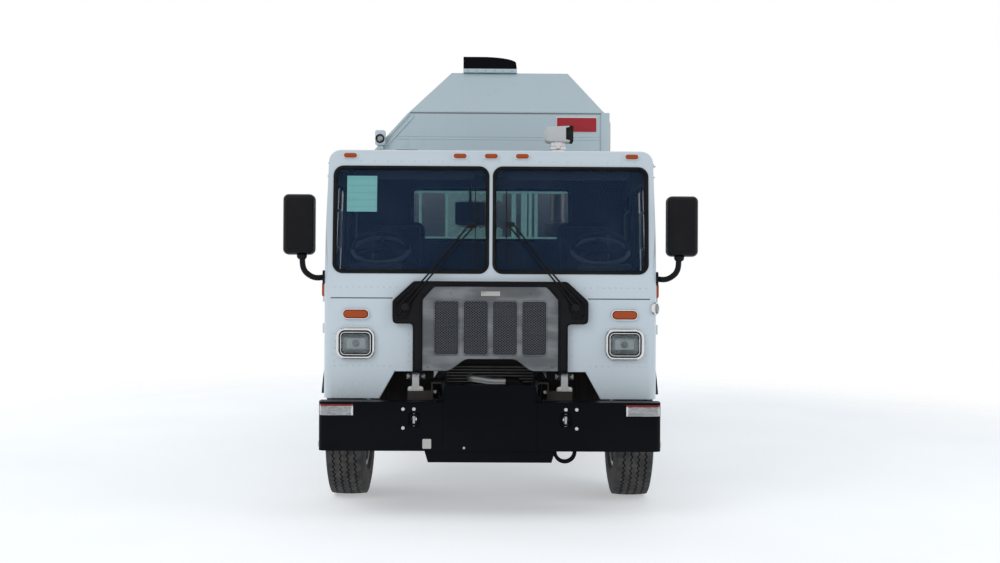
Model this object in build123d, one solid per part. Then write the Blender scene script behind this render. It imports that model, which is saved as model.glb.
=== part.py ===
from build123d import *
from math import cos, hypot, radians, sin
import os

# Side-loading garbage truck with a tilt cab, a hopper behind it and a lifting arm on the kerb side.
# Millimetres. +Z is up, the truck faces -Y and its kerb side is -X. The origin is on the ground at the
# middle of the truck. Stations count rearward from the front face of the bumper.

# Overall
LENGTH = 9700.0
FIT = 0.3
RUNNING_GAP = 8.0

# Wheels and axles
TYRE_RADIUS = 538.0
TYRE_WIDTH = 312.0
DUAL_TYRE_WIDTH = 290.0
DUAL_PITCH = 330.0
BEAD_RADIUS = 286.0
RIM_WALL = 12.0
RIM_FLANGE = 14.0
FRONT_TYRE_X = 1125.0
REAR_DUAL_X = 895.0
FRONT_AXLE_STATION = 1250.0
REAR_AXLE_STATIONS = (6340.0, 7660.0)
KINGPIN_X = 930.0
KINGPIN_RADIUS = 24.0
SPINDLE_RADIUS = 42.0
HUB_RADIUS = 112.0

# Frame rails
RAIL_TOP = 980.0
RAIL_HEIGHT = 280.0
RAIL_OUTER_X = 430.0
RAIL_FLANGE = 80.0
RAIL_WALL = 12.0
RAIL_FRONT = 240.0
RAIL_REAR = 9080.0
CROSSMEMBER_STATIONS = (2640.0, 3900.0, 5300.0, 6900.0, 8300.0, 9000.0)

# Bumper
BUMPER_HALF_WIDTH = 1220.0
BUMPER_BOTTOM = 510.0
BUMPER_TOP = 858.0
BUMPER_DEPTH = 160.0
BUMPER_WALL = 16.0
BUMPER_CORNER = 55.0
BOX_HALF_WIDTH = 320.0
BOX_TOP = 976.0
LIP_HALF_WIDTH = 465.0
LIP_BOTTOM = 428.0
TOW_PIN_X = 540.0
TOW_PIN_Z = 732.0
TOW_PIN_RADIUS = 21.0

# Cab
CAB_FRONT = 250.0
CAB_REAR = 1950.0
CAB_HALF_WIDTH = 1220.0
CAB_TOP_HALF_WIDTH = 1190.0
CAB_BOTTOM = 860.0
CAB_REAR_BOTTOM = 1190.0
CAB_WALL = 50.0
CREASE_Z = 1757.0
ROOF_Z = 2690.0
WINDSCREEN_LEAN = 60.0
ROOF_CORNER = 100.0
ROOF_FRONT_CORNER = 70.0
CAB_CORNER = 60.0
HINGE_STATION = 300.0
HINGE_Z = 1020.0
HINGE_X = 545.0
HINGE_PIN_RADIUS = 14.0
ARCH_RADIUS = 620.0
FLARE_BAND = 42.0
FLARE_X = 1290.0
FLOOR_Z = 1200.0
FLOOR_WALL = 40.0
TUNNEL_HALF_WIDTH = 500.0
TUNNEL_TOP = 1640.0
TUNNEL_WALL = 30.0

# Windows
SCREEN_BOTTOM = 1778.0
SCREEN_TOP = 2561.0
SCREEN_WIDTH = 1136.0
SCREEN_GAP = 34.0
SCREEN_CORNER = 70.0
GLASS_THICKNESS = 8.0
GLASS_INSET = 16.0
REAR_WINDOW_HALF_WIDTH = 700.0
REAR_WINDOW_BOTTOM = 2074.0
REAR_WINDOW_TOP = 2545.0
QUARTER_FRONT = 1470.0
QUARTER_REAR = 1830.0
SIDE_GLASS_BOTTOM = 1745.0
SIDE_GLASS_TOP = 2470.0

# Doors
DOOR_FRONT = 420.0
DOOR_REAR = 1390.0
DOOR_BOTTOM = 1225.0
DOOR_TOP = 2550.0
DOOR_CORNER = 70.0
DOOR_FRAME = 90.0
DOOR_HINGE_X = 1236.0

# Grille and lamps
SURROUND_TOP = 1718.0
SURROUND_BOTTOM = 1063.0
SURROUND_DEPTH = 46.0
GRILLE_HALF_WIDTH = 498.0
GRILLE_TOP = 1682.0
GRILLE_DEPTH = 22.0
MESH_BOTTOM = 1182.0
MESH_TOP = 1572.0
MESH_WIDTH = 176.0
MESH_PITCH = 213.6
HEADLAMP_X = 982.0
HEADLAMP_Z = 1261.0
HEADLAMP_SIZE = (289.0, 235.0)
TURN_LAMP_Z = 1476.0
TURN_LAMP_SIZE = (204.0, 84.0)
MARKER_XS = (-1035.0, -229.0, 0.0, 229.0, 1035.0)
MARKER_SIZE = (120.0, 46.0)
MARKER_Z = 2640.0
# The low opening in the cab's front, its half width above and below
NOSE_HALF_WIDTH = (695.0, 810.0)
# The notch in the grille plate's foot, its half width below and above, and its top
NOTCH_HALF_WIDTH = (297.0, 182.0)
NOTCH_TOP = 1150.0
GRILLE_SHOULDER = (412.0, 1585.0)
SURROUND_LEG = 565.0
SURROUND_EAR = 714.0
EAR_BOTTOM = 1407.0
EAR_SHOULDER_Z = 1575.0
EAR_TOP_X = 559.0
# The sunk wells that the wipers lie in, as plane points on the left side
WELL = (
    (598.0, 1440.0),
    (668.0, 1440.0),
    (690.0, 1480.0),
    (690.0, 1556.0),
    (560.0, 1672.0),
    (532.0, 1650.0),
)
WELL_DEPTH = 14.0
LAMP_RIM = 26.0
LAMP_SINK = 16.0

# Mirrors
MIRROR_INNER_X = 1288.0
MIRROR_OUTER_X = 1519.0
MIRROR_BOTTOM = 1906.0
MIRROR_TOP = 2351.0
MIRROR_DEPTH = 120.0
MIRROR_STATION = 190.0
MIRROR_ARM_RADIUS = 15.0

# Small cab fittings
HINGE_NECK = 50.0
HINGE_FOOT = 114.0
HINGE_EAR = 14.0
HINGE_EAR_RADIUS = 30.0
HINGE_SIDE_GAP = 5.0
DOOR_BARREL_RADIUS = 13.0
MESH_DEPTH = (4.0, 16.0)
MESH_STEP = 48.0
MESH_STRIP = 7.0
WIPER_PIVOT_Z = 1530.0
WIPER_BEND_Z = 1735.0
WIPER_ARM_DROP = 26.0
WIPER_ROD = 6.0
WIPER_BLADE = 9.0
WIPER_CAP = 24.0
# Pivot X, blade X, blade foot and blade tip
WIPERS = ((-620.0, -115.0, 1835.0, 2385.0), (620.0, 115.0, 1850.0, 2400.0))
SEAT_X = 800.0
SEAT_HALF_WIDTH = 250.0
SEAT_BASE_Z = 1560.0
STEERING_WHEEL_X = 850.0
STEERING_WHEEL_STATION = 790.0
STEERING_WHEEL_Z = 1960.0
STEERING_WHEEL_RADIUS = 215.0
RADIATOR_HALF_WIDTH = 335.0
SLAT_STATION = 476.0

# Chassis fittings
HINGE_BLOCK_STATIONS = (245.0, 355.0)
HINGE_BLOCK_BOTTOM = 820.0
HINGE_BLOCK_TOP = 915.0
BOX_DEPTH = 150.0
TOW_SOCKET_DEPTH = 130.0
TOW_HOOK_X = 536.0
TOW_HOOK_RADIUS = 84.0
TOW_HOOK_BAR = 26.0
TOW_HOOK_STATIONS = (40.0, 76.0)
STEP_XS = (880.0, 1200.0)
STEP_STATIONS = (190.0, 545.0)
STEP_BOTTOM = 380.0
STEP_TOP = 820.0
AXLE_BOSS_INNER_X = 925.0
AXLE_BOSS = (430.0, 640.0)
AXLE_BOSS_RADIUS = 52.0
SPRING_X = 390.0
SPRING_REACH = 740.0
SPRING_MIDDLE_Z = 510.0
SPRING_END_Z = 610.0
HUB_INNER = 150.0
BEAM_X = 495.0
SLAT_COUNT = 12
STACK_X = 590.0
STACK_STATION = 2150.0
STACK_RADIUS = 63.5
MUFFLER_RADIUS = 118.0
MUFFLER_Z = (1000.0, 2250.0)
STACK_HEAD_X = (469.0, 727.0)
STACK_HEAD_Z = (2966.0, 3115.0)
STACK_HEAD_HALF = 85.0
STACK_HEAD_WALL = 16.0
TANK_X = 800.0
TANK_Z = 690.0
TANK_RADIUS = 285.0
TANK_STATIONS = (3900.0, 5400.0)
# Front station, rear station and top
SIDE_BOXES = ((3950.0, 4550.0, 960.0), (4620.0, 5350.0, 1010.0))
BOX_OUTER_X = 1150.0
BOX_FOOT = 450.0
FENDER_XS = (575.0, 1215.0)
FENDER_Z = 1125.0
TOW_PLATE_X = 160.0
TOW_PLATE_RISE = 120.0
TOW_PLATE_Z = 830.0
TOW_BOLT_RADIUS = 11.0

# Hopper, body and tailgate
HOPPER_FRONT = 2350.0
BODY_FRONT = 3600.0
BODY_REAR = 9150.0
BODY_BOTTOM = 1220.0
BODY_HALF_WIDTH = 1196.0
BODY_TOP = 3920.0
SEAM_Z = 3450.0
LEAN_BACK = 400.0
BODY_SLOPE_Z = 3043.0
BODY_SEAM_XS = (-831.0, 1145.0)
BODY_ROOF_XS = (-417.0, 795.0)
BODY_WALL = 60.0
HOPPER_WALL = 40.0
HOPPER_KERB_X = -780.0
HOPPER_CHUTE_X = -980.0
HOPPER_STREET_X = 1150.0
HOPPER_SILL_Z = 2400.0
HOPPER_TOP_Z = 2600.0
PACKER_TOP = 2200.0
PACKER_THICKNESS = 140.0
PACKER_STROKE = 1100.0
PACKER_RIBS = 6
PACKER_RIB_HALF = 14.0
TAILGATE_HINGE_STATION = 9080.0
TAILGATE_HINGE_Z = 3985.0
TAILGATE_HINGE_XS = (-250.0, 630.0)
TAILGATE_PIN_RADIUS = 20.0
TAILGATE_BOTTOM = 1190.0
TAILGATE_GAP = 6.0
TAILGATE_LEAN = 130.0
TAILGATE_SHOULDER_Z = 3440.0
TAILGATE_BULGE_Z = (1900.0, 2600.0)
TAILGATE_FOOT = 266.0
TAILGATE_RIB_ZS = (1700.0, 2500.0, 3200.0)

# Tailgate cylinders
BARREL_PIN = (8100.0, 2750.0)
ROD_PIN = (9450.0, 2950.0)
CYLINDER_X = 1252.0
BARREL_RADIUS = 42.0
ROD_RADIUS = 26.0
BARREL_LENGTH = 1290.0
CYLINDER_EYE = 38.0

# Lifting arm
ARM_STATION = 2950.0
ARM_PIVOT_X = -1060.0
ARM_PIVOT_Z = 1750.0
ARM_BEAM_WIDTH = 100.0
ARM_BEAM_DEPTH = 80.0
ARM_HUB_RADIUS = 72.0
ARM_PIN_RADIUS = 32.0
SLIDE_STATIONS = (2790.0, 3110.0)
SLIDE_WIDTH = 140.0
SLIDE_HEIGHT = 170.0
SLIDE_WALL = 12.0
SLIDE_INNER_X = 1080.0
SLIDE_OUTER_X = -900.0
GRIPPER_Z = 640.0
GRIPPER_HALF_SPAN = 190.0
FINGER_LENGTH = 400.0
FINGER_HEIGHT = 70.0
FINGER_THICKNESS = 22.0
FINGER_RISE = 84.0
FINGER_PIN_RADIUS = 16.0
SLIDE_CLEARANCE = 0.8
HEAD_PLATE = 40.0
CHEEK = 36.0
ARM_SIDE_GAP = 5.0
EAR = 14.0
FINGER_EYE = 34.0
# Which way along the truck a finger lies, and whether it is the upper or the lower one
FINGERS = ((-1, 1), (1, -1))

# Wheel discs and steering yokes
TYRE_BEAD_HALF = 112.0
HAND_HOLE_COUNT = 10
HAND_HOLE_CIRCLE = 238.0
HAND_HOLE_RADIUS = 22.0
YOKE_EAR = 40.0
YOKE_GAP = 5.0
YOKE_WEB_X = (992.0, 1026.0)

# Rear axle housings and shafts
DIFF_RADIUS = 190.0
DIFF_WIDTH = 230.0
PINION_REACH = 262.0
PINION_RADIUS = 78.0
YOKE_LENGTH = 90.0
SHAFT_RADIUS = 48.0
SADDLE_HALF = (120.0, 250.0)
SADDLE_Z = 550.0

# Hopper mouth, body ribs and cowl
HOPPER_SLOPE_X = -700.0
HOPPER_FLARE_Z = (1950.0, 2250.0)
MOUTH_TOP = 2350.0
RIB_COUNT = 6
RIB_FIRST = 4100.0
RIB_PITCH = 720.0
RIB_DEPTH = 34.0
RIB_HALF = 40.0
RIB_TOP = 3000.0
HINGE_ARM = 60.0
BEARER_COUNT = 9
COWL_X = (-296.0, 264.0)
COWL_TOP = 4090.0

# Tailgate cylinder ends
ROD_EYE_HALF = 26.0
BARREL_BOSS_RADIUS = 44.0


def st(station):
    """The Y of a station."""
    return station - LENGTH / 2


def block(x, y, z):
    """A box from three (low, high) pairs, Y given as stations."""
    size = (x[1] - x[0], y[1] - y[0], z[1] - z[0])
    middle = ((x[0] + x[1]) / 2, st((y[0] + y[1]) / 2), (z[0] + z[1]) / 2)
    return Pos(*middle) * Box(*size)


def outline(points, radius=0.0):
    """A closed face through plane points, with one corner radius or a list of them."""
    if radius == 0.0:
        return make_face(Polyline(*points, close=True))
    return make_face(FilletPolyline(*points, radius=radius, close=True))


def across(face, y):
    """A face drawn in X and Z, extruded between two stations."""
    plane = Plane(origin=(0, st(y[1]), 0), x_dir=(1, 0, 0), z_dir=(0, -1, 0))
    return extrude(plane * face, y[1] - y[0])


def along(face, x):
    """A face drawn in station and Z, extruded between two X."""
    plane = Plane(origin=(x[0], -LENGTH / 2, 0), x_dir=(0, 1, 0), z_dir=(1, 0, 0))
    return extrude(plane * face, x[1] - x[0])


def upward(face, z):
    """A face drawn in X and station, extruded between two heights."""
    plane = Plane(origin=(0, -LENGTH / 2, z[0]), x_dir=(1, 0, 0), z_dir=(0, 0, 1))
    return extrude(plane * face, z[1] - z[0])


def panel(x, z, radius):
    """A rounded rectangle in X and Z."""
    middle = ((x[0] + x[1]) / 2, (z[0] + z[1]) / 2)
    return Pos(*middle) * RectangleRounded(x[1] - x[0], z[1] - z[0], radius)


def bar(start, end, radius):
    """A round bar between two points given as X, station, Z."""
    low = Vector(start[0], st(start[1]), start[2])
    high = Vector(end[0], st(end[1]), end[2])
    plane = Plane(origin=low, z_dir=high - low)
    return extrude(plane * Circle(radius), (high - low).length)


def bent_tube(points, radius, bend):
    """A round tube along straight runs joined by arcs, points as X, station, Z."""
    path = FilletPolyline(*[(x, st(y), z) for x, y, z in points], radius=bend)
    return sweep(Plane(origin=path @ 0, z_dir=path % 0) * Circle(radius), path)


def turned(profile, x, station, z, side):
    """A body of revolution about an X axis. The profile has (outward distance, radius) points."""
    face = outline([(side * a, r) for a, r in profile])
    solid = revolve(Plane.XZ * face, Axis.X)
    return Pos(x, st(station), z) * solid


def both_sides(piece):
    """The piece and its mirror image in X."""
    return [piece, mirror(piece, Plane.YZ)]


def write(name, *pieces):
    """One STEP file from the piece or pieces of a node."""
    solids = [solid for piece in pieces for solid in piece.solids()]
    shape = solids[0] if len(solids) == 1 else Compound(children=solids)
    export_step(shape, "parts/" + name + ".step")


def cab_envelope(inset):
    """The cab's closed form, drawn in by an inset on every side but its open bottom."""
    low, high = CAB_HALF_WIDTH - inset, CAB_TOP_HALF_WIDTH - inset
    top, bottom = ROOF_Z - inset, CAB_BOTTOM - inset
    front, rear = CAB_FRONT + inset, CAB_REAR - inset
    crown = max(ROOF_CORNER - inset, 1.0)
    face = outline(
        [(-low, bottom), (-low, CREASE_Z), (-high, top), (high, top), (low, CREASE_Z), (low, bottom)],
        [0, 0, crown, crown, 0, 0],
    )
    lean = front + WINDSCREEN_LEAN * (top - CREASE_Z) / (ROOF_Z - CREASE_Z)
    brow = max(ROOF_FRONT_CORNER - inset, 1.0)
    side = outline(
        [(front, bottom), (front, CREASE_Z), (lean, top), (rear, top), (rear, bottom)],
        [0, 0, brow, 30, 0],
    )
    corner = max(CAB_CORNER - inset, 1.0)
    plan = outline(
        [(-low, front), (low, front), (low, rear), (-low, rear)],
        [corner, corner, 20, 20],
    )
    return across(face, (front, rear)) & along(side, (-low, low)) & upward(plan, (bottom, top))


def screen_slab(depth, thickness):
    """A sheet that follows the leaning front face at a depth behind it."""
    reach = ROOF_Z - CREASE_Z
    start = CAB_FRONT + depth
    points = [
        (start, CREASE_Z),
        (start + WINDSCREEN_LEAN, CREASE_Z + reach),
        (start + WINDSCREEN_LEAN + thickness, CREASE_Z + reach),
        (start + thickness, CREASE_Z),
    ]
    return along(outline(points), (-CAB_HALF_WIDTH, CAB_HALF_WIDTH))


def side_slab(side, depth, thickness):
    """A sheet that follows the cab's leaning side at a depth inside it."""
    low = side * (CAB_HALF_WIDTH - depth)
    high = side * (CAB_TOP_HALF_WIDTH - depth)
    step = side * thickness
    points = [(low, CREASE_Z), (high, ROOF_Z), (high - step, ROOF_Z), (low - step, CREASE_Z)]
    low_points = [(low, DOOR_BOTTOM), (low, CREASE_Z), (low - step, CREASE_Z), (low - step, DOOR_BOTTOM)]
    upper, lower = outline(points), outline(low_points)
    return across(upper, (CAB_FRONT, CAB_REAR)) + across(lower, (CAB_FRONT, CAB_REAR))


def side_panel(front, rear, bottom, top, radius):
    """A rounded rectangle in station and Z."""
    middle = ((front + rear) / 2, (bottom + top) / 2)
    return Pos(*middle) * RectangleRounded(rear - front, top - bottom, radius)


def screen_openings(shrink):
    """The two windscreen outlines in X and Z."""
    inner, outer = SCREEN_GAP / 2, SCREEN_GAP / 2 + SCREEN_WIDTH
    z = (SCREEN_BOTTOM + shrink, SCREEN_TOP - shrink)
    radius = SCREEN_CORNER - shrink
    return [
        panel((-outer + shrink, -inner - shrink), z, radius),
        panel((inner + shrink, outer - shrink), z, radius),
    ]


def rear_window(shrink):
    """The rear window outline in X and Z."""
    half = REAR_WINDOW_HALF_WIDTH - shrink
    z = (REAR_WINDOW_BOTTOM + shrink, REAR_WINDOW_TOP - shrink)
    return panel((-half, half), z, SCREEN_CORNER - shrink)


def door_outline(gap):
    """The door in station and Z, smaller than its opening by the gap."""
    return side_panel(DOOR_FRONT + gap, DOOR_REAR - gap, DOOR_BOTTOM + gap, DOOR_TOP - gap, DOOR_CORNER)


def door_window(shrink):
    """The door's window in station and Z."""
    front, rear = DOOR_FRONT + DOOR_FRAME, DOOR_REAR - DOOR_FRAME
    radius = SCREEN_CORNER - shrink
    low, high = SIDE_GLASS_BOTTOM + shrink, SIDE_GLASS_TOP - shrink
    return side_panel(front + shrink, rear - shrink, low, high, radius)


def quarter_window(shrink):
    """The fixed window behind the door in station and Z."""
    z = (SIDE_GLASS_BOTTOM + shrink, SIDE_GLASS_TOP - shrink)
    return side_panel(QUARTER_FRONT + shrink, QUARTER_REAR - shrink, *z, SCREEN_CORNER - shrink)


def wheel_arch(radius, x):
    """A round about the front axle, across a range of X."""
    centre = Pos(FRONT_AXLE_STATION, TYRE_RADIUS)
    return along(centre * Circle(radius), x)


WALLS = cab_envelope(0.0) - cab_envelope(CAB_WALL) - block(
    (-CAB_HALF_WIDTH + CAB_WALL, CAB_HALF_WIDTH - CAB_WALL),
    (CAB_FRONT + CAB_WALL, CAB_REAR - CAB_WALL),
    (CAB_BOTTOM - CAB_WALL, CREASE_Z),
)
SIDE_REACH = {1: (1000.0, 1300.0), -1: (-1300.0, -1000.0)}


def cab_shell():
    """Front, roof, sides and back of the cab with every window, the door openings and the arches."""
    shell = WALLS
    for window in screen_openings(0.0):
        shell -= across(window, (CAB_FRONT - 10, CAB_FRONT + WINDSCREEN_LEAN + CAB_WALL + 60))
    shell -= across(rear_window(0.0), (CAB_REAR - CAB_WALL - 10, CAB_REAR + 10))
    for side, reach in SIDE_REACH.items():
        shell -= along(door_outline(0.0), reach)
        shell -= along(quarter_window(0.0), reach)
    # The low front is open between the hinge brackets, and behind the grille.
    above, below = NOSE_HALF_WIDTH
    foot = CAB_BOTTOM - 5
    low = outline([(-above, SURROUND_BOTTOM), (above, SURROUND_BOTTOM), (below, foot), (-below, foot)])
    shell -= across(low, (CAB_FRONT - 5, CAB_FRONT + CAB_WALL + 5))
    shell -= block((-450, 450), (CAB_FRONT - 5, CAB_FRONT + CAB_WALL + 5), (SURROUND_BOTTOM - 5, 1600))
    # The back is open over the gearbox, and ends above the frame.
    rear = (CAB_REAR - CAB_WALL - 5, CAB_REAR + 5)
    shell -= block((-TUNNEL_HALF_WIDTH, TUNNEL_HALF_WIDTH), rear, (CAB_BOTTOM - 5, TUNNEL_TOP))
    inner = CAB_HALF_WIDTH - CAB_WALL
    shell -= block((-inner, inner), rear, (CAB_BOTTOM - 5, CAB_REAR_BOTTOM))
    for side, reach in SIDE_REACH.items():
        shell -= wheel_arch(ARCH_RADIUS, reach)
    # Flares stand out round the arches.
    for side in (1, -1):
        x = sorted((side * (CAB_HALF_WIDTH - CAB_WALL), side * FLARE_X))
        flare = wheel_arch(ARCH_RADIUS + FLARE_BAND, x) - wheel_arch(ARCH_RADIUS, x)
        flare -= block((-1400, 1400), (0, LENGTH), (-500, CAB_BOTTOM))
        shell += flare
    return shell


def cab_floor():
    """The floor, the open tunnel over the engine, the seat boxes and the hinge ears at the front."""
    inner = CAB_HALF_WIDTH - CAB_WALL
    front, rear = CAB_FRONT + CAB_WALL, CAB_REAR - CAB_WALL
    half = TUNNEL_HALF_WIDTH
    floor = block((-inner, inner), (front, rear), (FLOOR_Z, FLOOR_Z + FLOOR_WALL))
    floor -= block((-half, half), (front - 5, rear + 5), (FLOOR_Z - 5, FLOOR_Z + FLOOR_WALL + 5))
    tunnel = block((-half, half), (front, rear), (FLOOR_Z, TUNNEL_TOP))
    inner = half - TUNNEL_WALL
    tunnel -= block((-inner, inner), (front - 5, rear + 5), (FLOOR_Z - 5, TUNNEL_TOP - TUNNEL_WALL))
    shape = floor + tunnel
    for side in (1, -1):
        x = sorted((side * (SEAT_X - 200), side * (SEAT_X + 200)))
        shape += block(x, (1180, 1560), (FLOOR_Z + FLOOR_WALL, SEAT_BASE_Z))
    # A cross beam behind the front panel carries the hinge ears.
    beam = block((-650, 650), (front, front + 90), (1110, FLOOR_Z + FLOOR_WALL))
    core = RADIATOR_HALF_WIDTH + 15
    beam -= block((-core, core), (front - 5, front + 95), (1100, FLOOR_Z + 50))
    shape += beam
    for side in (1, -1):
        for offset in (-1, 1):
            middle = side * HINGE_X + offset * (HINGE_NECK / 2 + HINGE_SIDE_GAP + HINGE_EAR / 2)
            x = (middle - HINGE_EAR / 2, middle + HINGE_EAR / 2)
            ear = along(Pos(HINGE_STATION, HINGE_Z) * Circle(HINGE_EAR_RADIUS), x)
            ear += block(x, (HINGE_STATION, HINGE_STATION + HINGE_EAR_RADIUS), (HINGE_Z, 1120))
            shape += ear
        reach = HINGE_NECK / 2 + HINGE_SIDE_GAP + HINGE_EAR / 2
        pin = (side * HINGE_X - reach, side * HINGE_X + reach)
        shape += along(Pos(HINGE_STATION, HINGE_Z) * Circle(HINGE_PIN_RADIUS), pin)
    return shape


def cab_glass():
    """Windscreens, rear window and quarter windows, set back in their openings."""
    panes = []
    slab = screen_slab(GLASS_INSET, GLASS_THICKNESS)
    for window in screen_openings(FIT):
        panes.append(across(window, (CAB_FRONT, CAB_FRONT + 200)) & slab)
    start = CAB_REAR - CAB_WALL + GLASS_INSET
    panes.append(across(rear_window(FIT), (start, start + GLASS_THICKNESS)))
    for side, reach in SIDE_REACH.items():
        panes.append(along(quarter_window(FIT), reach) & side_slab(side, GLASS_INSET, GLASS_THICKNESS))
    return panes


def door(side):
    """A door as thick as the cab's wall, with its window opening and hinge barrels on its front edge."""
    reach = SIDE_REACH[side]
    shape = WALLS & along(door_outline(RUNNING_GAP), reach)
    shape -= along(door_window(0.0), reach)
    for z in (DOOR_BOTTOM + 140, CREASE_Z - 160):
        centre = Pos(side * DOOR_HINGE_X, st(DOOR_FRONT), z)
        shape += centre * Cylinder(DOOR_BARREL_RADIUS, 70)
        leaf = (DOOR_FRONT, DOOR_FRONT + 90)
        x = sorted((side * (CAB_HALF_WIDTH - 2), side * (DOOR_HINGE_X + 4)))
        shape += block(x, leaf, (z - 30, z + 30))
    handle_x = sorted((side * (CAB_HALF_WIDTH - 2), side * (CAB_HALF_WIDTH + 26)))
    shape += block(handle_x, (DOOR_REAR - 220, DOOR_REAR - 60), (CREASE_Z - 190, CREASE_Z - 150))
    return shape


def door_glass(side):
    """The pane in a door's window."""
    return along(door_window(FIT), SIDE_REACH[side]) & side_slab(side, GLASS_INSET, GLASS_THICKNESS)


def surround():
    """The black grille surround: two legs, a top bar and sloping ears with a sunk well for each wiper."""
    leg, ear = SURROUND_LEG, SURROUND_EAR
    inner = GRILLE_HALF_WIDTH + FIT
    shoulder_x, shoulder_z = GRILLE_SHOULDER
    # X, Z and corner radius on the left side
    left = [
        (shoulder_x, GRILLE_TOP + FIT, 0),
        (inner, shoulder_z, 0),
        (inner, SURROUND_BOTTOM, 0),
        (leg, SURROUND_BOTTOM, 0),
        (leg, EAR_BOTTOM, 20),
        (ear - 14, EAR_BOTTOM, 30),
        (ear, EAR_BOTTOM + 53, 30),
        (ear, EAR_SHOULDER_Z, 40),
        (EAR_TOP_X, SURROUND_TOP, 40),
    ]
    right = [(-x, z, r) for x, z, r in reversed(left)]
    points = left + right
    face = outline([(x, z) for x, z, r in points], [r for x, z, r in points])
    front = CAB_FRONT - SURROUND_DEPTH
    shape = across(face, (front, CAB_FRONT))
    for side in (1, -1):
        well = outline([(side * x, z) for x, z in WELL], 12)
        shape -= across(well, (front - 5, front + WELL_DEPTH))
    return shape


def grille():
    """The bright plate with its notched foot and four windows of diamond mesh."""
    half = GRILLE_HALF_WIDTH
    below, above = NOTCH_HALF_WIDTH
    notch = [(half, SURROUND_BOTTOM), (below, SURROUND_BOTTOM), (above, NOTCH_TOP)]
    notch += [(-above, NOTCH_TOP), (-below, SURROUND_BOTTOM)]
    top = [(-half, SURROUND_BOTTOM), (-half, 1585), (-412, GRILLE_TOP), (412, GRILLE_TOP), (half, 1585)]
    y = (CAB_FRONT - GRILLE_DEPTH, CAB_FRONT)
    plate = across(outline(notch + top), y)
    for number in range(4):
        middle = (number - 1.5) * MESH_PITCH
        window = panel((middle - MESH_WIDTH / 2, middle + MESH_WIDTH / 2), (MESH_BOTTOM, MESH_TOP), 26)
        plate -= across(window, (y[0] - 5, y[1] + 5))
        plate += mesh(middle)
    return plate


def mesh(middle):
    """Crossed flat strips that fill one window of the grille."""
    reach = MESH_WIDTH / 2 + 2
    window = panel((middle - reach, middle + reach), (MESH_BOTTOM - 2, MESH_TOP + 2), 26)
    frame = across(window, (CAB_FRONT - MESH_DEPTH[1], CAB_FRONT - MESH_DEPTH[0]))
    height = MESH_TOP - MESH_BOTTOM
    strips = None
    for lean in (1, -1):
        count = int((height + MESH_WIDTH) / MESH_STEP)
        for step in range(count + 1):
            z = MESH_BOTTOM - MESH_WIDTH / 2 + step * MESH_STEP
            place = Pos(middle, st(CAB_FRONT - sum(MESH_DEPTH) / 2), z) * Rot(0, lean * 45, 0)
            strip = place * Box(420, 12, MESH_STRIP)
            strips = strip if strips is None else strips + strip
    return strips & frame


def headlamps():
    """Headlamp and turn lamp housings on the front corners, and the side and roof marker bases."""
    pieces = []
    for side in (1, -1):
        for z, size, radius, depth in (
            (HEADLAMP_Z, HEADLAMP_SIZE, 45, 46),
            (TURN_LAMP_Z, TURN_LAMP_SIZE, 41, 36),
        ):
            x = side * HEADLAMP_X
            wide, tall = size[0] / 2, size[1] / 2
            face = panel((x - wide, x + wide), (z - tall, z + tall), radius)
            lamp = across(face, (CAB_FRONT - depth, CAB_FRONT))
            if radius > LAMP_RIM and tall > 2 * LAMP_RIM:
                sunk = CAB_FRONT - depth + LAMP_SINK
                rim_x, rim_z = wide - LAMP_RIM, tall - LAMP_RIM
                well = panel((x - rim_x, x + rim_x), (z - rim_z, z + rim_z), 19)
                lamp -= across(well, (CAB_FRONT - depth - 5, sunk))
                lens = panel((x - wide + 44, x + wide - 44), (z - tall + 48, z + tall - 48), 24)
                lamp += across(lens, (CAB_FRONT - depth + 4, sunk))
            pieces.append(lamp)
    return pieces


def roof_markers():
    """Five amber lamps along the brow, and one on each side of the front."""
    pieces = []
    face_at = CAB_FRONT + WINDSCREEN_LEAN * (MARKER_Z - CREASE_Z) / (ROOF_Z - CREASE_Z)
    body = cab_envelope(0.0)
    for x in MARKER_XS:
        outer = panel(
            (x - MARKER_SIZE[0] / 2, x + MARKER_SIZE[0] / 2),
            (MARKER_Z - MARKER_SIZE[1] / 2, MARKER_Z + MARKER_SIZE[1] / 2),
            20,
        )
        pieces.append(across(outer, (face_at - 28, face_at + 40)) - body)
    for side in (1, -1):
        x = sorted((side * (CAB_HALF_WIDTH - 30), side * (CAB_HALF_WIDTH + 24)))
        lamp = side_panel(CAB_FRONT + 70, CAB_FRONT + 120, 1600, 1708, 20)
        pieces.append(along(lamp, x) - body)
    return pieces


def mirrors():
    """A mirror head on each side with its bent arm."""
    pieces = []
    middle = (MIRROR_INNER_X + MIRROR_OUTER_X) / 2
    y = (MIRROR_STATION, MIRROR_STATION + MIRROR_DEPTH)
    face = panel((MIRROR_INNER_X, MIRROR_OUTER_X), (MIRROR_BOTTOM, MIRROR_TOP), 45)
    head = across(face, y)
    head = fillet(head.edges().filter_by(GeomType.LINE).filter_by(Axis.Z).sort_by(Axis.Y)[0:2], 20)
    arm_y = MIRROR_STATION + 85
    arm = bent_tube(
        [
            (middle, arm_y, MIRROR_BOTTOM + 60),
            (middle, arm_y, 1800),
            (1300, arm_y + 30, 1765),
            (CAB_HALF_WIDTH - 2, arm_y + 75, 1765),
        ],
        MIRROR_ARM_RADIUS,
        [60, 40],
    )
    foot = block((CAB_HALF_WIDTH, CAB_HALF_WIDTH + 14), (CAB_FRONT + 60, CAB_FRONT + 140), (1715, 1815))
    one = head + arm + foot
    one -= cab_envelope(0.0)
    return both_sides(one)


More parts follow.
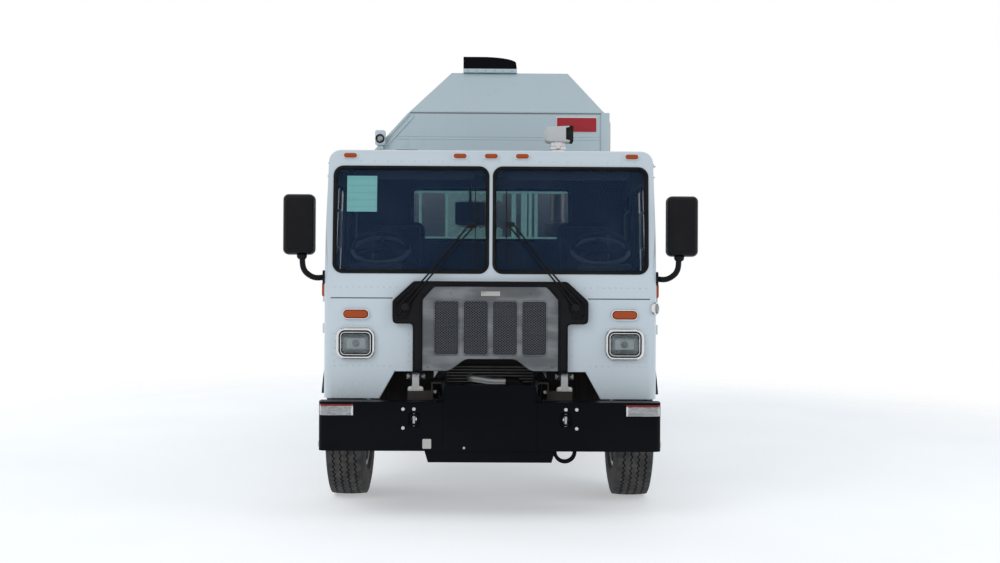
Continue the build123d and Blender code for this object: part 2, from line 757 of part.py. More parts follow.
def wipers():
    """A pair of wipers, each a double arm from an ear of the surround and an upright blade."""
    face = CAB_FRONT - SURROUND_DEPTH
    pieces = []
    for pivot_x, tip_x, blade_low, blade_high in WIPERS:
        middle = (blade_low + blade_high) / 2
        piece = across(Pos(pivot_x, WIPER_PIVOT_Z) * Circle(WIPER_CAP), (face - 22, face + WELL_DEPTH))
        share = (WIPER_BEND_Z - WIPER_PIVOT_Z) / (middle - WIPER_PIVOT_Z)
        bend_x = pivot_x + (tip_x - pivot_x) * share
        for drop in (0, WIPER_ARM_DROP):
            foot = (pivot_x, face - 16, WIPER_PIVOT_Z - drop / 2 + 8)
            knee = (bend_x, face - 10, WIPER_BEND_Z - drop)
            tip = (tip_x, screen_station(middle) - 30, middle - drop)
            piece += bar(foot, knee, WIPER_ROD) + bar(knee, tip, WIPER_ROD)
            piece += Pos(knee[0], st(knee[1]), knee[2]) * Sphere(WIPER_ROD + 1)
        foot = (tip_x, screen_station(blade_low) - 11, blade_low)
        piece += bar(foot, (tip_x, screen_station(blade_high) - 11, blade_high), WIPER_BLADE)
        depth = screen_station(middle)
        piece += block((tip_x - 10, tip_x + 10), (depth - 36, depth - 8), (middle - 34, middle + 8))
        pieces.append(piece)
    return pieces


def screen_station(z):
    """How far back the glass stands at a height."""
    return CAB_FRONT + GLASS_INSET + WINDSCREEN_LEAN * (z - CREASE_Z) / (ROOF_Z - CREASE_Z)


def seat(side):
    """A seat as one closed cushion with its back."""
    profile = [
        (1180, SEAT_BASE_Z + FIT),
        (1610, SEAT_BASE_Z + FIT),
        (1760, 2230),
        (1660, 2260),
        (1560, 1760),
        (1170, 1720),
    ]
    middle = side * SEAT_X
    face = outline(profile, [30, 40, 45, 45, 30, 50])
    return along(face, (middle - SEAT_HALF_WIDTH, middle + SEAT_HALF_WIDTH))


def dashboard():
    """The dash across the cab with two steering columns and wheels."""
    inner = CAB_HALF_WIDTH - CAB_WALL
    front = CAB_FRONT + CAB_WALL
    profile = [
        (front, 1300),
        (front, 1735),
        (front + 120, 1755),
        (front + 270, 1700),
        (front + 270, 1600),
        (front + 160, 1520),
        (front + 160, 1300),
    ]
    shape = along(outline(profile, [0, 0, 30, 30, 30, 0, 0]), (-inner, inner))
    half = TUNNEL_HALF_WIDTH
    shape -= block((-half, half), (front - 5, front + 400), (1200, TUNNEL_TOP))
    for side in (1, -1):
        x = side * STEERING_WHEEL_X
        foot = (x, front + 200, 1640)
        hub = (x, STEERING_WHEEL_STATION, STEERING_WHEEL_Z)
        shape += bar(foot, hub, 30)
        lean = Plane(
            origin=(x, st(STEERING_WHEEL_STATION), STEERING_WHEEL_Z),
            x_dir=(1, 0, 0),
            z_dir=(0, hub[1] - foot[1], hub[2] - foot[2]),
        )
        wheel = lean * Torus(STEERING_WHEEL_RADIUS, 15)
        wheel += lean * Box(2 * STEERING_WHEEL_RADIUS, 36, 14)
        wheel += lean * Cylinder(46, 30)
        shape += wheel
    return shape


def frame_rails():
    """Two channel rails with their cross members, and the blocks that carry the cab's hinges."""
    outer, bottom = RAIL_OUTER_X, RAIL_TOP - RAIL_HEIGHT
    shape = None
    for side in (1, -1):
        x = sorted((side * outer, side * (outer - RAIL_FLANGE)))
        rail = block(x, (RAIL_FRONT, RAIL_REAR), (bottom, RAIL_TOP))
        hollow = sorted((side * (outer - RAIL_WALL), side * (outer - RAIL_FLANGE - 5)))
        rail -= block(hollow, (RAIL_FRONT - 5, RAIL_REAR + 5), (bottom + RAIL_WALL, RAIL_TOP - RAIL_WALL))
        horn = sorted((side * outer, side * (HINGE_X + HINGE_FOOT / 2)))
        rail += block(horn, HINGE_BLOCK_STATIONS, (HINGE_BLOCK_BOTTOM, HINGE_BLOCK_TOP))
        horn_foot = sorted((side * outer, side * (outer + 60)))
        rail += block(horn_foot, HINGE_BLOCK_STATIONS, (BUMPER_TOP - 90, HINGE_BLOCK_BOTTOM))
        shape = rail if shape is None else shape + rail
    web = outer - RAIL_WALL
    for station in CROSSMEMBER_STATIONS:
        tie = block((-web, web), (station - 45, station + 45), (RAIL_TOP - 210, RAIL_TOP - 60))
        tie -= block((-web + 30, web - 30), (station - 33, station + 50), (RAIL_TOP - 198, RAIL_TOP - 72))
        shape += tie
    front = block((-web, web), (RAIL_FRONT, RAIL_FRONT + 40), (bottom + 12, bottom + 90))
    return shape + front


def hinge_brackets():
    """The two bright hinge brackets, each a flared foot and a bored neck."""
    pieces = []
    for side in (1, -1):
        x = side * HINGE_X
        foot, neck = HINGE_FOOT / 2, HINGE_NECK / 2
        top = HINGE_Z + HINGE_EAR_RADIUS
        base = HINGE_BLOCK_TOP
        half = [(foot, base), (foot, base + 12), (neck, base + 40), (neck, top)]
        points = [(x + a, z) for a, z in half] + [(x - a, z) for a, z in reversed(half)]
        piece = across(outline(points), (HINGE_STATION - 45, HINGE_STATION + 45))
        ear = along(Pos(HINGE_STATION, HINGE_Z) * Circle(HINGE_EAR_RADIUS), (x - neck, x + neck))
        stem = block((x - foot, x + foot), (HINGE_STATION - 45, HINGE_STATION + 45), (base, HINGE_Z))
        piece = piece & (ear + stem)
        piece -= along(Pos(HINGE_STATION, HINGE_Z) * Circle(HINGE_PIN_RADIUS + FIT), (x - 80, x + 80))
        pieces.append(piece)
    return pieces


def front_bumper():
    """The black bumper with its centre box, lower lip, tow pins and the hook below."""
    half = BUMPER_HALF_WIDTH
    plan = outline(
        [(-half, 0), (half, 0), (half, BUMPER_DEPTH), (-half, BUMPER_DEPTH)],
        [BUMPER_CORNER, BUMPER_CORNER, 0, 0],
    )
    wall = BUMPER_WALL
    inner = outline(
        [
            (-half + wall, wall),
            (half - wall, wall),
            (half - wall, BUMPER_DEPTH + 5),
            (-half + wall, BUMPER_DEPTH + 5),
        ],
        [BUMPER_CORNER - wall, BUMPER_CORNER - wall, 0, 0],
    )
    shape = upward(plan, (BUMPER_BOTTOM, BUMPER_TOP))
    shape -= upward(inner, (BUMPER_BOTTOM + wall, BUMPER_TOP - wall))
    box = block((-BOX_HALF_WIDTH, BOX_HALF_WIDTH), (0, BOX_DEPTH), (BUMPER_TOP - wall, BOX_TOP))
    inner = BOX_HALF_WIDTH - wall
    box -= block((-inner, inner), (wall, BOX_DEPTH + 5), (BUMPER_TOP - 40, BOX_TOP - wall))
    shape += box
    lip = outline(
        [
            (-LIP_HALF_WIDTH, BUMPER_BOTTOM),
            (-LIP_HALF_WIDTH + 25, LIP_BOTTOM),
            (LIP_HALF_WIDTH - 25, LIP_BOTTOM),
            (LIP_HALF_WIDTH, BUMPER_BOTTOM),
        ]
    )
    shape += across(lip, (14, 14 + wall))
    for side in (1, -1):
        x = side * TOW_PIN_X
        recess = panel((x - 38, x + 38), (TOW_PIN_Z - 46, TOW_PIN_Z + 46), 16)
        shape -= across(recess, (-5, wall + 5))
        # The recess holds a socket for the tow pin, carried down to the frame horns.
        face = panel((x - 60, x + 60), (TOW_PIN_Z - 66, TOW_PIN_Z + 66), 16)
        socket = across(face, (wall, TOW_SOCKET_DEPTH))
        socket -= across(Pos(x, TOW_PIN_Z) * Circle(TOW_PIN_RADIUS), (0, TOW_SOCKET_DEPTH + 5))
        shape += socket
    # Two plates tie the bumper to the ends of the rails.
    for side in (1, -1):
        x = sorted((side * (RAIL_OUTER_X), side * (RAIL_OUTER_X + 18)))
        shape += block(x, (wall, RAIL_FRONT + 120), (BUMPER_BOTTOM + 60, BUMPER_TOP - 100))
    eye = (TOW_HOOK_STATIONS[0] - 5, TOW_HOOK_STATIONS[1] + 5)
    hook = across(Pos(TOW_HOOK_X, BUMPER_BOTTOM - 6) * Circle(TOW_HOOK_RADIUS), TOW_HOOK_STATIONS)
    hook -= across(Pos(TOW_HOOK_X, BUMPER_BOTTOM - 6) * Circle(TOW_HOOK_RADIUS - TOW_HOOK_BAR), eye)
    above = block(
        (TOW_HOOK_X - 2 * TOW_HOOK_RADIUS, TOW_HOOK_X + 2 * TOW_HOOK_RADIUS),
        (TOW_HOOK_STATIONS[0] - 5, TOW_HOOK_STATIONS[1] + 5),
        (BUMPER_BOTTOM + 8, BUMPER_TOP),
    )
    shape += hook - above
    return shape


def entry_steps():
    """Two treads on each side between the bumper and the wheel, carried from the rails."""
    inner, outer = STEP_XS
    front, rear = STEP_STATIONS
    low, high = STEP_BOTTOM, STEP_TOP
    one = block((inner, outer), (front, rear), (low, high))
    one -= block((inner + 14, outer - 14), (front - 5, rear - 14), (low + 16, high + 5))
    one -= block((inner + 14, outer + 5), (front + 14, rear - 14), (low + 16, high + 5))
    one += block((inner + 10, outer), (front, rear), (high - 110, high - 94))
    beam = block((RAIL_OUTER_X, inner), (front + 180, front + 240), (high - 80, high - 20))
    one += beam
    return both_sides(one)


def front_axle():
    """A dropped beam with its kingpin bosses, and the leaf springs with their hangers."""
    half = [
        (0, 400),
        (560, 400),
        (760, 470),
        (AXLE_BOSS_INNER_X, 470),
        (AXLE_BOSS_INNER_X, 600),
        (740, 590),
        (540, 510),
        (0, 510),
    ]
    points = half + [(-x, z) for x, z in reversed(half)][1:-1]
    beam = across(outline(points), (FRONT_AXLE_STATION - 48, FRONT_AXLE_STATION + 48))
    for side in (1, -1):
        centre = Pos(side * KINGPIN_X, st(FRONT_AXLE_STATION), (AXLE_BOSS[0] + AXLE_BOSS[1]) / 2)
        beam += centre * Cylinder(AXLE_BOSS_RADIUS, AXLE_BOSS[1] - AXLE_BOSS[0])
        beam -= centre * Cylinder(KINGPIN_RADIUS + FIT, 400)
        beam += spring(side)
    return beam


def spring(side):
    """A leaf spring pack under a rail, clamped to the beam, with a hanger at each end."""
    x = (side * SPRING_X - 45, side * SPRING_X + 45)
    front, rear = FRONT_AXLE_STATION - SPRING_REACH, FRONT_AXLE_STATION + SPRING_REACH
    low = SPRING_MIDDLE_Z
    lines = Line((front, SPRING_END_Z), (front, SPRING_END_Z + 26))
    end_z = SPRING_END_Z + 26
    lines += ThreePointArc((front, end_z), (FRONT_AXLE_STATION, low + 62), (rear, end_z))
    lines += Line((rear, SPRING_END_Z + 26), (rear, SPRING_END_Z))
    lines += ThreePointArc((rear, SPRING_END_Z), (FRONT_AXLE_STATION, low), (front, SPRING_END_Z))
    pack = along(make_face(lines), x)
    pack += block(x, (FRONT_AXLE_STATION - 90, FRONT_AXLE_STATION + 90), (505, low + 74))
    rail_bottom = RAIL_TOP - RAIL_HEIGHT
    for end in (front, rear):
        pack += block((x[0] - 12, x[1] + 12), (end - 40, end + 40), (SPRING_END_Z - 26, SPRING_END_Z + 44))
        shackle = (side * SPRING_X - 30, side * SPRING_X + 30)
        pack += block(shackle, (end - 26, end + 26), (SPRING_END_Z, rail_bottom))
    return pack


def rear_axles():
    """Two driven axles with their housings, the walking beams between them and their saddles."""
    shape = None
    for station in REAR_AXLE_STATIONS:
        y = st(station)
        end = REAR_DUAL_X - HUB_INNER
        tube = Pos(0, y, TYRE_RADIUS) * Rot(0, 90, 0) * Cylinder(72, 2 * end)
        spindle = Pos(0, y, TYRE_RADIUS) * Rot(0, 90, 0) * Cylinder(SPINDLE_RADIUS, 2 * (REAR_DUAL_X + 95))
        house = Pos(0, y, TYRE_RADIUS) * Rot(0, 90, 0) * Cylinder(DIFF_RADIUS, DIFF_WIDTH)
        rear_reach = PINION_REACH if station == REAR_AXLE_STATIONS[0] else 150
        ends = (station - PINION_REACH, station + rear_reach)
        pinion = bar((0, ends[0], TYRE_RADIUS), (0, ends[1], TYRE_RADIUS), PINION_RADIUS)
        axle = tube + spindle + house + pinion
        shape = axle if shape is None else shape + axle
    first, last = REAR_AXLE_STATIONS
    middle = (first + last) / 2
    for side in (1, -1):
        x = (side * BEAM_X - 45, side * BEAM_X + 45)
        profile = [
            (first - 95, 490),
            (first - 95, 590),
            (first + 95, 610),
            (middle - 130, 560),
            (middle + 130, 560),
            (last - 95, 610),
            (last + 95, 590),
            (last + 95, 490),
            (last - 60, 440),
            (middle, 400),
            (first + 60, 440),
        ]
        shape += along(outline(profile), x)
        narrow, wide = SADDLE_HALF
        rail_bottom = RAIL_TOP - RAIL_HEIGHT
        saddle = [
            (middle - narrow, SADDLE_Z),
            (middle - wide, rail_bottom),
            (middle + wide, rail_bottom),
            (middle + narrow, SADDLE_Z),
        ]
        shape += along(outline(saddle), (side * BEAM_X - 40, side * BEAM_X + 40))
        x_foot = sorted((side * (RAIL_OUTER_X - 70), side * (BEAM_X + 40)))
        shape += block(x_foot, (middle - wide, middle + wide), (rail_bottom - 40, rail_bottom))
    return shape


def powertrain():
    """The engine as one block, with the gearbox and the shafts to both axles."""
    shape = block((-300, 300), (640, 1720), (570, 1470))
    shape -= block((-310, -230), (630, 1730), (560, 690)) + block((230, 310), (630, 1730), (560, 690))
    shape += Pos(0, st(2060), 720) * Rot(90, 0, 0) * Cone(130, 190, 700)
    first, last = REAR_AXLE_STATIONS
    nose = first - PINION_REACH - FIT
    shape += bar((0, 2400, 700), (0, nose - YOKE_LENGTH / 2, TYRE_RADIUS), 52)
    shape += bar((0, nose - YOKE_LENGTH, TYRE_RADIUS), (0, nose, TYRE_RADIUS), 62)
    reach = PINION_REACH + FIT
    shape += bar((0, first + reach, TYRE_RADIUS), (0, last - reach, TYRE_RADIUS), SHAFT_RADIUS)
    return shape


def radiator():
    """The cooler behind the low front opening: a framed core with slats, and a bent pipe with its hose."""
    half = RADIATOR_HALF_WIDTH
    shape = block((-half, half), (470, 560), (730, 1500))
    shape -= block((-half + 25, half - 25), (465, 500), (760, 1470))
    for number in range(SLAT_COUNT):
        z = 790 + number * (1450 - 790) / (SLAT_COUNT - 1)
        shape += block((-half + 20, half - 20), (SLAT_STATION, 505), (z - 6, z + 6))
    for side in (1, -1):
        bracket = sorted((side * (half - 5), side * (RAIL_OUTER_X - RAIL_WALL)))
        shape += block(bracket, (500, 540), (780, 800))
    return shape


def coolant_pipe():
    """The bright pipe that crosses in front of the cooler."""
    points = [(-150, SLAT_STATION, 1000), (-150, 420, 1000), (20, 420, 975), (170, 420, 975)]
    return bent_tube(points, 26, [38, 60])


def exhaust_stack():
    """The upright pipe behind the cab with its muffler and its flattened outlet head."""
    x, y = STACK_X, STACK_STATION
    low, high = MUFFLER_Z
    shape = Pos(x, st(y), (low + high) / 2) * Cylinder(MUFFLER_RADIUS, high - low)
    shape += bar((x, y, MUFFLER_Z[1] - 5), (x, y, STACK_HEAD_Z[0] + 20), STACK_RADIUS)
    deep, wall = STACK_HEAD_HALF, STACK_HEAD_WALL
    low_z, high_z = STACK_HEAD_Z
    head = across(panel(STACK_HEAD_X, STACK_HEAD_Z, 55), (y - deep, y + deep))
    mouth = panel((STACK_HEAD_X[0] + 60, STACK_HEAD_X[1] + 20), (low_z + wall, high_z - wall), 30)
    shape += head - across(mouth, (y - deep + wall, y + deep - wall))
    foot = sorted((RAIL_OUTER_X - RAIL_FLANGE, x + 110))
    shape += block(foot, (y - 70, y + 70), (RAIL_TOP, MUFFLER_Z[0]))
    return shape


def side_tanks():
    """A round fuel tank on the street side, and battery and oil boxes on the kerb side."""
    front, rear = TANK_STATIONS
    tank = Pos(TANK_X, st((front + rear) / 2), TANK_Z) * Rot(90, 0, 0) * Cylinder(TANK_RADIUS, rear - front)
    tank = fillet(tank.edges().filter_by(GeomType.CIRCLE), 40)
    for station in (front + 250, rear - 250):
        band = Cylinder(TANK_RADIUS + 8, 60) - Cylinder(TANK_RADIUS - 3, 70)
        tank += Pos(TANK_X, st(station), TANK_Z) * Rot(90, 0, 0) * band
        reach = (RAIL_OUTER_X, TANK_X - 200)
        tank += block(reach, (station - 30, station + 30), (TANK_Z - 40, RAIL_TOP - 60))
    boxes = []
    for low, high, top in SIDE_BOXES:
        box = side_box((-BOX_OUTER_X, -RAIL_OUTER_X - 90), (low, high), (BOX_FOOT, top))
        box += block((-RAIL_OUTER_X - 92, -RAIL_OUTER_X), (low + 80, low + 160), (760, 880))
        box += block((-RAIL_OUTER_X - 92, -RAIL_OUTER_X), (high - 160, high - 80), (760, 880))
        boxes.append(box)
    return [tank] + boxes


def side_box(x, y, z):
    """A closed box with rounded outer edges."""
    face = panel(x, z, 40)
    return across(face, y)


def rear_fenders():
    """Bent fenders over the twin axles, with flaps behind, hung from the body sills."""
    low, high = FENDER_XS
    path = [(5690, 820), (5770, 1020), (5960, FENDER_Z), (8040, FENDER_Z), (8230, 1020), (8310, 820)]
    inner = [(y + (12 if y < 7000 else -12), z - (0 if z < FENDER_Z else 10)) for y, z in path]
    one = along(outline(path + inner[::-1]), (low, high))
    one += block((low + 20, high - 10), (8298, 8312), (270, 860))
    for station in (6000, 7000, 8000):
        one += block((RAIL_OUTER_X, low + 120), (station - 25, station + 25), (FENDER_Z, FENDER_Z + 50))
    return both_sides(one)


def rear_bumper():
    """The bar under the tailgate with its lamp boxes, drop plates and the bored tow plate."""
    low, high = 500, 620
    shape = block((-1150, 1150), (9250, 9360), (low, high))
    for side in (1, -1):
        x = sorted((side * RAIL_OUTER_X, side * (RAIL_OUTER_X + 20)))
        arm = [(8900, 720), (8900, 940), (9070, 940), (9360, 620), (9360, 500), (9230, 500)]
        shape += along(outline(arm), x)
        lamp = sorted((side * 820, side * 1140))
        shape += block(lamp, (9270, 9350), (high, high + 130))
    plate_y = (RAIL_REAR, RAIL_REAR + 25)
    half = RAIL_OUTER_X
    plate = block((-half, half), plate_y, (RAIL_TOP - RAIL_HEIGHT, RAIL_TOP))
    return [shape + plate + block((-half - 20, half + 20), plate_y, (760, 900)) - tow_holes(plate_y)]


def tow_holes(y):
    """The four bolt holes of the tow plate."""
    holes = None
    for x in (-TOW_PLATE_X / 2, TOW_PLATE_X / 2):
        for z in (TOW_PLATE_Z - TOW_PLATE_RISE / 2, TOW_PLATE_Z + TOW_PLATE_RISE / 2):
            hole = across(Pos(x, z) * Circle(TOW_BOLT_RADIUS), (y[0] - 5, y[1] + 5))
            holes = hole if holes is None else holes + hole
    return holes


def tail_lamps():
    """Red lamp lenses on the rear bar."""
    pieces = []
    for side in (1, -1):
        for middle in (870, 980, 1090):
            centre = Pos(side * middle, 685)
            pieces.append(across(centre * Circle(46), (9350, 9372)))
    return pieces


def tyre(x, station, side, width):
    """A tyre with rounded shoulders, bulged walls and beads on the rim."""
    half, bead = width / 2, TYRE_BEAD_HALF
    face = outline(
        [
            (x - side * bead, BEAD_RADIUS + FIT),
            (x - side * bead, BEAD_RADIUS + 34),
            (x - side * half, TYRE_RADIUS - 130),
            (x - side * (half - 6), TYRE_RADIUS - 34),
            (x - side * (half - 26), TYRE_RADIUS),
            (x + side * (half - 26), TYRE_RADIUS),
            (x + side * (half - 6), TYRE_RADIUS - 34),
            (x + side * half, TYRE_RADIUS - 130),
            (x + side * bead, BEAD_RADIUS + 34),
            (x + side * bead, BEAD_RADIUS + FIT),
        ],
        [0, 20, 70, 20, 14, 14, 20, 70, 20, 0],
    )
    return Pos(0, st(station), TYRE_RADIUS) * revolve(Plane.XZ * face, Axis.X)


def rim_barrel(middle, side):
    """The rim's well and its two flanges as (outward, radius) points about its middle."""
    half, base = TYRE_BEAD_HALF, BEAD_RADIUS
    low = base - RIM_WALL
    edge = half + RIM_FLANGE
    flange = base + 26
    points = [(-edge, low), (-edge, flange), (-half, flange), (-half, base)]
    points += [(half, base), (half, flange), (edge, flange), (edge, low)]
    return [(middle + a, r) for a, r in points]


def front_rim(side):
    """A front wheel whose disc bulges out to the hub, bored for the spindle."""
    x = side * FRONT_TYRE_X
    rim = turned(rim_barrel(0.0, side), x, FRONT_AXLE_STATION, TYRE_RADIUS, side)
    low = BEAD_RADIUS - RIM_WALL
    disc = [
        (30, low + 4),
        (92, 205),
        (92, HUB_RADIUS - 5),
        (78, HUB_RADIUS - 5),
        (78, 200),
        (16, low - 16),
        (-10, low + 4),
    ]
    rim += turned(disc, x, FRONT_AXLE_STATION, TYRE_RADIUS, side)
    hub = [
        (-78, SPINDLE_RADIUS + FIT),
        (-78, HUB_RADIUS - 12),
        (78, HUB_RADIUS),
        (100, HUB_RADIUS),
        (150, 82),
        (162, 60),
        (162, 0),
        (146, 0),
        (146, SPINDLE_RADIUS + FIT),
    ]
    rim += turned(hub, x, FRONT_AXLE_STATION, TYRE_RADIUS, side)
    return rim - hand_holes(x + side * 50, FRONT_AXLE_STATION, 60)


def hand_holes(x, station, reach):
    """Round holes through a wheel disc."""
    holes = None
    for number in range(HAND_HOLE_COUNT):
        turn = radians(360 / HAND_HOLE_COUNT * (number + 0.5))
        centre = Pos(station + HAND_HOLE_CIRCLE * cos(turn), TYRE_RADIUS + HAND_HOLE_CIRCLE * sin(turn))
        hole = along(centre * Circle(HAND_HOLE_RADIUS), (x - reach, x + reach))
        holes = hole if holes is None else holes + hole
    return holes


def rear_rims(side, station):
    """A pair of rims on one hub, their discs meeting between the tyres."""
    x = side * REAR_DUAL_X
    low = BEAD_RADIUS - RIM_WALL
    rim = turned(rim_barrel(DUAL_PITCH / 2, side), x, station, TYRE_RADIUS, side)
    rim += turned(rim_barrel(-DUAL_PITCH / 2, side), x, station, TYRE_RADIUS, side)
    near = DUAL_PITCH / 2 - 80
    bore = HUB_RADIUS - 5
    disc = [(near, low + 4), (near, low - 12), (14, 215), (14, bore)]
    disc += [(-14, bore), (-14, 215), (-near, low - 12), (-near, low + 4)]
    disc += [(-near + 22, low + 4), (0, 246), (near - 22, low + 4)]
    rim += turned(disc, x, station, TYRE_RADIUS, side)
    hub = [
        (-HUB_INNER + 10, SPINDLE_RADIUS + FIT),
        (-HUB_INNER + 10, 190),
        (-40, 190),
        (-14, HUB_RADIUS),
        (110, HUB_RADIUS - 6),
        (150, 96),
        (158, 80),
        (158, 0),
        (100, 0),
        (100, SPINDLE_RADIUS + FIT),
    ]
    rim += turned(hub, x, station, TYRE_RADIUS, side)
    return rim - hand_holes(x, station, near + 5)


def rear_tyres(side, station):
    """The two tyres of a twin wheel."""
    x = side * REAR_DUAL_X
    return [tyre(x + a, station, side, DUAL_TYRE_WIDTH) for a in (-DUAL_PITCH / 2, DUAL_PITCH / 2)]


def knuckle(side):
    """The steering knuckle: a forked yoke on its kingpin, the spindle, brake plate and steering arm."""
    y = st(FRONT_AXLE_STATION)
    low, high = AXLE_BOSS
    x = side * KINGPIN_X
    stations = (FRONT_AXLE_STATION - 50, FRONT_AXLE_STATION + 50)
    shape = Pos(x, y, (low + high) / 2) * Cylinder(KINGPIN_RADIUS, high - low + 2 * YOKE_EAR + 2 * YOKE_GAP)
    for z in (low - YOKE_GAP - YOKE_EAR / 2, high + YOKE_GAP + YOKE_EAR / 2):
        shape += Pos(x, y, z) * Cylinder(AXLE_BOSS_RADIUS, YOKE_EAR)
        reach = sorted((x, side * YOKE_WEB_X[1]))
        shape += block(reach, stations, (z - YOKE_EAR / 2, z + YOKE_EAR / 2))
    web = sorted((side * YOKE_WEB_X[0], side * YOKE_WEB_X[1]))
    foot, top = low - YOKE_GAP - YOKE_EAR, high + YOKE_GAP + YOKE_EAR
    shape += block(web, stations, (foot, top))
    centre = Pos(FRONT_AXLE_STATION, TYRE_RADIUS)
    spindle = sorted((side * YOKE_WEB_X[0], side * (FRONT_TYRE_X + 130)))
    shape += along(centre * Circle(SPINDLE_RADIUS), spindle)
    plate = sorted((side * (YOKE_WEB_X[1] - 4), side * (YOKE_WEB_X[1] + 10)))
    shape += along(centre * Circle(200), plate)
    arm = sorted((side * (YOKE_WEB_X[0] + 4), side * YOKE_WEB_X[1]))
    shape += block(arm, (FRONT_AXLE_STATION + 40, FRONT_AXLE_STATION + 210), (foot, low - YOKE_GAP))
    return shape


def hopper():
    """The open hopper: its kerb side stands in for the arm and flares out again to a chute."""
    wall = HOPPER_WALL
    kerb, chute, street = HOPPER_KERB_X, HOPPER_CHUTE_X, HOPPER_STREET_X
    outer = [
        (kerb, BODY_BOTTOM),
        (street, BODY_BOTTOM),
        (street, HOPPER_TOP_Z),
        (HOPPER_SLOPE_X, HOPPER_TOP_Z),
        (chute, HOPPER_SILL_Z),
        (chute, HOPPER_FLARE_Z[1]),
        (kerb, HOPPER_FLARE_Z[0]),
    ]
    inner = [
        (kerb + wall, BODY_BOTTOM + wall),
        (street - wall, BODY_BOTTOM + wall),
        (street - wall, HOPPER_TOP_Z + 10),
        (chute + wall, HOPPER_TOP_Z + 10),
        (chute + wall, HOPPER_FLARE_Z[1] + 15),
        (kerb + wall, HOPPER_FLARE_Z[0] + 15),
    ]
    shape = across(outline(outer), (HOPPER_FRONT, BODY_FRONT))
    shape -= across(outline(inner), (HOPPER_FRONT + wall, BODY_FRONT + 5))
    for station in (HOPPER_FRONT + 90, BODY_FRONT - 120):
        shape += block((-RAIL_OUTER_X, RAIL_OUTER_X), (station - 50, station + 50), (RAIL_TOP, BODY_BOTTOM))
    return shape


def body_section(inset):
    """The body's section in X and Z, with the high slope on its kerb side."""
    half = BODY_HALF_WIDTH
    points = [
        (-half, BODY_BOTTOM),
        (-half, BODY_SLOPE_Z),
        (BODY_SEAM_XS[0], SEAM_Z),
        (BODY_ROOF_XS[0], BODY_TOP),
        (BODY_ROOF_XS[1], BODY_TOP),
        (BODY_SEAM_XS[1], SEAM_Z),
        (half, SEAM_Z),
        (half, BODY_BOTTOM),
    ]
    face = outline(points)
    return offset(face, amount=-inset, kind=Kind.INTERSECTION) if inset else face


def body_shell():
    """The hollow body: a front that leans back above its seam, a mouth to the hopper, an open rear."""
    side = outline(
        [
            (BODY_FRONT, BODY_BOTTOM),
            (BODY_FRONT, SEAM_Z),
            (BODY_FRONT + LEAN_BACK, BODY_TOP),
            (BODY_REAR, BODY_TOP),
            (BODY_REAR, BODY_BOTTOM),
        ]
    )
    wall = BODY_WALL
    inside = outline(
        [
            (BODY_FRONT + wall, BODY_BOTTOM),
            (BODY_FRONT + wall, SEAM_Z - 20),
            (BODY_FRONT + LEAN_BACK + wall, BODY_TOP),
            (BODY_REAR + 10, BODY_TOP),
            (BODY_REAR + 10, BODY_BOTTOM),
        ]
    )
    reach = (BODY_FRONT, BODY_REAR)
    half = BODY_HALF_WIDTH
    shape = across(body_section(0.0), reach) & along(side, (-half, half))
    cavity = across(body_section(wall), (BODY_FRONT + wall, BODY_REAR + 10)) & along(inside, (-half, half))
    floor_fill = block((-half, half), reach, (BODY_BOTTOM, BODY_BOTTOM + HOPPER_WALL))
    lower = block(
        (-half + wall, half - wall),
        (BODY_FRONT + wall, BODY_REAR + 10),
        (BODY_BOTTOM + HOPPER_WALL, BODY_BOTTOM + 100),
    )
    shape -= cavity + lower
    shape += floor_fill
    mouth = block(
        (HOPPER_KERB_X + HOPPER_WALL, HOPPER_STREET_X - HOPPER_WALL),
        (BODY_FRONT - 5, BODY_FRONT + wall + 5),
        (BODY_BOTTOM + HOPPER_WALL, MOUTH_TOP),
    )
    shape -= mouth
    for number in range(RIB_COUNT):
        station = RIB_FIRST + number * RIB_PITCH
        for side_sign in (1, -1):
            x = sorted((side_sign * half, side_sign * (half + RIB_DEPTH)))
            shape += block(x, (station - RIB_HALF, station + RIB_HALF), (BODY_BOTTOM, RIB_TOP))
    for x in TAILGATE_HINGE_XS:
        shape += hinge_lugs(x)
    for side_sign in (1, -1):
        x = sorted((side_sign * half, side_sign * (CYLINDER_X - BARREL_RADIUS * 0.5 - 3)))
        shape += along(Pos(*BARREL_PIN) * Circle(BARREL_BOSS_RADIUS), x)
        pin = sorted((side_sign * half, side_sign * (CYLINDER_X + 32)))
        shape += along(Pos(*BARREL_PIN) * Circle(20), pin)
    return shape


def hinge_lugs(x):
    """Two plates on the roof that carry a tailgate pin."""
    shape = None
    for offset_x in (-1, 1):
        low = x + offset_x * (HINGE_ARM / 2 + 5)
        span = sorted((low, low + offset_x * 24))
        profile = [
            (TAILGATE_HINGE_STATION - 120, BODY_TOP),
            (TAILGATE_HINGE_STATION - 40, TAILGATE_HINGE_Z + 30),
            (TAILGATE_HINGE_STATION + 40, TAILGATE_HINGE_Z + 30),
            (TAILGATE_HINGE_STATION + 60, BODY_TOP),
        ]
        lug = along(outline(profile, [0, 25, 25, 0]), span)
        shape = lug if shape is None else shape + lug
    pin = (x - HINGE_ARM / 2 - 28, x + HINGE_ARM / 2 + 28)
    return shape + along(Pos(TAILGATE_HINGE_STATION, TAILGATE_HINGE_Z) * Circle(TAILGATE_PIN_RADIUS), pin)


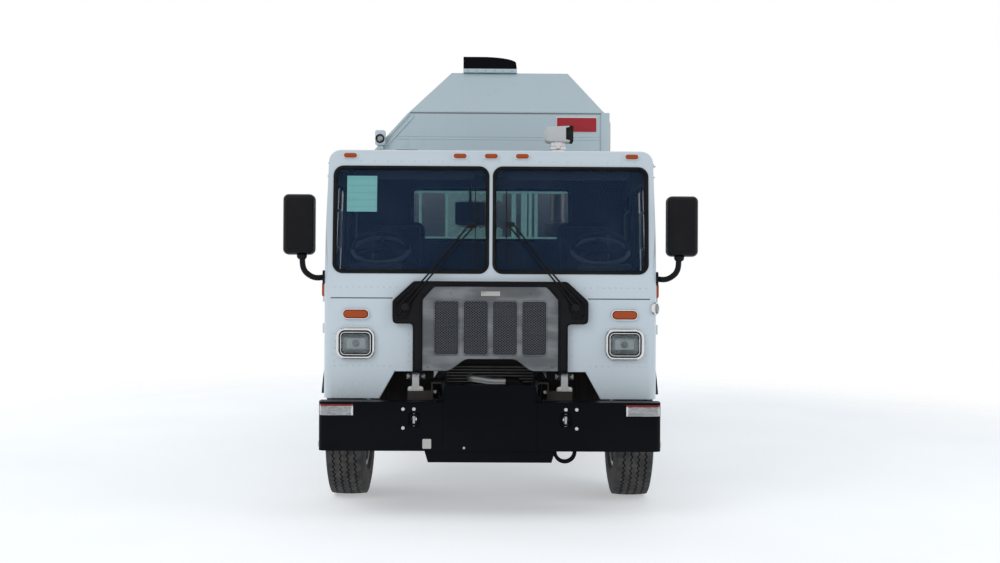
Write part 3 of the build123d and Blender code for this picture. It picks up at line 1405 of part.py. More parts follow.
def body_sills():
    """Long sills on the rails under the body, with cross bearers out to its sides."""
    top = BODY_BOTTOM
    shape = None
    for side in (1, -1):
        x = sorted((side * RAIL_OUTER_X, side * (RAIL_OUTER_X - RAIL_FLANGE)))
        sill = block(x, (BODY_FRONT, RAIL_REAR), (RAIL_TOP, top))
        shape = sill if shape is None else shape + sill
    for number in range(BEARER_COUNT):
        station = 3760 + number * (8960 - 3760) / (BEARER_COUNT - 1)
        reach = BODY_HALF_WIDTH - 20
        shape += block((-reach, reach), (station - 35, station + 35), (top - 45, top))
    return shape


def roof_cowl():
    """The dark cowl on the roof: upright at one end, falling in a curve to the other."""
    left, right = COWL_X
    base, top = BODY_TOP, COWL_TOP
    lines = Line((left, base), (left, top)) + Line((left, top), (left + 150, top))
    lines += ThreePointArc((left + 150, top), (right - 150, base + 118), (right, base + 18))
    lines += Line((right, base + 18), (right, base)) + Line((right, base), (left, base))
    return across(make_face(lines), (BODY_FRONT + LEAN_BACK, BODY_FRONT + LEAN_BACK + 520))


def packer():
    """The packing panel: a ribbed plate that slides from the hopper's front into the body."""
    low, high = HOPPER_KERB_X + HOPPER_WALL + 10, HOPPER_STREET_X - HOPPER_WALL - 10
    front = HOPPER_FRONT + HOPPER_WALL + 60
    floor = BODY_BOTTOM + HOPPER_WALL
    knee, thick = PACKER_TOP - 260, front + PACKER_THICKNESS
    plate = block((low, high), (thick - 40, thick), (floor + 10, knee))
    lean = [(thick - 40, knee - 1), (thick, knee - 1), (front + 60, PACKER_TOP), (front + 20, PACKER_TOP)]
    plate += along(outline(lean), (low, high))
    rib = (front, thick - 20)
    for number in range(PACKER_RIBS):
        x = low + 30 + number * (high - low - 60) / (PACKER_RIBS - 1)
        plate += block((x - PACKER_RIB_HALF, x + PACKER_RIB_HALF), rib, (floor + 10, knee - 40))
    for x in (low + 160, (low + high) / 2, high - 160):
        plate += block((x - 50, x + 50), (front, front + PACKER_THICKNESS), (floor + FIT, floor + 30))
    return plate


def tailgate():
    """The bulged tailgate, open to the body, with its two hinge arms and cylinder bosses."""
    gap, wall = TAILGATE_GAP, BODY_WALL
    front, rear = BODY_REAR + gap, LENGTH
    profile = [
        (front, TAILGATE_BOTTOM),
        (front, BODY_TOP),
        (front + 170, BODY_TOP),
        (rear - TAILGATE_LEAN, TAILGATE_SHOULDER_Z),
        (rear, TAILGATE_BULGE_Z[1]),
        (rear, TAILGATE_BULGE_Z[0]),
        (front + 260, TAILGATE_BOTTOM),
    ]
    shape = along(outline(profile, [0, 0, 60, 200, 200, 200, 60]), (-BODY_HALF_WIDTH, BODY_HALF_WIDTH))
    sides = (-BODY_HALF_WIDTH, BODY_HALF_WIDTH)
    section = body_section(0.0) + panel(sides, (TAILGATE_BOTTOM, BODY_BOTTOM + 200), 2)
    shape = shape & across(section, (front, rear))
    hollow = [
        (front - 5, BODY_BOTTOM + 60),
        (front - 5, BODY_TOP - wall),
        (front + 120, BODY_TOP - wall),
        (rear - TAILGATE_LEAN - 70, TAILGATE_SHOULDER_Z - 40),
        (rear - wall, TAILGATE_BULGE_Z[1] - 10),
        (rear - wall, TAILGATE_BULGE_Z[0] + 10),
        (front + 220, BODY_BOTTOM + 60),
    ]
    inside = along(outline(hollow), sides) & across(body_section(wall), (front - 5, rear))
    shape -= inside
    for x in TAILGATE_HINGE_XS:
        span = (x - HINGE_ARM / 2, x + HINGE_ARM / 2)
        arm = [
            (TAILGATE_HINGE_STATION, TAILGATE_HINGE_Z + 38),
            (front + 150, TAILGATE_HINGE_Z + 10),
            (front + 168, BODY_TOP - 8),
            (front + 2, BODY_TOP - 8),
            (front + 2, BODY_TOP + 10),
            (TAILGATE_HINGE_STATION, TAILGATE_HINGE_Z - 38),
        ]
        pin = Pos(TAILGATE_HINGE_STATION, TAILGATE_HINGE_Z)
        piece = along(outline(arm), span) + along(pin * Circle(38), span)
        piece -= along(pin * Circle(TAILGATE_PIN_RADIUS + FIT), span)
        shape += piece
    for side in (1, -1):
        x = sorted((side * (BODY_HALF_WIDTH - 5), side * (CYLINDER_X - ROD_EYE_HALF - FIT)))
        shape += along(Pos(*ROD_PIN) * Circle(46), x)
    for z in TAILGATE_RIB_ZS:
        reach = tailgate_reach(z)
        shape += block((-1050, 1050), (reach - 60, reach + 8), (z - 40, z + 40)) & shape_limit()
    return shape


def tailgate_reach(z):
    """How far back the tailgate's skin stands at a height."""
    low, high = TAILGATE_BULGE_Z
    foot = BODY_REAR + TAILGATE_FOOT
    if z < low:
        return foot + (LENGTH - foot) * (z - TAILGATE_BOTTOM) / (low - TAILGATE_BOTTOM)
    if z < high:
        return LENGTH - 8
    return LENGTH - TAILGATE_LEAN * (z - high) / (TAILGATE_SHOULDER_Z - high)


def shape_limit():
    """The space that the tailgate's ribs may fill."""
    sides = (-BODY_HALF_WIDTH, BODY_HALF_WIDTH)
    return block(sides, (BODY_REAR + 100, LENGTH), (TAILGATE_BOTTOM, BODY_TOP))


def cylinder_line():
    """The unit direction and length from the barrel's pin to the rod's pin, in station and Z."""
    dy, dz = ROD_PIN[0] - BARREL_PIN[0], ROD_PIN[1] - BARREL_PIN[1]
    length = hypot(dy, dz)
    return dy / length, dz / length, length


def barrel(side):
    """A tailgate cylinder's barrel, bored for its pin at one end and for the rod at the other."""
    dy, dz, _ = cylinder_line()
    x = side * CYLINDER_X

    def point(a):
        return (x, BARREL_PIN[0] + dy * a, BARREL_PIN[1] + dz * a)

    shape = bar(point(CYLINDER_EYE + 12), point(BARREL_LENGTH), BARREL_RADIUS)
    shape -= bar(point(CYLINDER_EYE + 60), point(BARREL_LENGTH + 10), ROD_RADIUS + FIT)
    eye = (x - BARREL_RADIUS * 0.5, x + BARREL_RADIUS * 0.5)
    shape += along(Pos(*BARREL_PIN) * Circle(CYLINDER_EYE), eye)
    shape += bar(point(20), point(CYLINDER_EYE + 30), 20)
    return shape - along(Pos(*BARREL_PIN) * Circle(20 + FIT), (x - 60, x + 60))


def rod(side):
    """A tailgate cylinder's rod with its open eye beside the tailgate's boss."""
    dy, dz, length = cylinder_line()
    x = side * CYLINDER_X

    def point(a):
        return (x, BARREL_PIN[0] + dy * a, BARREL_PIN[1] + dz * a)

    shape = bar(point(CYLINDER_EYE + 66), point(length - 20), ROD_RADIUS)
    eye = (x - ROD_EYE_HALF, x + ROD_EYE_HALF)
    shape += along(Pos(*ROD_PIN) * Circle(CYLINDER_EYE), eye)
    return shape - along(Pos(*ROD_PIN) * Circle(19), (x - 60, x + 60))


def arm_rails():
    """Two cross tubes on the frame that guide the arm's slides, tied at their inner ends."""
    low, high = RAIL_TOP, RAIL_TOP + SLIDE_HEIGHT
    shape = None
    for station in SLIDE_STATIONS:
        y = (station - SLIDE_WIDTH / 2, station + SLIDE_WIDTH / 2)
        inner = (y[0] + SLIDE_WALL, y[1] - SLIDE_WALL)
        tube = block((SLIDE_OUTER_X, SLIDE_INNER_X), y, (low, high))
        tube -= block((SLIDE_OUTER_X - 5, SLIDE_INNER_X + 5), inner, (low + SLIDE_WALL, high - SLIDE_WALL))
        shape = tube if shape is None else shape + tube
    first, last = SLIDE_STATIONS
    y = (first + SLIDE_WIDTH / 2, last - SLIDE_WIDTH / 2)
    shape += block((SLIDE_INNER_X - 60, SLIDE_INNER_X), y, (low, high))
    shape += block((-300, -240), y, (low + 10, high - 10))
    return shape


def arm_carriage():
    """The slides, the head plate that joins them and the two cheeks that carry the arm's pin."""
    clear = SLIDE_WALL + SLIDE_CLEARANCE
    low, high = RAIL_TOP + clear, RAIL_TOP + SLIDE_HEIGHT - clear
    head = (SLIDE_OUTER_X - HEAD_PLATE - 8, SLIDE_OUTER_X - 8)
    first, last = SLIDE_STATIONS
    plate_y = (first - SLIDE_WIDTH / 2, last + SLIDE_WIDTH / 2)
    shape = block(head, plate_y, (RAIL_TOP - 20, RAIL_TOP + SLIDE_HEIGHT + 30))
    for station in SLIDE_STATIONS:
        half = SLIDE_WIDTH / 2 - clear
        shape += block((head[1] - 5, SLIDE_INNER_X - 90), (station - half, station + half), (low, high))
    for side in (-1, 1):
        middle = ARM_STATION + side * (ARM_BEAM_WIDTH / 2 + ARM_SIDE_GAP + CHEEK / 2)
        profile = [
            (head[0] + 2, RAIL_TOP - 20),
            (head[0] + 2, RAIL_TOP + SLIDE_HEIGHT + 40),
            (ARM_PIVOT_X - 85, ARM_PIVOT_Z - 60),
            (ARM_PIVOT_X - 85, ARM_PIVOT_Z + 85),
            (ARM_PIVOT_X + 85, ARM_PIVOT_Z + 85),
            (head[1] + 60, RAIL_TOP + SLIDE_HEIGHT + 200),
            (head[1] + 60, RAIL_TOP + SLIDE_HEIGHT + 30),
            (head[1], RAIL_TOP + SLIDE_HEIGHT + 30),
            (head[1], RAIL_TOP - 20),
        ]
        face = outline(profile, [0, 0, 40, 70, 70, 0, 0, 0, 0])
        shape += across(face, (middle - CHEEK / 2, middle + CHEEK / 2))
    reach = ARM_BEAM_WIDTH / 2 + ARM_SIDE_GAP + CHEEK + 20
    pin = Pos(ARM_PIVOT_X, ARM_PIVOT_Z) * Circle(ARM_PIN_RADIUS)
    shape += across(pin, (ARM_STATION - reach, ARM_STATION + reach))
    return shape


def arm_boom():
    """The arm that hangs from its pin, with the gripper head at its foot."""
    half_y, half_x = ARM_BEAM_WIDTH / 2, ARM_BEAM_DEPTH / 2
    x, top = ARM_PIVOT_X, ARM_PIVOT_Z
    y = (ARM_STATION - half_y, ARM_STATION + half_y)
    hub = Pos(x, top) * Circle(ARM_HUB_RADIUS)
    shape = across(hub, y)
    shape += block((x - half_x, x + half_x), y, (GRIPPER_Z - 60, top))
    shape -= across(Pos(x, top) * Circle(ARM_PIN_RADIUS + FIT), (y[0] - 5, y[1] + 5))
    head = (x - half_x - 45, x + half_x)
    span = GRIPPER_HALF_SPAN
    shape += block(head, (ARM_STATION - span, ARM_STATION + span), (GRIPPER_Z - 35, GRIPPER_Z + 35))
    rise = GRIPPER_Z + 230
    gusset = outline(
        [
            (ARM_STATION - 150, GRIPPER_Z),
            (ARM_STATION - 45, rise),
            (ARM_STATION + 45, rise),
            (ARM_STATION + 150, GRIPPER_Z),
        ]
    )
    shape += along(gusset, (x - half_x - 8, x + half_x))
    for side, rise in FINGERS:
        z = GRIPPER_Z + rise * FINGER_RISE
        pin_y = ARM_STATION + side * span
        pin_x = head[0] - 10
        for offset_z in (-1, 1):
            ear_z = z + offset_z * (FINGER_HEIGHT / 2 + 5 + EAR / 2)
            ear = (ear_z - EAR / 2, ear_z + EAR / 2)
            shape += Pos(pin_x, st(pin_y), ear_z) * Cylinder(FINGER_EYE, EAR)
            shape += block((pin_x, head[1]), (pin_y - FINGER_EYE, pin_y + FINGER_EYE), ear)
        reach = FINGER_HEIGHT + 10 + 2 * EAR
        shape += Pos(pin_x, st(pin_y), z) * Cylinder(FINGER_PIN_RADIUS, reach)
        low, high = z - reach / 2, z + reach / 2
        shape += block((head[1] - 30, head[1]), (pin_y - FINGER_EYE, pin_y + FINGER_EYE), (low, high))
    return shape


def finger(side, rise):
    """A curved gripper finger that lies along the truck when open."""
    z = GRIPPER_Z + rise * FINGER_RISE
    pin_x = ARM_PIVOT_X - ARM_BEAM_DEPTH / 2 - 55
    pin_y = ARM_STATION + side * GRIPPER_HALF_SPAN
    reach = pin_y + side * FINGER_LENGTH
    thick = FINGER_THICKNESS
    bow = pin_y + side * FINGER_LENGTH * 0.55
    outer = ThreePointArc((pin_x - 10, pin_y), (pin_x + 4, bow), (pin_x - 50, reach))
    inner = ThreePointArc(
        (pin_x - 50 - thick * 0.6, reach - side * 10),
        (pin_x + 4 - thick, bow),
        (pin_x - 10 - thick, pin_y),
    )
    lines = outer + Line(outer @ 1, inner @ 0) + inner + Line(inner @ 1, outer @ 0)
    z_span = (z - FINGER_HEIGHT / 2, z + FINGER_HEIGHT / 2)
    shape = upward(make_face(lines), z_span)
    centre = Pos(pin_x, st(pin_y), z)
    shape += centre * Cylinder(FINGER_EYE, FINGER_HEIGHT)
    return shape - centre * Cylinder(FINGER_PIN_RADIUS + FIT, FINGER_HEIGHT + 10)


NODES = {
    "frame_rails": frame_rails,
    "cab_hinge_brackets": hinge_brackets,
    "front_bumper": front_bumper,
    "entry_steps": entry_steps,
    "front_axle": front_axle,
    "rear_axles": rear_axles,
    "powertrain": powertrain,
    "radiator": radiator,
    "coolant_pipe": coolant_pipe,
    "exhaust_stack": exhaust_stack,
    "side_tanks": side_tanks,
    "rear_fenders": rear_fenders,
    "rear_bumper": rear_bumper,
    "tail_lamps": tail_lamps,
    "hopper": hopper,
    "body_shell": body_shell,
    "body_sills": body_sills,
    "roof_cowl": roof_cowl,
    "arm_rails": arm_rails,
    "cab_shell": cab_shell,
    "cab_floor": cab_floor,
    "cab_glass": cab_glass,
    "grille_surround": surround,
    "grille": grille,
    "front_lamps": headlamps,
    "amber_lamps": roof_markers,
    "mirrors": mirrors,
    "wipers": wipers,
    "seats": lambda: [seat(1), seat(-1)],
    "dashboard": dashboard,
    "packer_panel": packer,
    "tailgate": tailgate,
    "tailgate_barrels": lambda: [barrel(1), barrel(-1)],
    "tailgate_rods": lambda: [rod(1), rod(-1)],
    "arm_carriage": arm_carriage,
    "arm_boom": arm_boom,
    "finger_front": lambda: finger(*FINGERS[0]),
    "finger_rear": lambda: finger(*FINGERS[1]),
}


def main():
    """Writes every node."""
    os.makedirs("parts", exist_ok=True)
    nodes = dict(NODES)
    for name, side in (("left", 1), ("right", -1)):
        nodes["door_" + name] = lambda side=side: door(side)
        nodes["door_glass_" + name] = lambda side=side: door_glass(side)
        nodes["knuckle_" + name] = lambda side=side: knuckle(side)
        nodes["front_rim_" + name] = lambda side=side: front_rim(side)
        x = side * FRONT_TYRE_X
        nodes["front_tyre_" + name] = lambda x=x, side=side: tyre(x, FRONT_AXLE_STATION, side, TYRE_WIDTH)
        for number, station in enumerate(REAR_AXLE_STATIONS, start=1):
            end = "_" + name + "_" + str(number)
            nodes["rear_rims" + end] = lambda side=side, station=station: rear_rims(side, station)
            nodes["rear_tyres" + end] = lambda side=side, station=station: rear_tyres(side, station)
    for name, make in nodes.items():
        made = make()
        write(name, *(made if isinstance(made, list) else [made]))


main()
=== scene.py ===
"""A side-loading garbage truck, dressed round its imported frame.

Metres, +Z up. The truck faces -Y, its street side is +X and its kerb side is -X. Every piece is drawn
in the truck's own frame, so that its place can be read from its numbers.
"""

import logging
import math
from collections.abc import Callable, Iterable, Sequence
from dataclasses import dataclass, field
from enum import Enum

import bmesh
import bpy
from mathutils import Matrix, Vector


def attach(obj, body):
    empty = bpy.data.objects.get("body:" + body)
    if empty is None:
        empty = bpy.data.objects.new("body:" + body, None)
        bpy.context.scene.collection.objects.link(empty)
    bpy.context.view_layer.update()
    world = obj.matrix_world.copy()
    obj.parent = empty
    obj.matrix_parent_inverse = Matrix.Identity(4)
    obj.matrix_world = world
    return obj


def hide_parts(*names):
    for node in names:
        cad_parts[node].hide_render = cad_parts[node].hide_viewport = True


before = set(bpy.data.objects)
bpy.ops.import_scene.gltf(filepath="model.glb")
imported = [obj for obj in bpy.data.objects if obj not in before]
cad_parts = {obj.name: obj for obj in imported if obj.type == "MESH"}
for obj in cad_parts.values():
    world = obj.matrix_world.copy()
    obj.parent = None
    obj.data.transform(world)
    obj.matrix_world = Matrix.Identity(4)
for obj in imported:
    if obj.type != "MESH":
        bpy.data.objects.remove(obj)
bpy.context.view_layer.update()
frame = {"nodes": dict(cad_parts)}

logging.basicConfig(level=logging.INFO, format="%(name)s: %(message)s")
LOG = logging.getLogger("garbage_truck")
Point = tuple[float, float, float]
Point2 = tuple[float, float]
Color = tuple[float, float, float]
Outline = Sequence[Point2] | Callable[[float], list[Point2]]
NOISE_ROUGHNESS = 0.55
BEND_STEPS = 5

# Shared places, in metres
BUMPER_Y = -4.85
CAB_FRONT_Y = -4.6
CREASE_Z = 1.757
ROOF_Z = 2.69
SCREEN_LEAN = 0.06
CAB_HALF = 1.22
SIDE_LEAN = 0.03
SURROUND_Y = CAB_FRONT_Y - 0.046
BODY_FRONT_Y = -1.25
BODY_HALF = 1.196
BODY_TOP_Z = 3.92
WHEEL_RADIUS = 0.538
FRONT_AXLE_Y = -3.6
REAR_AXLE_YS = (1.49, 2.81)
SIDES = (("left", 1.0), ("right", -1.0))


def station(value: float) -> float:
    """The Y of a distance behind the bumper's face."""
    return BUMPER_Y + value


def front_y(z: float) -> float:
    """The Y of the cab's front face at a height, which leans back above its crease."""
    return CAB_FRONT_Y + SCREEN_LEAN * max(0.0, z - CREASE_Z) / (ROOF_Z - CREASE_Z)


def side_x(z: float) -> float:
    """The X of the cab's side at a height, which leans in above its crease."""
    return CAB_HALF - SIDE_LEAN * max(0.0, z - CREASE_Z) / (ROOF_Z - CREASE_Z)


class Socket:
    """A number, colour or vector that flows through a material, with arithmetic on it."""

    def __init__(self, graph: "Graph", port: bpy.types.NodeSocket) -> None:
        """Keeps the port and the graph it belongs to.

        Args:
            graph: the material's graph.
            port: the output that this value comes from.
        """
        self.graph = graph
        self.port = port

    def _math(self, operation: str, *values: "Socket | float", clamp: bool = False) -> "Socket":
        """One Math node on numbers.

        Args:
            operation: the node's operation.
            values: its inputs in order.
            clamp: whether the result is kept from 0 to 1.

        Returns:
            The node's result.
        """
        settings = {"operation": operation, "use_clamp": clamp}
        return self.graph.node("ShaderNodeMath", settings, dict(enumerate(values)))

    def __add__(self, other: "Socket | float") -> "Socket":
        """The sum."""
        return self._math("ADD", self, other)

    __radd__ = __add__

    def __rsub__(self, other: "Socket | float") -> "Socket":
        """The difference from a number."""
        return self._math("SUBTRACT", other, self)

    def __mul__(self, other: "Socket | float") -> "Socket":
        """The product."""
        return self._math("MULTIPLY", self, other)

    __rmul__ = __mul__

    def __pow__(self, other: "Socket | float") -> "Socket":
        """The power."""
        return self._math("POWER", self, other)

    def wave(self) -> "Socket":
        """The sine."""
        return self._math("SINE", self)

    def size(self) -> "Socket":
        """The value without its sign."""
        return self._math("ABSOLUTE", self)

    def over(self, limit: "Socket | float") -> "Socket":
        """1 where the value is above a limit, else 0."""
        return self._math("GREATER_THAN", self, limit)

    def clamped(self) -> "Socket":
        """The value kept from 0 to 1."""
        return self._math("ADD", self, 0.0, clamp=True)

    def ramp(self, low: float, high: float, start: float = 0.0, end: float = 1.0) -> "Socket":
        """The value mapped smoothly from one range to another and held at its ends.

        Args:
            low: where the result is start.
            high: where the result is end.
            start: the result at low.
            end: the result at high.

        Returns:
            The mapped value.
        """
        settings = {"interpolation_type": "SMOOTHSTEP"}
        return self.graph.node("ShaderNodeMapRange", settings, {0: self, 1: low, 2: high, 3: start, 4: end})


class Graph:
    """The node graph of one material."""

    def __init__(self, name: str) -> None:
        """Starts a material with its surface shader.

        Args:
            name: the material's name.
        """
        self.material = bpy.data.materials.new(name)
        self.material.use_nodes = True
        self.tree = self.material.node_tree
        self.tree.nodes.clear()
        self.output = self.tree.nodes.new("ShaderNodeOutputMaterial")
        self.shader = self.tree.nodes.new("ShaderNodeBsdfPrincipled")
        self.tree.links.new(self.shader.outputs[0], self.output.inputs[0])
        self._place: Socket | None = None

    def node(
        self,
        kind: str,
        settings: dict[str, object] | None = None,
        inputs: dict[int | str, object] | None = None,
        output: int | str = 0,
    ) -> Socket:
        """Adds a node: its settings first, then its sockets.

        Args:
            kind: the node's type.
            settings: its properties.
            inputs: a value or a Socket for each input, by number or name.
            output: the output that is handed back.

        Returns:
            The chosen output.
        """
        made = self.tree.nodes.new(kind)
        for key, value in (settings or {}).items():
            setattr(made, key, value)
        for key, value in (inputs or {}).items():
            self._feed(made.inputs[key], value)
        return Socket(self, made.outputs[output])

    def _feed(self, port: bpy.types.NodeSocket, value: object) -> None:
        """Links a Socket to an input, or sets its value.

        Args:
            port: the input.
            value: the Socket, number, colour or vector.
        """
        if isinstance(value, Socket):
            self.tree.links.new(value.port, port)
        elif isinstance(value, tuple) and port.type == "RGBA":
            port.default_value = (*value, 1.0)[:4]
        else:
            port.default_value = value

    @property
    def place(self) -> Socket:
        """Where a point lies in the truck's frame."""
        if self._place is None:
            self._place = self.node("ShaderNodeTexCoord", output="Object")
        return self._place

    def axis(self, number: int) -> Socket:
        """One of the place's three numbers."""
        return self.node("ShaderNodeSeparateXYZ", None, {0: self.place}, number)

    def noise(self, scale: float, detail: float = 3.0, stretch: Point = (1.0, 1.0, 1.0)) -> Socket:
        """Soft noise.

        Args:
            scale: how fine it is, in cycles a metre.
            detail: how many octaves it has.
            stretch: how much finer it is along each axis.

        Returns:
            The noise, from 0 to 1.
        """
        vector = self.place
        if stretch != (1.0, 1.0, 1.0):
            vector = self.node("ShaderNodeVectorMath", {"operation": "MULTIPLY"}, {0: vector, 1: stretch})
        inputs = {"Vector": vector, "Scale": scale, "Detail": detail, "Roughness": NOISE_ROUGHNESS}
        return self.node("ShaderNodeTexNoise", None, inputs)

    def cells(self, scale: float) -> Socket:
        """The distance to the nearest of scattered points."""
        return self.node("ShaderNodeTexVoronoi", None, {"Vector": self.place, "Scale": scale})

    def mix(self, share: Socket | float, first: Socket | Color, second: Socket | Color) -> Socket:
        """A mix of two colours.

        Args:
            share: how much of the second there is.
            first: the colour at 0.
            second: the colour at 1.

        Returns:
            The mixed colour.
        """
        return self.node("ShaderNodeMix", {"data_type": "RGBA"}, {0: share, 6: first, 7: second}, 2)

    def bump(
        self, height: Socket, distance: float, strength: float = 1.0, normal: Socket | None = None
    ) -> Socket:
        """A normal from a height.

        Args:
            height: the height, from 0 to 1.
            distance: what 1 stands for, in metres.
            strength: how much of it is used.
            normal: the normal that it is laid over.

        Returns:
            The new normal.
        """
        inputs: dict[int | str, object] = {"Height": height, "Distance": distance, "Strength": strength}
        if normal is not None:
            inputs["Normal"] = normal
        return self.node("ShaderNodeBump", None, inputs)

    def rounded(self, radius: float) -> Socket:
        """A normal that softens sharp edges over a radius."""
        return self.node("ShaderNodeBevel", {"samples": 4}, {"Radius": radius})

    def surface(self, **values: object) -> bpy.types.Material:
        """Feeds the surface shader and hands back the material.

        Args:
            values: each shader input, its name written with _ for a space.

        Returns:
            The material.
        """
        for key, value in values.items():
            self._feed(self.shader.inputs[key.replace("_", " ")], value)
        return self.material


@dataclass(frozen=True)
class Finish:
    """What a surface is made of; made once, however many pieces wear it."""

    name: str
    color: Color
    roughness: float = 0.5

    def material(self) -> bpy.types.Material:
        """The finish as a material."""
        found = bpy.data.materials.get("finish_" + self.name)
        return found or self.shade(Graph("finish_" + self.name))

    def shade(self, g: Graph) -> bpy.types.Material:
        """Fills a graph with the finish.

        Args:
            g: the empty graph.

        Returns:
            The finished material.
        """
        raise NotImplementedError

    def darker(self, share: float) -> Color:
        """The finish's colour times a share."""
        return tuple(part * share for part in self.color)


@dataclass(frozen=True)
class Paint(Finish):
    """Sprayed paint with road film low down, upright streaks in clouds and softened edges."""

    coat: float = 0.5
    film: Color = (0.3, 0.27, 0.23)
    film_low: float = 0.55
    film_high: float = 2.3
    film_most: float = 0.5
    streaks: float = 0.12
    chips: float = 0.0
    under: Color = (0.16, 0.1, 0.07)
    edge: float = 0.006
    gloss: float = 0.5

    def shade(self, g: Graph) -> bpy.types.Material:
        """Layers the film, streaks and chips over the paint.

        Args:
            g: the empty graph.

        Returns:
            The finished material.
        """
        height = g.axis(2)
        cloud = g.noise(1.7, 5.0)
        low = height.ramp(self.film_low, self.film_high, self.film_most, 0.0)
        fine = g.noise(34.0, 4.0)
        film = (low * cloud.ramp(0.3, 0.72) + low * 0.35 * fine).clamped()
        runs = g.noise(9.0, 3.0, (1.0, 1.0, 0.06)).ramp(0.56, 0.8) * cloud.ramp(0.4, 0.65)
        tone = g.mix(g.noise(0.8, 2.0).ramp(0.35, 0.7), self.color, self.darker(0.955))
        color = g.mix(runs * self.streaks, tone, self.film)
        color = g.mix(film, color, self.film)
        rough = self.roughness + film * 0.35 + fine * 0.05
        bump = g.bump(g.noise(240.0, 2.0), 0.0002, 0.5, g.rounded(self.edge))
        if self.chips:
            spots = (g.cells(26.0).ramp(0.10, 0.07) * g.noise(3.0).ramp(0.52, 0.62)).clamped() * self.chips
            color = g.mix(spots, color, self.under)
            rough = rough + spots * 0.3
        return g.surface(
            Base_Color=color,
            Roughness=rough,
            Specular_IOR_Level=self.gloss,
            Coat_Weight=self.coat,
            Coat_Roughness=0.08,
            Normal=bump,
        )


@dataclass(frozen=True)
class CabPaint(Paint):
    """The cab's paint, which gives way to a dark colour inside and below: painted shade on the cab's inner
    faces and underside.
    """

    middle: Point = (0.0, -3.75, 1.75)
    inside: Color = (0.03, 0.037, 0.05)

    def shade(self, g: Graph) -> bpy.types.Material:
        """Lays the painted shade over every face that looks at the cab's middle, and over its underside.

        Args:
            g: the empty graph.

        Returns:
            The finished material.
        """
        material = super().shade(g)
        # Painted shade: faces that look inward and the low underside of the cab take a dark colour, standing
        # for the shade inside and under the cab.
        normal = g.node("ShaderNodeTexCoord", output="Normal")
        away = g.node("ShaderNodeVectorMath", {"operation": "SUBTRACT"}, {0: g.place, 1: self.middle})
        facing = g.node("ShaderNodeVectorMath", {"operation": "DOT_PRODUCT"}, {0: normal, 1: away}, "Value")
        within = (1.0 - g.axis(0).size().over(1.185)) * g.axis(1).over(CAB_FRONT_Y + 0.008)
        below = within * (1.0 - g.axis(2).over(1.24))
        inner = g.node("ShaderNodeMath", {"operation": "MAXIMUM"}, {0: 1.0 - facing.over(0.0), 1: below})
        for name, value in (("Base Color", self.inside), ("Roughness", 0.75), ("Coat Weight", 0.0)):
            port = g.shader.inputs[name]
            outer = Socket(g, port.links[0].from_socket) if port.links else port.default_value
            if name == "Base Color":
                g._feed(port, g.mix(inner, outer, value))
            else:
                g._feed(port, (1.0 - inner) * outer + inner * value)
        return material


@dataclass(frozen=True)
class Metal(Finish):
    """Bare metal with a brushed or cast face and dull patches."""

    grain: Point = (1.0, 1.0, 1.0)
    grain_scale: float = 90.0
    depth: float = 0.0004
    dull: float = 0.18
    tarnish: Color = (0.25, 0.22, 0.19)
    tarnish_share: float = 0.25
    edge: float = 0.003

    def shade(self, g: Graph) -> bpy.types.Material:
        """Brushes the metal and dulls it in patches.

        Args:
            g: the empty graph.

        Returns:
            The finished material.
        """
        lines = g.noise(self.grain_scale, 3.0, self.grain)
        patch = g.noise(6.0, 4.0)
        stain = (patch.ramp(0.5, 0.78) * self.tarnish_share).clamped()
        color = g.mix(lines, self.darker(0.86), self.color)
        color = g.mix(stain, color, self.tarnish)
        rough = self.roughness + lines * 0.14 + patch * self.dull
        return g.surface(
            Base_Color=color,
            Metallic=1.0,
            Roughness=rough,
            Normal=g.bump(lines, self.depth, 0.6, g.rounded(self.edge)),
        )


@dataclass(frozen=True)
class Sheet(Metal):
    """Polished sheet with paler and darker bands painted into its colour: a painted reflection, such as a
    wavy sheet mirrors.
    """

    def shade(self, g: Graph) -> bpy.types.Material:
        """Paints slow paler bands, a painted reflection, over the brushed metal.

        Args:
            g: the empty graph.

        Returns:
            The finished material.
        """
        material = super().shade(g)
        # Painted reflection: slow paler bands mixed into the metal's colour.
        bands = g.noise(3.2, 2.0, (1.0, 1.0, 2.6)).ramp(0.36, 0.66)
        port = g.shader.inputs["Base Color"]
        g._feed(port, g.mix(bands * 0.6, Socket(g, port.links[0].from_socket), self.darker(2.1)))
        return material


@dataclass(frozen=True)
class Moulded(Finish):
    """Grained plastic or rubber with dust in its grain and paler, worn high places."""

    grain_scale: float = 420.0
    depth: float = 0.0004
    dust: Color = (0.2, 0.19, 0.17)
    dust_share: float = 0.2
    edge: float = 0.004
    coat: float = 0.0
    gloss: float = 0.12

    def shade(self, g: Graph) -> bpy.types.Material:
        """Grains and dusts the surface.

        Args:
            g: the empty graph.

        Returns:
            The finished material.
        """
        grain = g.cells(self.grain_scale)
        cloud = g.noise(4.5, 4.0)
        dust = (cloud.ramp(0.42, 0.75) * self.dust_share + grain * self.dust_share * 0.2).clamped()
        color = g.mix(dust, self.color, self.dust)
        rough = self.roughness + cloud * 0.12 + dust * 0.2
        return g.surface(
            Base_Color=color,
            Roughness=rough,
            Specular_IOR_Level=self.gloss,
            Coat_Weight=self.coat,
            Normal=g.bump(grain, self.depth, 0.5, g.rounded(self.edge)),
        )


@dataclass(frozen=True)
class TreadRubber(Finish):
    """Tyre rubber, matt, with dust from the road in clouds."""

    dust: Color = (0.23, 0.21, 0.185)

    def shade(self, g: Graph) -> bpy.types.Material:
        """Dusts the rubber in clouds and grains it.

        Args:
            g: the empty graph.

        Returns:
            The finished material.
        """
        cloud = g.noise(11.0, 5.0)
        fine = g.noise(160.0, 3.0)
        dust = (cloud.ramp(0.38, 0.8) * 0.26 + fine * 0.08).clamped()
        color = g.mix(dust, self.color, self.dust)
        return g.surface(
            Base_Color=color,
            Roughness=self.roughness + cloud * 0.14,
            Normal=g.bump(fine, 0.0007, 0.7),
        )


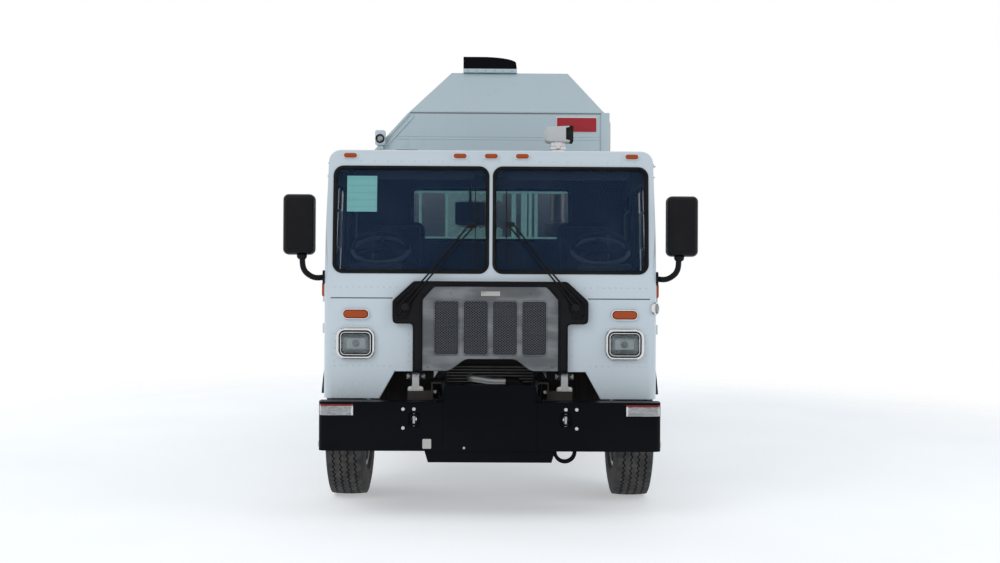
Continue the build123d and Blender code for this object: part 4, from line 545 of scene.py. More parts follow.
@dataclass(frozen=True)
class Pane(Finish):
    """Thin tinted glass, a little dusty."""

    clear: float = 0.7

    def shade(self, g: Graph) -> bpy.types.Material:
        """Lets the inside show through, more in the middle of each cloud than in the dust.

        Args:
            g: the empty graph.

        Returns:
            The finished material.
        """
        dust = g.noise(5.0, 5.0).ramp(0.45, 0.9)
        color = g.mix(dust * 0.06, self.color, (0.3, 0.31, 0.31))
        alpha = (1.0 - self.clear) + dust * 0.05
        return g.surface(
            Base_Color=color, Roughness=self.roughness + dust * 0.12, Alpha=alpha, Specular_IOR_Level=0.16
        )


@dataclass(frozen=True)
class Lens(Finish):
    """A moulded lamp lens with fine flutes behind its smooth face."""

    flutes: float = 900.0
    glow: float = 0.12
    alpha: float = 1.0
    coat: float = 0.15

    def shade(self, g: Graph) -> bpy.types.Material:
        """Flutes the lens and lights it a little from inside.

        Args:
            g: the empty graph.

        Returns:
            The finished material.
        """
        ribs = (g.axis(0) * self.flutes).wave() * (g.axis(2) * self.flutes).wave()
        pattern = ribs.ramp(-1.0, 1.0)
        color = g.mix(pattern, self.darker(0.7), self.color)
        return g.surface(
            Base_Color=color,
            Roughness=self.roughness,
            Coat_Weight=self.coat,
            Coat_Roughness=0.03,
            Specular_IOR_Level=0.25,
            Emission_Color=color,
            Emission_Strength=self.glow,
            Alpha=self.alpha,
            Normal=g.bump(pattern, 0.0006, 0.5),
        )


@dataclass(frozen=True)
class Cloth(Finish):
    """Woven seat cloth with crossing threads and worn, paler crowns."""

    thread: float = 2600.0

    def shade(self, g: Graph) -> bpy.types.Material:
        """Weaves the threads and wears their crowns.

        Args:
            g: the empty graph.

        Returns:
            The finished material.
        """
        across = (g.axis(0) * self.thread).wave()
        down = ((g.axis(1) + g.axis(2)) * self.thread).wave()
        weave = (across * down).ramp(-1.0, 1.0)
        wear = g.noise(7.0, 4.0).ramp(0.45, 0.8)
        color = g.mix(weave, self.darker(0.65), self.color)
        color = g.mix(wear * 0.3, color, tuple(part * 1.8 + 0.02 for part in self.color))
        return g.surface(
            Base_Color=color,
            Roughness=self.roughness,
            Sheen_Weight=0.25,
            Normal=g.bump(weave, 0.0006, 0.8),
        )


@dataclass(frozen=True)
class Card(Finish):
    """A pale blank face with faint ruled bands, which glows a little where it looks forward: painted light
    for the light that falls on it.
    """

    ink: Color = (0.3, 0.42, 0.42)
    bands: float = 0.0
    glow: float = 0.0

    def shade(self, g: Graph) -> bpy.types.Material:
        """Rules the bands, mottles the sheet and paints light on its forward faces.

        Args:
            g: the empty graph.

        Returns:
            The finished material.
        """
        mottle = g.noise(40.0, 3.0).ramp(0.3, 0.8)
        color = g.mix(mottle * 0.25, self.color, self.darker(0.85))
        if self.bands:
            color = g.mix((g.axis(2) * self.bands).wave().over(0.86) * 0.25, color, self.ink)
        # Painted light: an emission on faces that look forward (-Y), standing for the light that falls on
        # them.
        normal = g.node("ShaderNodeTexCoord", output="Normal")
        ahead = g.node(
            "ShaderNodeVectorMath", {"operation": "DOT_PRODUCT"}, {0: normal, 1: (0.0, -1.0, 0.0)}, "Value"
        )
        return g.surface(
            Base_Color=color,
            Roughness=self.roughness,
            Emission_Color=g.mix(ahead.over(0.5), (0.0, 0.0, 0.0), color),
            Emission_Strength=self.glow,
            Normal=g.bump(mottle, 0.0002, 0.3),
        )


WHITE = Paint("white_paint", (0.6, 0.675, 0.725), 0.22, film_most=0.12, streaks=0.05, film_high=1.5)
CAB_WHITE = CabPaint("cab_white", (0.6, 0.675, 0.725), 0.22, film_most=0.12, streaks=0.05, film_high=1.5)
BODY_WHITE = Paint(
    "body_white", (0.54, 0.635, 0.675), 0.36, coat=0.1, gloss=0.32, film_most=0.3, streaks=0.16,
    film_high=2.6, chips=0.25,
)
HOPPER_WHITE = Paint(
    "hopper_white", (0.54, 0.625, 0.66), 0.42, coat=0.1, gloss=0.32, film_most=0.45, streaks=0.35,
    film_high=3.0, chips=0.8,
)
GREY = Paint("grey_paint", (0.2, 0.21, 0.22), 0.5, coat=0.1, film_most=0.5, chips=0.7)
SCRAPED = Metal("scraped_steel", (0.36, 0.35, 0.34), 0.42, (1.0, 0.05, 1.0), 40.0, 0.0008, tarnish_share=0.8)
BLACK = Paint(
    "black_paint", (0.002, 0.0027, 0.0048), 0.32, coat=0.01, film=(0.04, 0.038, 0.036), film_most=0.07,
    film_high=1.0, streaks=0.05, gloss=0.04,
)
CHASSIS = Paint(
    "chassis_black", (0.009, 0.009, 0.0105), 0.48, coat=0.0, film=(0.1, 0.088, 0.074), film_most=0.6,
    film_high=1.6, streaks=0.25, chips=0.3, gloss=0.12,
)
ENGINE = Paint(
    "engine_paint", (0.12, 0.13, 0.14), 0.5, coat=0.05, film=(0.09, 0.08, 0.07), film_most=0.6, film_high=1.9,
    streaks=0.4, chips=0.4,
)
ARM = Paint("arm_paint", (0.7, 0.71, 0.71), 0.36, film_most=0.5, streaks=0.3, film_high=2.2, chips=1.0)
PLASTIC = Moulded(
    "black_plastic", (0.007, 0.007, 0.009), 0.34, dust=(0.07, 0.07, 0.07), dust_share=0.05, gloss=0.1
)
TRIM = Moulded("interior_trim", (0.04, 0.05, 0.068), 0.6, dust_share=0.12, dust=(0.08, 0.09, 0.1))
LINING = Moulded("roof_lining", (0.05, 0.06, 0.08), 0.85, grain_scale=900.0, dust=(0.06, 0.06, 0.06))
GASKET = Moulded(
    "gasket_rubber", (0.007, 0.007, 0.008), 0.5, grain_scale=700.0, depth=0.0002, edge=0.002, dust_share=0.04,
    gloss=0.1,
)
RUBBER = Moulded("flap_rubber", (0.02, 0.02, 0.02), 0.7, dust_share=0.5)
TYRE = TreadRubber("tyre_rubber", (0.013, 0.0135, 0.0155), 0.68)
STAINLESS = Sheet(
    "stainless", (0.12, 0.129, 0.138), 0.3, (0.04, 1.0, 1.0), 300.0, 0.0001, 0.1, tarnish_share=0.1
)
MESH_METAL = Metal("mesh_metal", (0.1, 0.108, 0.125), 0.35, tarnish_share=0.15, edge=0.0005)
COOLER = Metal("cooler_slats", (0.2, 0.205, 0.21), 0.4, tarnish=(0.03, 0.03, 0.03), tarnish_share=0.5)
ALUMINIUM = Metal(
    "tank_aluminium", (0.6, 0.61, 0.62), 0.34, (1.0, 0.05, 1.0), 70.0, 0.0002, tarnish_share=0.3
)
STEERING = Moulded("steering_rim", (0.16, 0.2, 0.26), 0.4, dust=(0.2, 0.22, 0.25), dust_share=0.1)
CAST = Metal("cast_bracket", (0.5, 0.51, 0.52), 0.42, grain_scale=240.0, depth=0.0006, tarnish_share=0.3)
CHROME = Metal("lamp_chrome", (0.72, 0.73, 0.74), 0.08, depth=0.00002, dull=0.06, tarnish_share=0.05)
ROD = Metal("cylinder_rod", (0.68, 0.68, 0.7), 0.1, (1.0, 0.05, 1.0), 200.0, 0.00003, tarnish_share=0.08)
ZINC = Metal("zinc_bolt", (0.62, 0.61, 0.58), 0.36, grain_scale=300.0, tarnish_share=0.25, edge=0.001)
RIM = Paint(
    "rim_white", (0.66, 0.67, 0.68), 0.32, film_low=0.0, film_high=1.3, film_most=0.35, streaks=0.0, chips=0.3
)
AMBER = Lens("amber_lens", (0.44, 0.062, 0.003), 0.12, glow=0.05)
RED = Lens("red_lens", (0.42, 0.008, 0.01), 0.12, glow=0.06)
CLEAR = Lens("clear_lens", (0.2, 0.24, 0.25), 0.04, flutes=420.0, glow=0.0, alpha=0.22, coat=0.6)
REFLECTOR = Metal(
    "lamp_reflector", (0.3, 0.335, 0.34), 0.14, (1.0, 1.0, 1.0), 46.0, 0.004, 0.05,
    tarnish=(0.02, 0.024, 0.024), tarnish_share=0.75,
)
GLASS = Pane("tinted_glass", (0.007, 0.028, 0.07), 0.03, clear=0.66)
MIRROR_GLASS = Metal("mirror_glass", (0.8, 0.81, 0.82), 0.02, depth=0.0, dull=0.02, tarnish_share=0.0)
SEAT_CLOTH = Cloth("seat_cloth", (0.045, 0.05, 0.06), 0.85)
SIGN_RED = Card("sign_red", (0.36, 0.01, 0.02), 0.5)
PLATE_WHITE = Card("plate_white", (0.72, 0.73, 0.74), 0.4)
# The blank card glows where it faces forward: painted light, so it reads bright behind the tinted glass.
CARD_TEAL = Card("card_teal", (0.38, 0.9, 0.85), 0.6, bands=120.0, glow=0.55)
TAPE_RED = Card("tape_red", (0.4, 0.015, 0.015), 0.3)
SCREEN = Moulded("grille_screen", (0.008, 0.009, 0.013), 0.6, grain_scale=300.0, depth=0.001, dust_share=0.1)
WIPER = Moulded(
    "wiper_black", (0.007, 0.007, 0.008), 0.34, grain_scale=900.0, depth=0.0001, dust_share=0.04, edge=0.001
)
MIRROR_SHELL = Moulded(
    "mirror_shell", (0.006, 0.006, 0.008), 0.17, grain_scale=900.0, depth=0.00005, dust_share=0.02, coat=0.03,
    gloss=0.1,
)
STACK_CHROME = Metal(
    "stack_pipe", (0.66, 0.66, 0.66), 0.2, (1.0, 1.0, 0.1), 160.0, 0.0001, 0.12, (0.42, 0.34, 0.22), 0.5
)
MUFFLER = Metal(
    "muffler_steel", (0.3, 0.28, 0.26), 0.5, grain_scale=120.0, tarnish=(0.24, 0.12, 0.06), tarnish_share=0.9
)
HEAD_PALE = Paint("stack_head", (0.6, 0.61, 0.6), 0.4, coat=0.1, film_most=0.0, streaks=0.4, chips=0.6)
SOOT = Moulded("soot_black", (0.01, 0.01, 0.01), 0.85, dust_share=0.1)
COWL_BLACK = Paint(
    "cowl_black", (0.003, 0.003, 0.005), 0.35, coat=0.0, film=(0.05, 0.05, 0.05), film_most=0.0, streaks=0.08,
    gloss=0.05,
)
HUB_OIL = Lens("hub_window", (0.2, 0.07, 0.02), 0.1, flutes=60.0, glow=0.0)
TAG = Metal(
    "blank_tag", (0.5, 0.5, 0.49), 0.45, grain_scale=60.0, depth=0.0002, tarnish=(0.12, 0.11, 0.1),
    tarnish_share=0.9,
)
CARD_PALE = Card("dial_face", (0.12, 0.13, 0.14), 0.4)
HANDLE_PALE = Moulded("handle_pale", (0.34, 0.4, 0.43), 0.35, grain_scale=600.0, depth=0.0001, gloss=0.4)
# The guard's finish glows where it faces forward: painted light, so it reads pale behind two panes of glass.
GUARD_PALE = Card("guard_pale", (0.4, 0.8, 0.76), 0.5, glow=0.9)


class Facing(Enum):
    """The plane that a flat outline is drawn in, by its two axes and the one it is swept along."""

    FRONT = (0, 2, 1)
    SIDE = (1, 2, 0)
    TOP = (0, 1, 2)

    def point(self, a: float, b: float, depth: float) -> Vector:
        """A point from its two places in the plane and its depth."""
        place = [0.0, 0.0, 0.0]
        place[self.value[0]], place[self.value[1]], place[self.value[2]] = a, b, depth
        return Vector(place)


def rounded(low: Point2, high: Point2, radius: float, steps: int = 6) -> list[Point2]:
    """The outline of a rounded rectangle.

    Args:
        low: its lowest corner.
        high: its highest corner.
        radius: its corners' radius.
        steps: how many pieces each corner has.

    Returns:
        The points in order.
    """
    radius = min(radius, (high[0] - low[0]) / 2 - 1e-5, (high[1] - low[1]) / 2 - 1e-5)
    corners = (
        (high[0] - radius, high[1] - radius, 0.0),
        (low[0] + radius, high[1] - radius, 90.0),
        (low[0] + radius, low[1] + radius, 180.0),
        (high[0] - radius, low[1] + radius, 270.0),
    )
    points = []
    for x, y, start in corners:
        for step in range(steps + 1):
            turn = math.radians(start + 90.0 * step / steps)
            points.append((x + radius * math.cos(turn), y + radius * math.sin(turn)))
    return points


def panel(low: Point2, high: Point2, radius: float, steps: int = 6) -> Outline:
    """A rounded rectangle that can be moved inward by any distance.

    Args:
        low: its lowest corner.
        high: its highest corner.
        radius: its corners' radius.
        steps: how many pieces each corner has.

    Returns:
        A rule that gives the outline for a distance.
    """

    def moved(share: float) -> list[Point2]:
        """The outline moved inward by a distance."""
        first, last = (low[0] + share, low[1] + share), (high[0] - share, high[1] - share)
        return rounded(first, last, max(radius - share, 0.0025), steps)

    return moved


def softened(points: Sequence[Point2], radii: Sequence[float], steps: int = 5) -> list[Point2]:
    """An outline whose corners are rounded off, each by its own radius.

    Args:
        points: the corners.
        radii: a radius for each corner, 0 for a sharp one.
        steps: how many pieces a round corner has.

    Returns:
        The points in order.
    """
    out: list[Point2] = []
    count = len(points)
    for number, (corner, radius) in enumerate(zip(points, radii)):
        here = Vector(corner)
        if not radius:
            out.append(corner)
            continue
        before = (Vector(points[number - 1]) - here).normalized() * radius
        after = (Vector(points[(number + 1) % count]) - here).normalized() * radius
        for step in range(steps + 1):
            share = step / steps
            spot = here + before * (1 - share) ** 2 + after * share**2
            out.append((spot.x, spot.y))
    return out


class Form:
    """A mesh that is being built in the truck's frame."""

    def __init__(self) -> None:
        """Starts empty."""
        self.bm = bmesh.new()

    def _face(self, verts: Sequence[bmesh.types.BMVert]) -> None:
        """Adds a face unless it is already there."""
        if len(set(verts)) > 2 and self.bm.faces.get(verts) is None:
            self.bm.faces.new(verts)

    def box(self, low: Point, high: Point, bevel: float = 0.0) -> "Form":
        """A box with rounded edges.

        Args:
            low: one corner.
            high: the corner across from it.
            bevel: the radius of its edges.

        Returns:
            The form.
        """
        made = bmesh.ops.create_cube(self.bm, size=1.0)["verts"]
        low, high = ([pick(pair) for pair in zip(low, high)] for pick in (min, max))
        size = Vector(high) - Vector(low)
        for vert in made:
            vert.co = Vector(low) + Vector([(vert.co[n] + 0.5) * size[n] for n in range(3)])
        if bevel:
            edges = list(dict.fromkeys(edge for vert in made for edge in vert.link_edges))
            reach = min(bevel, *(abs(part) * 0.45 for part in size))
            bmesh.ops.bevel(self.bm, geom=edges, offset=reach, segments=2, affect="EDGES", profile=0.5)
        return self

    def loops(self, rings: Sequence[Sequence[Vector]], caps: bool = True) -> "Form":
        """A skin over closed rings of points that follow each other.

        Args:
            rings: the rings, each with the same number of points.
            caps: whether the first and last ring are filled.

        Returns:
            The form.
        """
        made = [[self.bm.verts.new(point) for point in ring] for ring in rings]
        count = len(made[0])
        for first, second in zip(made, made[1:]):
            for number in range(count):
                after = (number + 1) % count
                self._face((first[number], first[after], second[after], second[number]))
        if caps:
            self._face(made[0][::-1])
            self._face(made[-1])
        return self

    def prism(
        self, outline: Outline, facing: Facing, low: float, high: float, bevel: float = 0.0
    ) -> "Form":
        """An outline swept from one depth to another, its rims rounded over by a bevel.

        Args:
            outline: the points in the plane.
            facing: the plane.
            low: the first depth.
            high: the second depth.
            bevel: the radius of both rims.

        Returns:
            The form.
        """
        if not bevel:
            steps = [(low, 0.0), (high, 0.0)]
        else:
            steps = self._rims(low, high, bevel)
        return self.loops(
            [[facing.point(a, b, depth) for a, b in inset(outline, share)] for depth, share in steps]
        )

    @staticmethod
    def _rims(low: float, high: float, bevel: float) -> list[tuple[float, float]]:
        """The depths and insets of a prism with rounded rims.

        Args:
            low: the first depth.
            high: the second depth.
            bevel: the radius of both rims.

        Returns:
            (depth, inset) from the first face to the second.
        """
        way = 1.0 if high > low else -1.0
        turns = [math.radians(30.0 * step) for step in range(4)]
        first = [
            (low + way * bevel * (1 - math.sin(turn)), bevel * (1 - math.cos(turn))) for turn in turns[::-1]
        ]
        last = [(high - way * bevel * (1 - math.sin(turn)), bevel * (1 - math.cos(turn))) for turn in turns]
        return first + last

    def ring(self, outline: Outline, facing: Facing, profile: Sequence[tuple[float, float]]) -> "Form":
        """A frame that follows an outline: its profile gives an inset and a depth for each edge.

        Args:
            outline: the points in the plane.
            facing: the plane.
            profile: (inset, depth) round the frame's section, closed on itself.

        Returns:
            The form.
        """
        rings = [[facing.point(a, b, depth) for a, b in inset(outline, share)] for share, depth in profile]
        return self.loops([*rings, rings[0]], caps=False)

    def plate(
        self,
        outline: Sequence[Point2],
        holes: Sequence[Sequence[Point2]],
        facing: Facing,
        low: float,
        high: float,
    ) -> "Form":
        """A flat plate with holes cut through it.

        Args:
            outline: the plate's edge.
            holes: the edge of each hole.
            facing: the plane it lies in.
            low: the depth of its first face.
            high: the depth of its second face.

        Returns:
            The form.
        """
        for depth in (low, high):
            edges = []
            for loop in (outline, *holes):
                verts = [self.bm.verts.new(facing.point(a, b, depth)) for a, b in loop]
                edges += [self.bm.edges.new((verts[n - 1], verts[n])) for n in range(len(verts))]
            bmesh.ops.triangle_fill(self.bm, use_beauty=True, use_dissolve=False, edges=edges)
        for loop in (outline, *holes):
            self.loops([[facing.point(a, b, depth) for a, b in loop] for depth in (low, high)], caps=False)
        return self

    def strips(
        self,
        low: Point2,
        high: Point2,
        facing: Facing,
        depth: Point2,
        pitch: float,
        width: float,
        angle: float,
    ) -> "Form":
        """Slanted strips of expanded mesh, cut off at a window's edges.

        Args:
            low: the window's lowest corner.
            high: the window's highest corner.
            facing: the plane it lies in.
            depth: the mesh's first and second depth.
            pitch: the distance between strips.
            width: how wide a strip is.
            angle: the slant, in degrees; strips lie both ways.

        Returns:
            The form.
        """
        for way in (1.0, -1.0):
            turn = math.radians(angle) * way
            along = Vector((math.cos(turn), math.sin(turn)))
            across = Vector((-along.y, along.x))
            corners = [Vector((x, y)) for x in (low[0], high[0]) for y in (low[1], high[1])]
            places = [corner.dot(across) for corner in corners]
            middle = (depth[0] + depth[1]) / 2
            deep = (depth[0], middle) if way > 0 else (middle, depth[1])
            for number in range(int(min(places) / pitch), int(max(places) / pitch) + 1):
                reach = self._span(across * (number * pitch), along, low, high)
                if reach is None or reach[1] - reach[0] < width:
                    continue
                ends = [across * (number * pitch) + along * share for share in reach]
                side = across * (width / 2)
                outline = [
                    tuple(ends[0] - side), tuple(ends[1] - side), tuple(ends[1] + side), tuple(ends[0] + side)
                ]
                self.prism(outline, facing, *deep)
        return self

    @staticmethod
    def _span(start: Vector, way: Vector, low: Point2, high: Point2) -> tuple[float, float] | None:
        """Where a line enters and leaves a rectangle.

        Args:
            start: a point of the line.
            way: its direction.
            low: the rectangle's lowest corner.
            high: its highest corner.

        Returns:
            Both distances along the line, or None where it misses.
        """
        first, last = -1e9, 1e9
        for n in range(2):
            if abs(way[n]) < 1e-9:
                continue
            a, b = sorted(((low[n] - start[n]) / way[n], (high[n] - start[n]) / way[n]))
            first, last = max(first, a), min(last, b)
        return (first, last) if last > first else None

    def lathe(
        self,
        profile: Sequence[tuple[float, float]],
        middle: Point,
        axis: int,
        steps: int = 32,
        close: bool = False,
    ) -> "Form":
        """A body of revolution.

        Args:
            profile: (distance along the axis, radius) points.
            middle: the point that distances count from.
            axis: 0, 1 or 2 for X, Y or Z.
            steps: how many pieces a turn has.
            close: whether the profile's last point joins its first.

        Returns:
            The form.
        """
        first, second = [n for n in range(3) if n != axis]
        rings = []
        for along, radius in list(profile) + ([profile[0]] if close else []):
            ring = []
            for step in range(steps):
                turn = 2 * math.pi * step / steps
                place = Vector(middle)
                place[axis] += along
                place[first] += radius * math.cos(turn)
                place[second] += radius * math.sin(turn)
                ring.append(place)
            rings.append(ring)
        return self.loops(rings, caps=not close)

    def rod(self, start: Point, end: Point, radius: float, steps: int = 12, tip: float = 0.0) -> "Form":
        """A round bar between two points.

        Args:
            start: the first point.
            end: the second point.
            radius: the bar's radius.
            steps: how many pieces its round has.
            tip: how far its ends are rounded over.

        Returns:
            The form.
        """
        low, high = Vector(start), Vector(end)
        length = (high - low).length
        turn = (high - low).to_track_quat("Z", "Y").to_matrix().to_4x4()
        profile = [(0.0, radius), (length, radius)]
        if tip:
            profile = [(0.0, radius - tip), (tip, radius), (length - tip, radius), (length, radius - tip)]
        return self.join(Form().lathe(profile, (0, 0, 0), 2, steps), Matrix.Translation(low) @ turn)

    def pipe(self, points: Sequence[Point], radius: float, bend: float = 0.05, sides: int = 12) -> "Form":
        """A round pipe through points, with bent corners.

        Args:
            points: the pipe's corners.
            radius: its radius.
            bend: how far from a corner its bend starts.
            sides: how many pieces its round has.

        Returns:
            The form.
        """
        path = bent([Vector(point) for point in points], bend)
        rings = []
        side = Vector((0.0, 0.0, 1.0))
        for number, spot in enumerate(path):
            way = (path[min(number + 1, len(path) - 1)] - path[max(number - 1, 0)]).normalized()
            if abs(way.dot(side)) > 0.98:
                side = Vector((1.0, 0.0, 0.0)) if number == 0 else side
            across = (side - way * side.dot(way)).normalized()
            side = across
            other = way.cross(across)
            turns = [2 * math.pi * step / sides for step in range(sides)]
            rings.append([spot + (across * math.cos(t) + other * math.sin(t)) * radius for t in turns])
        return self.loops(rings)

    def hexes(
        self, spots: Iterable[Point], axis: int, way: float, radius: float = 0.014, depth: float = 0.009
    ) -> "Form":
        """Bolt heads with washers.

        Args:
            spots: where each bolt meets the surface.
            axis: the axis they point along.
            way: 1 or -1, which way they face.
            radius: the head's radius.
            depth: the head's height.

        Returns:
            The form.
        """
        for spot in spots:
            washer = [(0.0, radius * 1.45), (way * depth * 0.22, radius * 1.4)]
            self.lathe(washer, spot, axis, 16)
            head = [
                (way * depth * 0.2, radius),
                (way * depth * 0.85, radius),
                (way * depth, radius * 0.86),
            ]
            self.lathe(head, spot, axis, 6)
        return self

    def domes(self, spots: Iterable[Point], axis: int, way: float, radius: float, depth: float) -> "Form":
        """Round rivet or carriage bolt heads.

        Args:
            spots: where each head meets the surface.
            axis: the axis they point along.
            way: 1 or -1, which way they face.
            radius: the head's radius.
            depth: the head's height.

        Returns:
            The form.
        """
        shape = [(0.0, 1.0), (0.45, 0.92), (0.8, 0.62), (1.0, 0.2)]
        for spot in spots:
            self.lathe([(way * depth * a, radius * r) for a, r in shape], spot, axis, 10)
        return self

    def join(self, other: "Form", matrix: Matrix | None = None) -> "Form":
        """Adds another form, which is used up by it.

        Args:
            other: the form to add.
            matrix: what it is moved by, if anything.

        Returns:
            The form.
        """
        mesh = bpy.data.meshes.new("joined")
        other.bm.to_mesh(mesh)
        other.bm.free()
        if matrix is not None:
            mesh.transform(matrix)
        self.bm.from_mesh(mesh)
        bpy.data.meshes.remove(mesh)
        return self

    def bent_by(self, move: Callable[[Vector], Vector]) -> "Form":
        """Moves every point by a rule."""
        for vert in self.bm.verts:
            vert.co = move(vert.co.copy())
        return self

    def place(
        self,
        name: str,
        body: str,
        finish: Finish,
        slot: str,
        replaces: Sequence[str] = (),
        angle: float = 38.0,
    ) -> bpy.types.Object:
        """Makes the object, gives it its finish and lets it ride on a body.

        Args:
            name: the piece's name.
            body: the body that it rides on.
            finish: what it is made of.
            slot: the material slot of the record that it belongs to; it is not used.
            replaces: the solids that it stands for.
            angle: the sharpest edge that is still shaded smooth, in degrees.

        Returns:
            The object.
        """
        bmesh.ops.remove_doubles(self.bm, verts=self.bm.verts, dist=1e-6)
        bmesh.ops.recalc_face_normals(self.bm, faces=self.bm.faces)
        limit = math.radians(angle)
        for face in self.bm.faces:
            face.smooth = True
        for edge in self.bm.edges:
            edge.smooth = edge.calc_face_angle(0.0) < limit
        mesh = bpy.data.meshes.new(name)
        self.bm.to_mesh(mesh)
        self.bm.free()
        mesh.materials.append(finish.material())
        piece = bpy.data.objects.new(name, mesh)
        bpy.context.scene.collection.objects.link(piece)
        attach(piece, body)
        if replaces:
            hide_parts(*replaces)
        LOG.info("%s rides on %s: %d faces", name, body, len(mesh.polygons))
        return piece


def inset(outline: Outline, share: float) -> list[Point2]:
    """An outline moved inward by a distance, or outward by a negative one.

    Args:
        outline: the points in order, or a rule that gives them for a distance.
        share: the distance.

    Returns:
        As many points, moved.
    """
    if callable(outline):
        return outline(share)
    if not share:
        return list(outline)
    count = len(outline)
    area = sum(
        outline[n][0] * outline[(n + 1) % count][1] - outline[(n + 1) % count][0] * outline[n][1]
        for n in range(count)
    )
    way = 1.0 if area > 0 else -1.0
    out = []
    for number in range(count):
        here = Vector(outline[number])
        before = (here - Vector(outline[number - 1])).normalized()
        after = (Vector(outline[(number + 1) % count]) - here).normalized()
        side_a, side_b = Vector((-before.y, before.x)), Vector((-after.y, after.x))
        corner = (side_a + side_b).normalized()
        reach = share / max(0.35, corner.dot(side_a))
        out.append(tuple(here + corner * reach * way))
    return out


def bent(path: Sequence[Vector], bend: float) -> list[Vector]:
    """A pipe's line with its corners bent round.

    Args:
        path: the corners.
        bend: how far from a corner the bend starts.

    Returns:
        The points of the line.
    """
    out = [path[0]]
    for before, here, after in zip(path, path[1:], path[2:]):
        reach = min(bend, (before - here).length * 0.48, (after - here).length * 0.48)
        first = (before - here).normalized() * reach
        second = (after - here).normalized() * reach
        for step in range(BEND_STEPS + 1):
            share = step / BEND_STEPS
            out.append(here + first * (1 - share) ** 2 + second * share**2)
    return [*out, path[-1]]


@dataclass
class Assembly:
    """A group of pieces; each kind builds its own."""

    body: str = "chassis"

    def build(self) -> None:
        """Builds every piece of the group."""
        raise NotImplementedError


@dataclass
class Stage:
    """Floor, lamps, sky and the camera at the photograph's angle."""

    eye: Point = (0.0, -13.35, 1.663)
    focal_px: float = 1196.0
    image: tuple[int, int] = (1000, 563)
    yaw: float = 0.45
    pitch: float = 0.36
    roll: float = 0.3

    def build(self) -> None:
        """Sets the view, the sky, the lamps, the floor and the camera."""
        scene = bpy.context.scene
        scene.view_settings.view_transform = "Standard"
        self.sky(scene)
        self.floor()
        self.lamps()
        self.camera(scene)

    def sky(self, scene: bpy.types.Scene) -> None:
        """An even sky that looks white to the camera, and in gloss and glass.

        Args:
            scene: the scene.
        """
        world = bpy.data.worlds.new("studio")
        scene.world = world
        world.use_nodes = True
        tree = world.node_tree
        tree.nodes.clear()
        path = tree.nodes.new("ShaderNodeLightPath")
        seen = path.outputs["Is Camera Ray"]
        for kind in ("Is Glossy Ray", "Is Transmission Ray"):
            either = tree.nodes.new("ShaderNodeMath")
            either.operation = "MAXIMUM"
            tree.links.new(seen, either.inputs[0])
            tree.links.new(path.outputs[kind], either.inputs[1])
            seen = either.outputs[0]
        light = tree.nodes.new("ShaderNodeBackground")
        light.inputs["Color"].default_value = (0.86, 0.93, 1.0, 1.0)
        light.inputs["Strength"].default_value = 0.5
        plain = tree.nodes.new("ShaderNodeBackground")
        plain.inputs["Color"].default_value = (1.0, 1.0, 1.0, 1.0)
        plain.inputs["Strength"].default_value = 1.0
        mix = tree.nodes.new("ShaderNodeMixShader")
        output = tree.nodes.new("ShaderNodeOutputWorld")
        tree.links.new(seen, mix.inputs[0])
        tree.links.new(light.outputs[0], mix.inputs[1])
        tree.links.new(plain.outputs[0], mix.inputs[2])
        tree.links.new(mix.outputs[0], output.inputs[0])

    def floor(self) -> None:
        """A pale floor that keeps the truck's shadow and fades out into the white round it."""
        mesh = bpy.data.meshes.new("floor")
        reach = 26.0
        corners = [(-reach, -reach, 0.0), (reach, -reach, 0.0), (reach, reach, 0.0), (-reach, reach, 0.0)]
        mesh.from_pydata(corners, [], [(0, 1, 2, 3)])
        graph = Graph("floor")
        tone = graph.mix(graph.noise(0.6, 4.0).ramp(0.3, 0.7), (0.78, 0.785, 0.79), (0.82, 0.825, 0.83))
        away = (graph.axis(0) ** 2 + ((graph.axis(1) + 0.5) * 0.72) ** 2) ** 0.5
        surface = graph.surface(
            Base_Color=tone,
            Roughness=0.9,
            Specular_IOR_Level=0.1,
            Emission_Color=(0.96, 0.98, 1.0),
            Emission_Strength=0.4,
            Alpha=away.ramp(5.0, 9.0, 1.0, 0.0),
        )
        mesh.materials.append(surface)
        floor = bpy.data.objects.new("floor", mesh)
        bpy.context.scene.collection.objects.link(floor)

    def lamps(self) -> None:
        """Large soft lamps, whose mirror images are left out so that pale roofs keep their colour."""
        for name, place, aim, size, watts in (
            ("key", (-7.0, -13.0, 9.0), (0.0, -4.0, 1.5), 9.0, 490.0),
            ("fill", (9.0, -8.0, 6.0), (0.0, -2.0, 1.5), 8.0, 235.0),
            ("back", (4.0, 14.0, 9.0), (0.0, 2.0, 1.5), 9.0, 280.0),
            ("kerb", (-11.0, 3.0, 7.0), (0.0, 0.5, 1.5), 8.0, 235.0),
        ):
            data = bpy.data.lights.new(name, "AREA")
            data.shape = "DISK"
            data.size = size
            data.energy = watts
            lamp = bpy.data.objects.new(name, data)
            lamp.location = place
            lamp.visible_glossy = False
            way = Vector(aim) - Vector(place)
            lamp.rotation_euler = way.to_track_quat("-Z", "Y").to_euler()
            bpy.context.scene.collection.objects.link(lamp)

    def camera(self, scene: bpy.types.Scene) -> None:
        """The camera of the photograph.

        Args:
            scene: the scene.
        """
        data = bpy.data.cameras.new("photo")
        data.sensor_width = 36.0
        data.lens = self.focal_px * data.sensor_width / self.image[0]
        data.clip_end = 200.0
        data.dof.use_dof = False
        camera = bpy.data.objects.new("photo", data)
        camera.location = self.eye
        turn = Matrix.Rotation(math.radians(-self.yaw), 3, "Z")
        tilt = Matrix.Rotation(math.radians(90.0 + self.pitch), 3, "X")
        lean = Matrix.Rotation(math.radians(self.roll), 3, "Z")
        camera.rotation_euler = (turn @ tilt @ lean).to_euler()
        scene.collection.objects.link(camera)
        scene.camera = camera


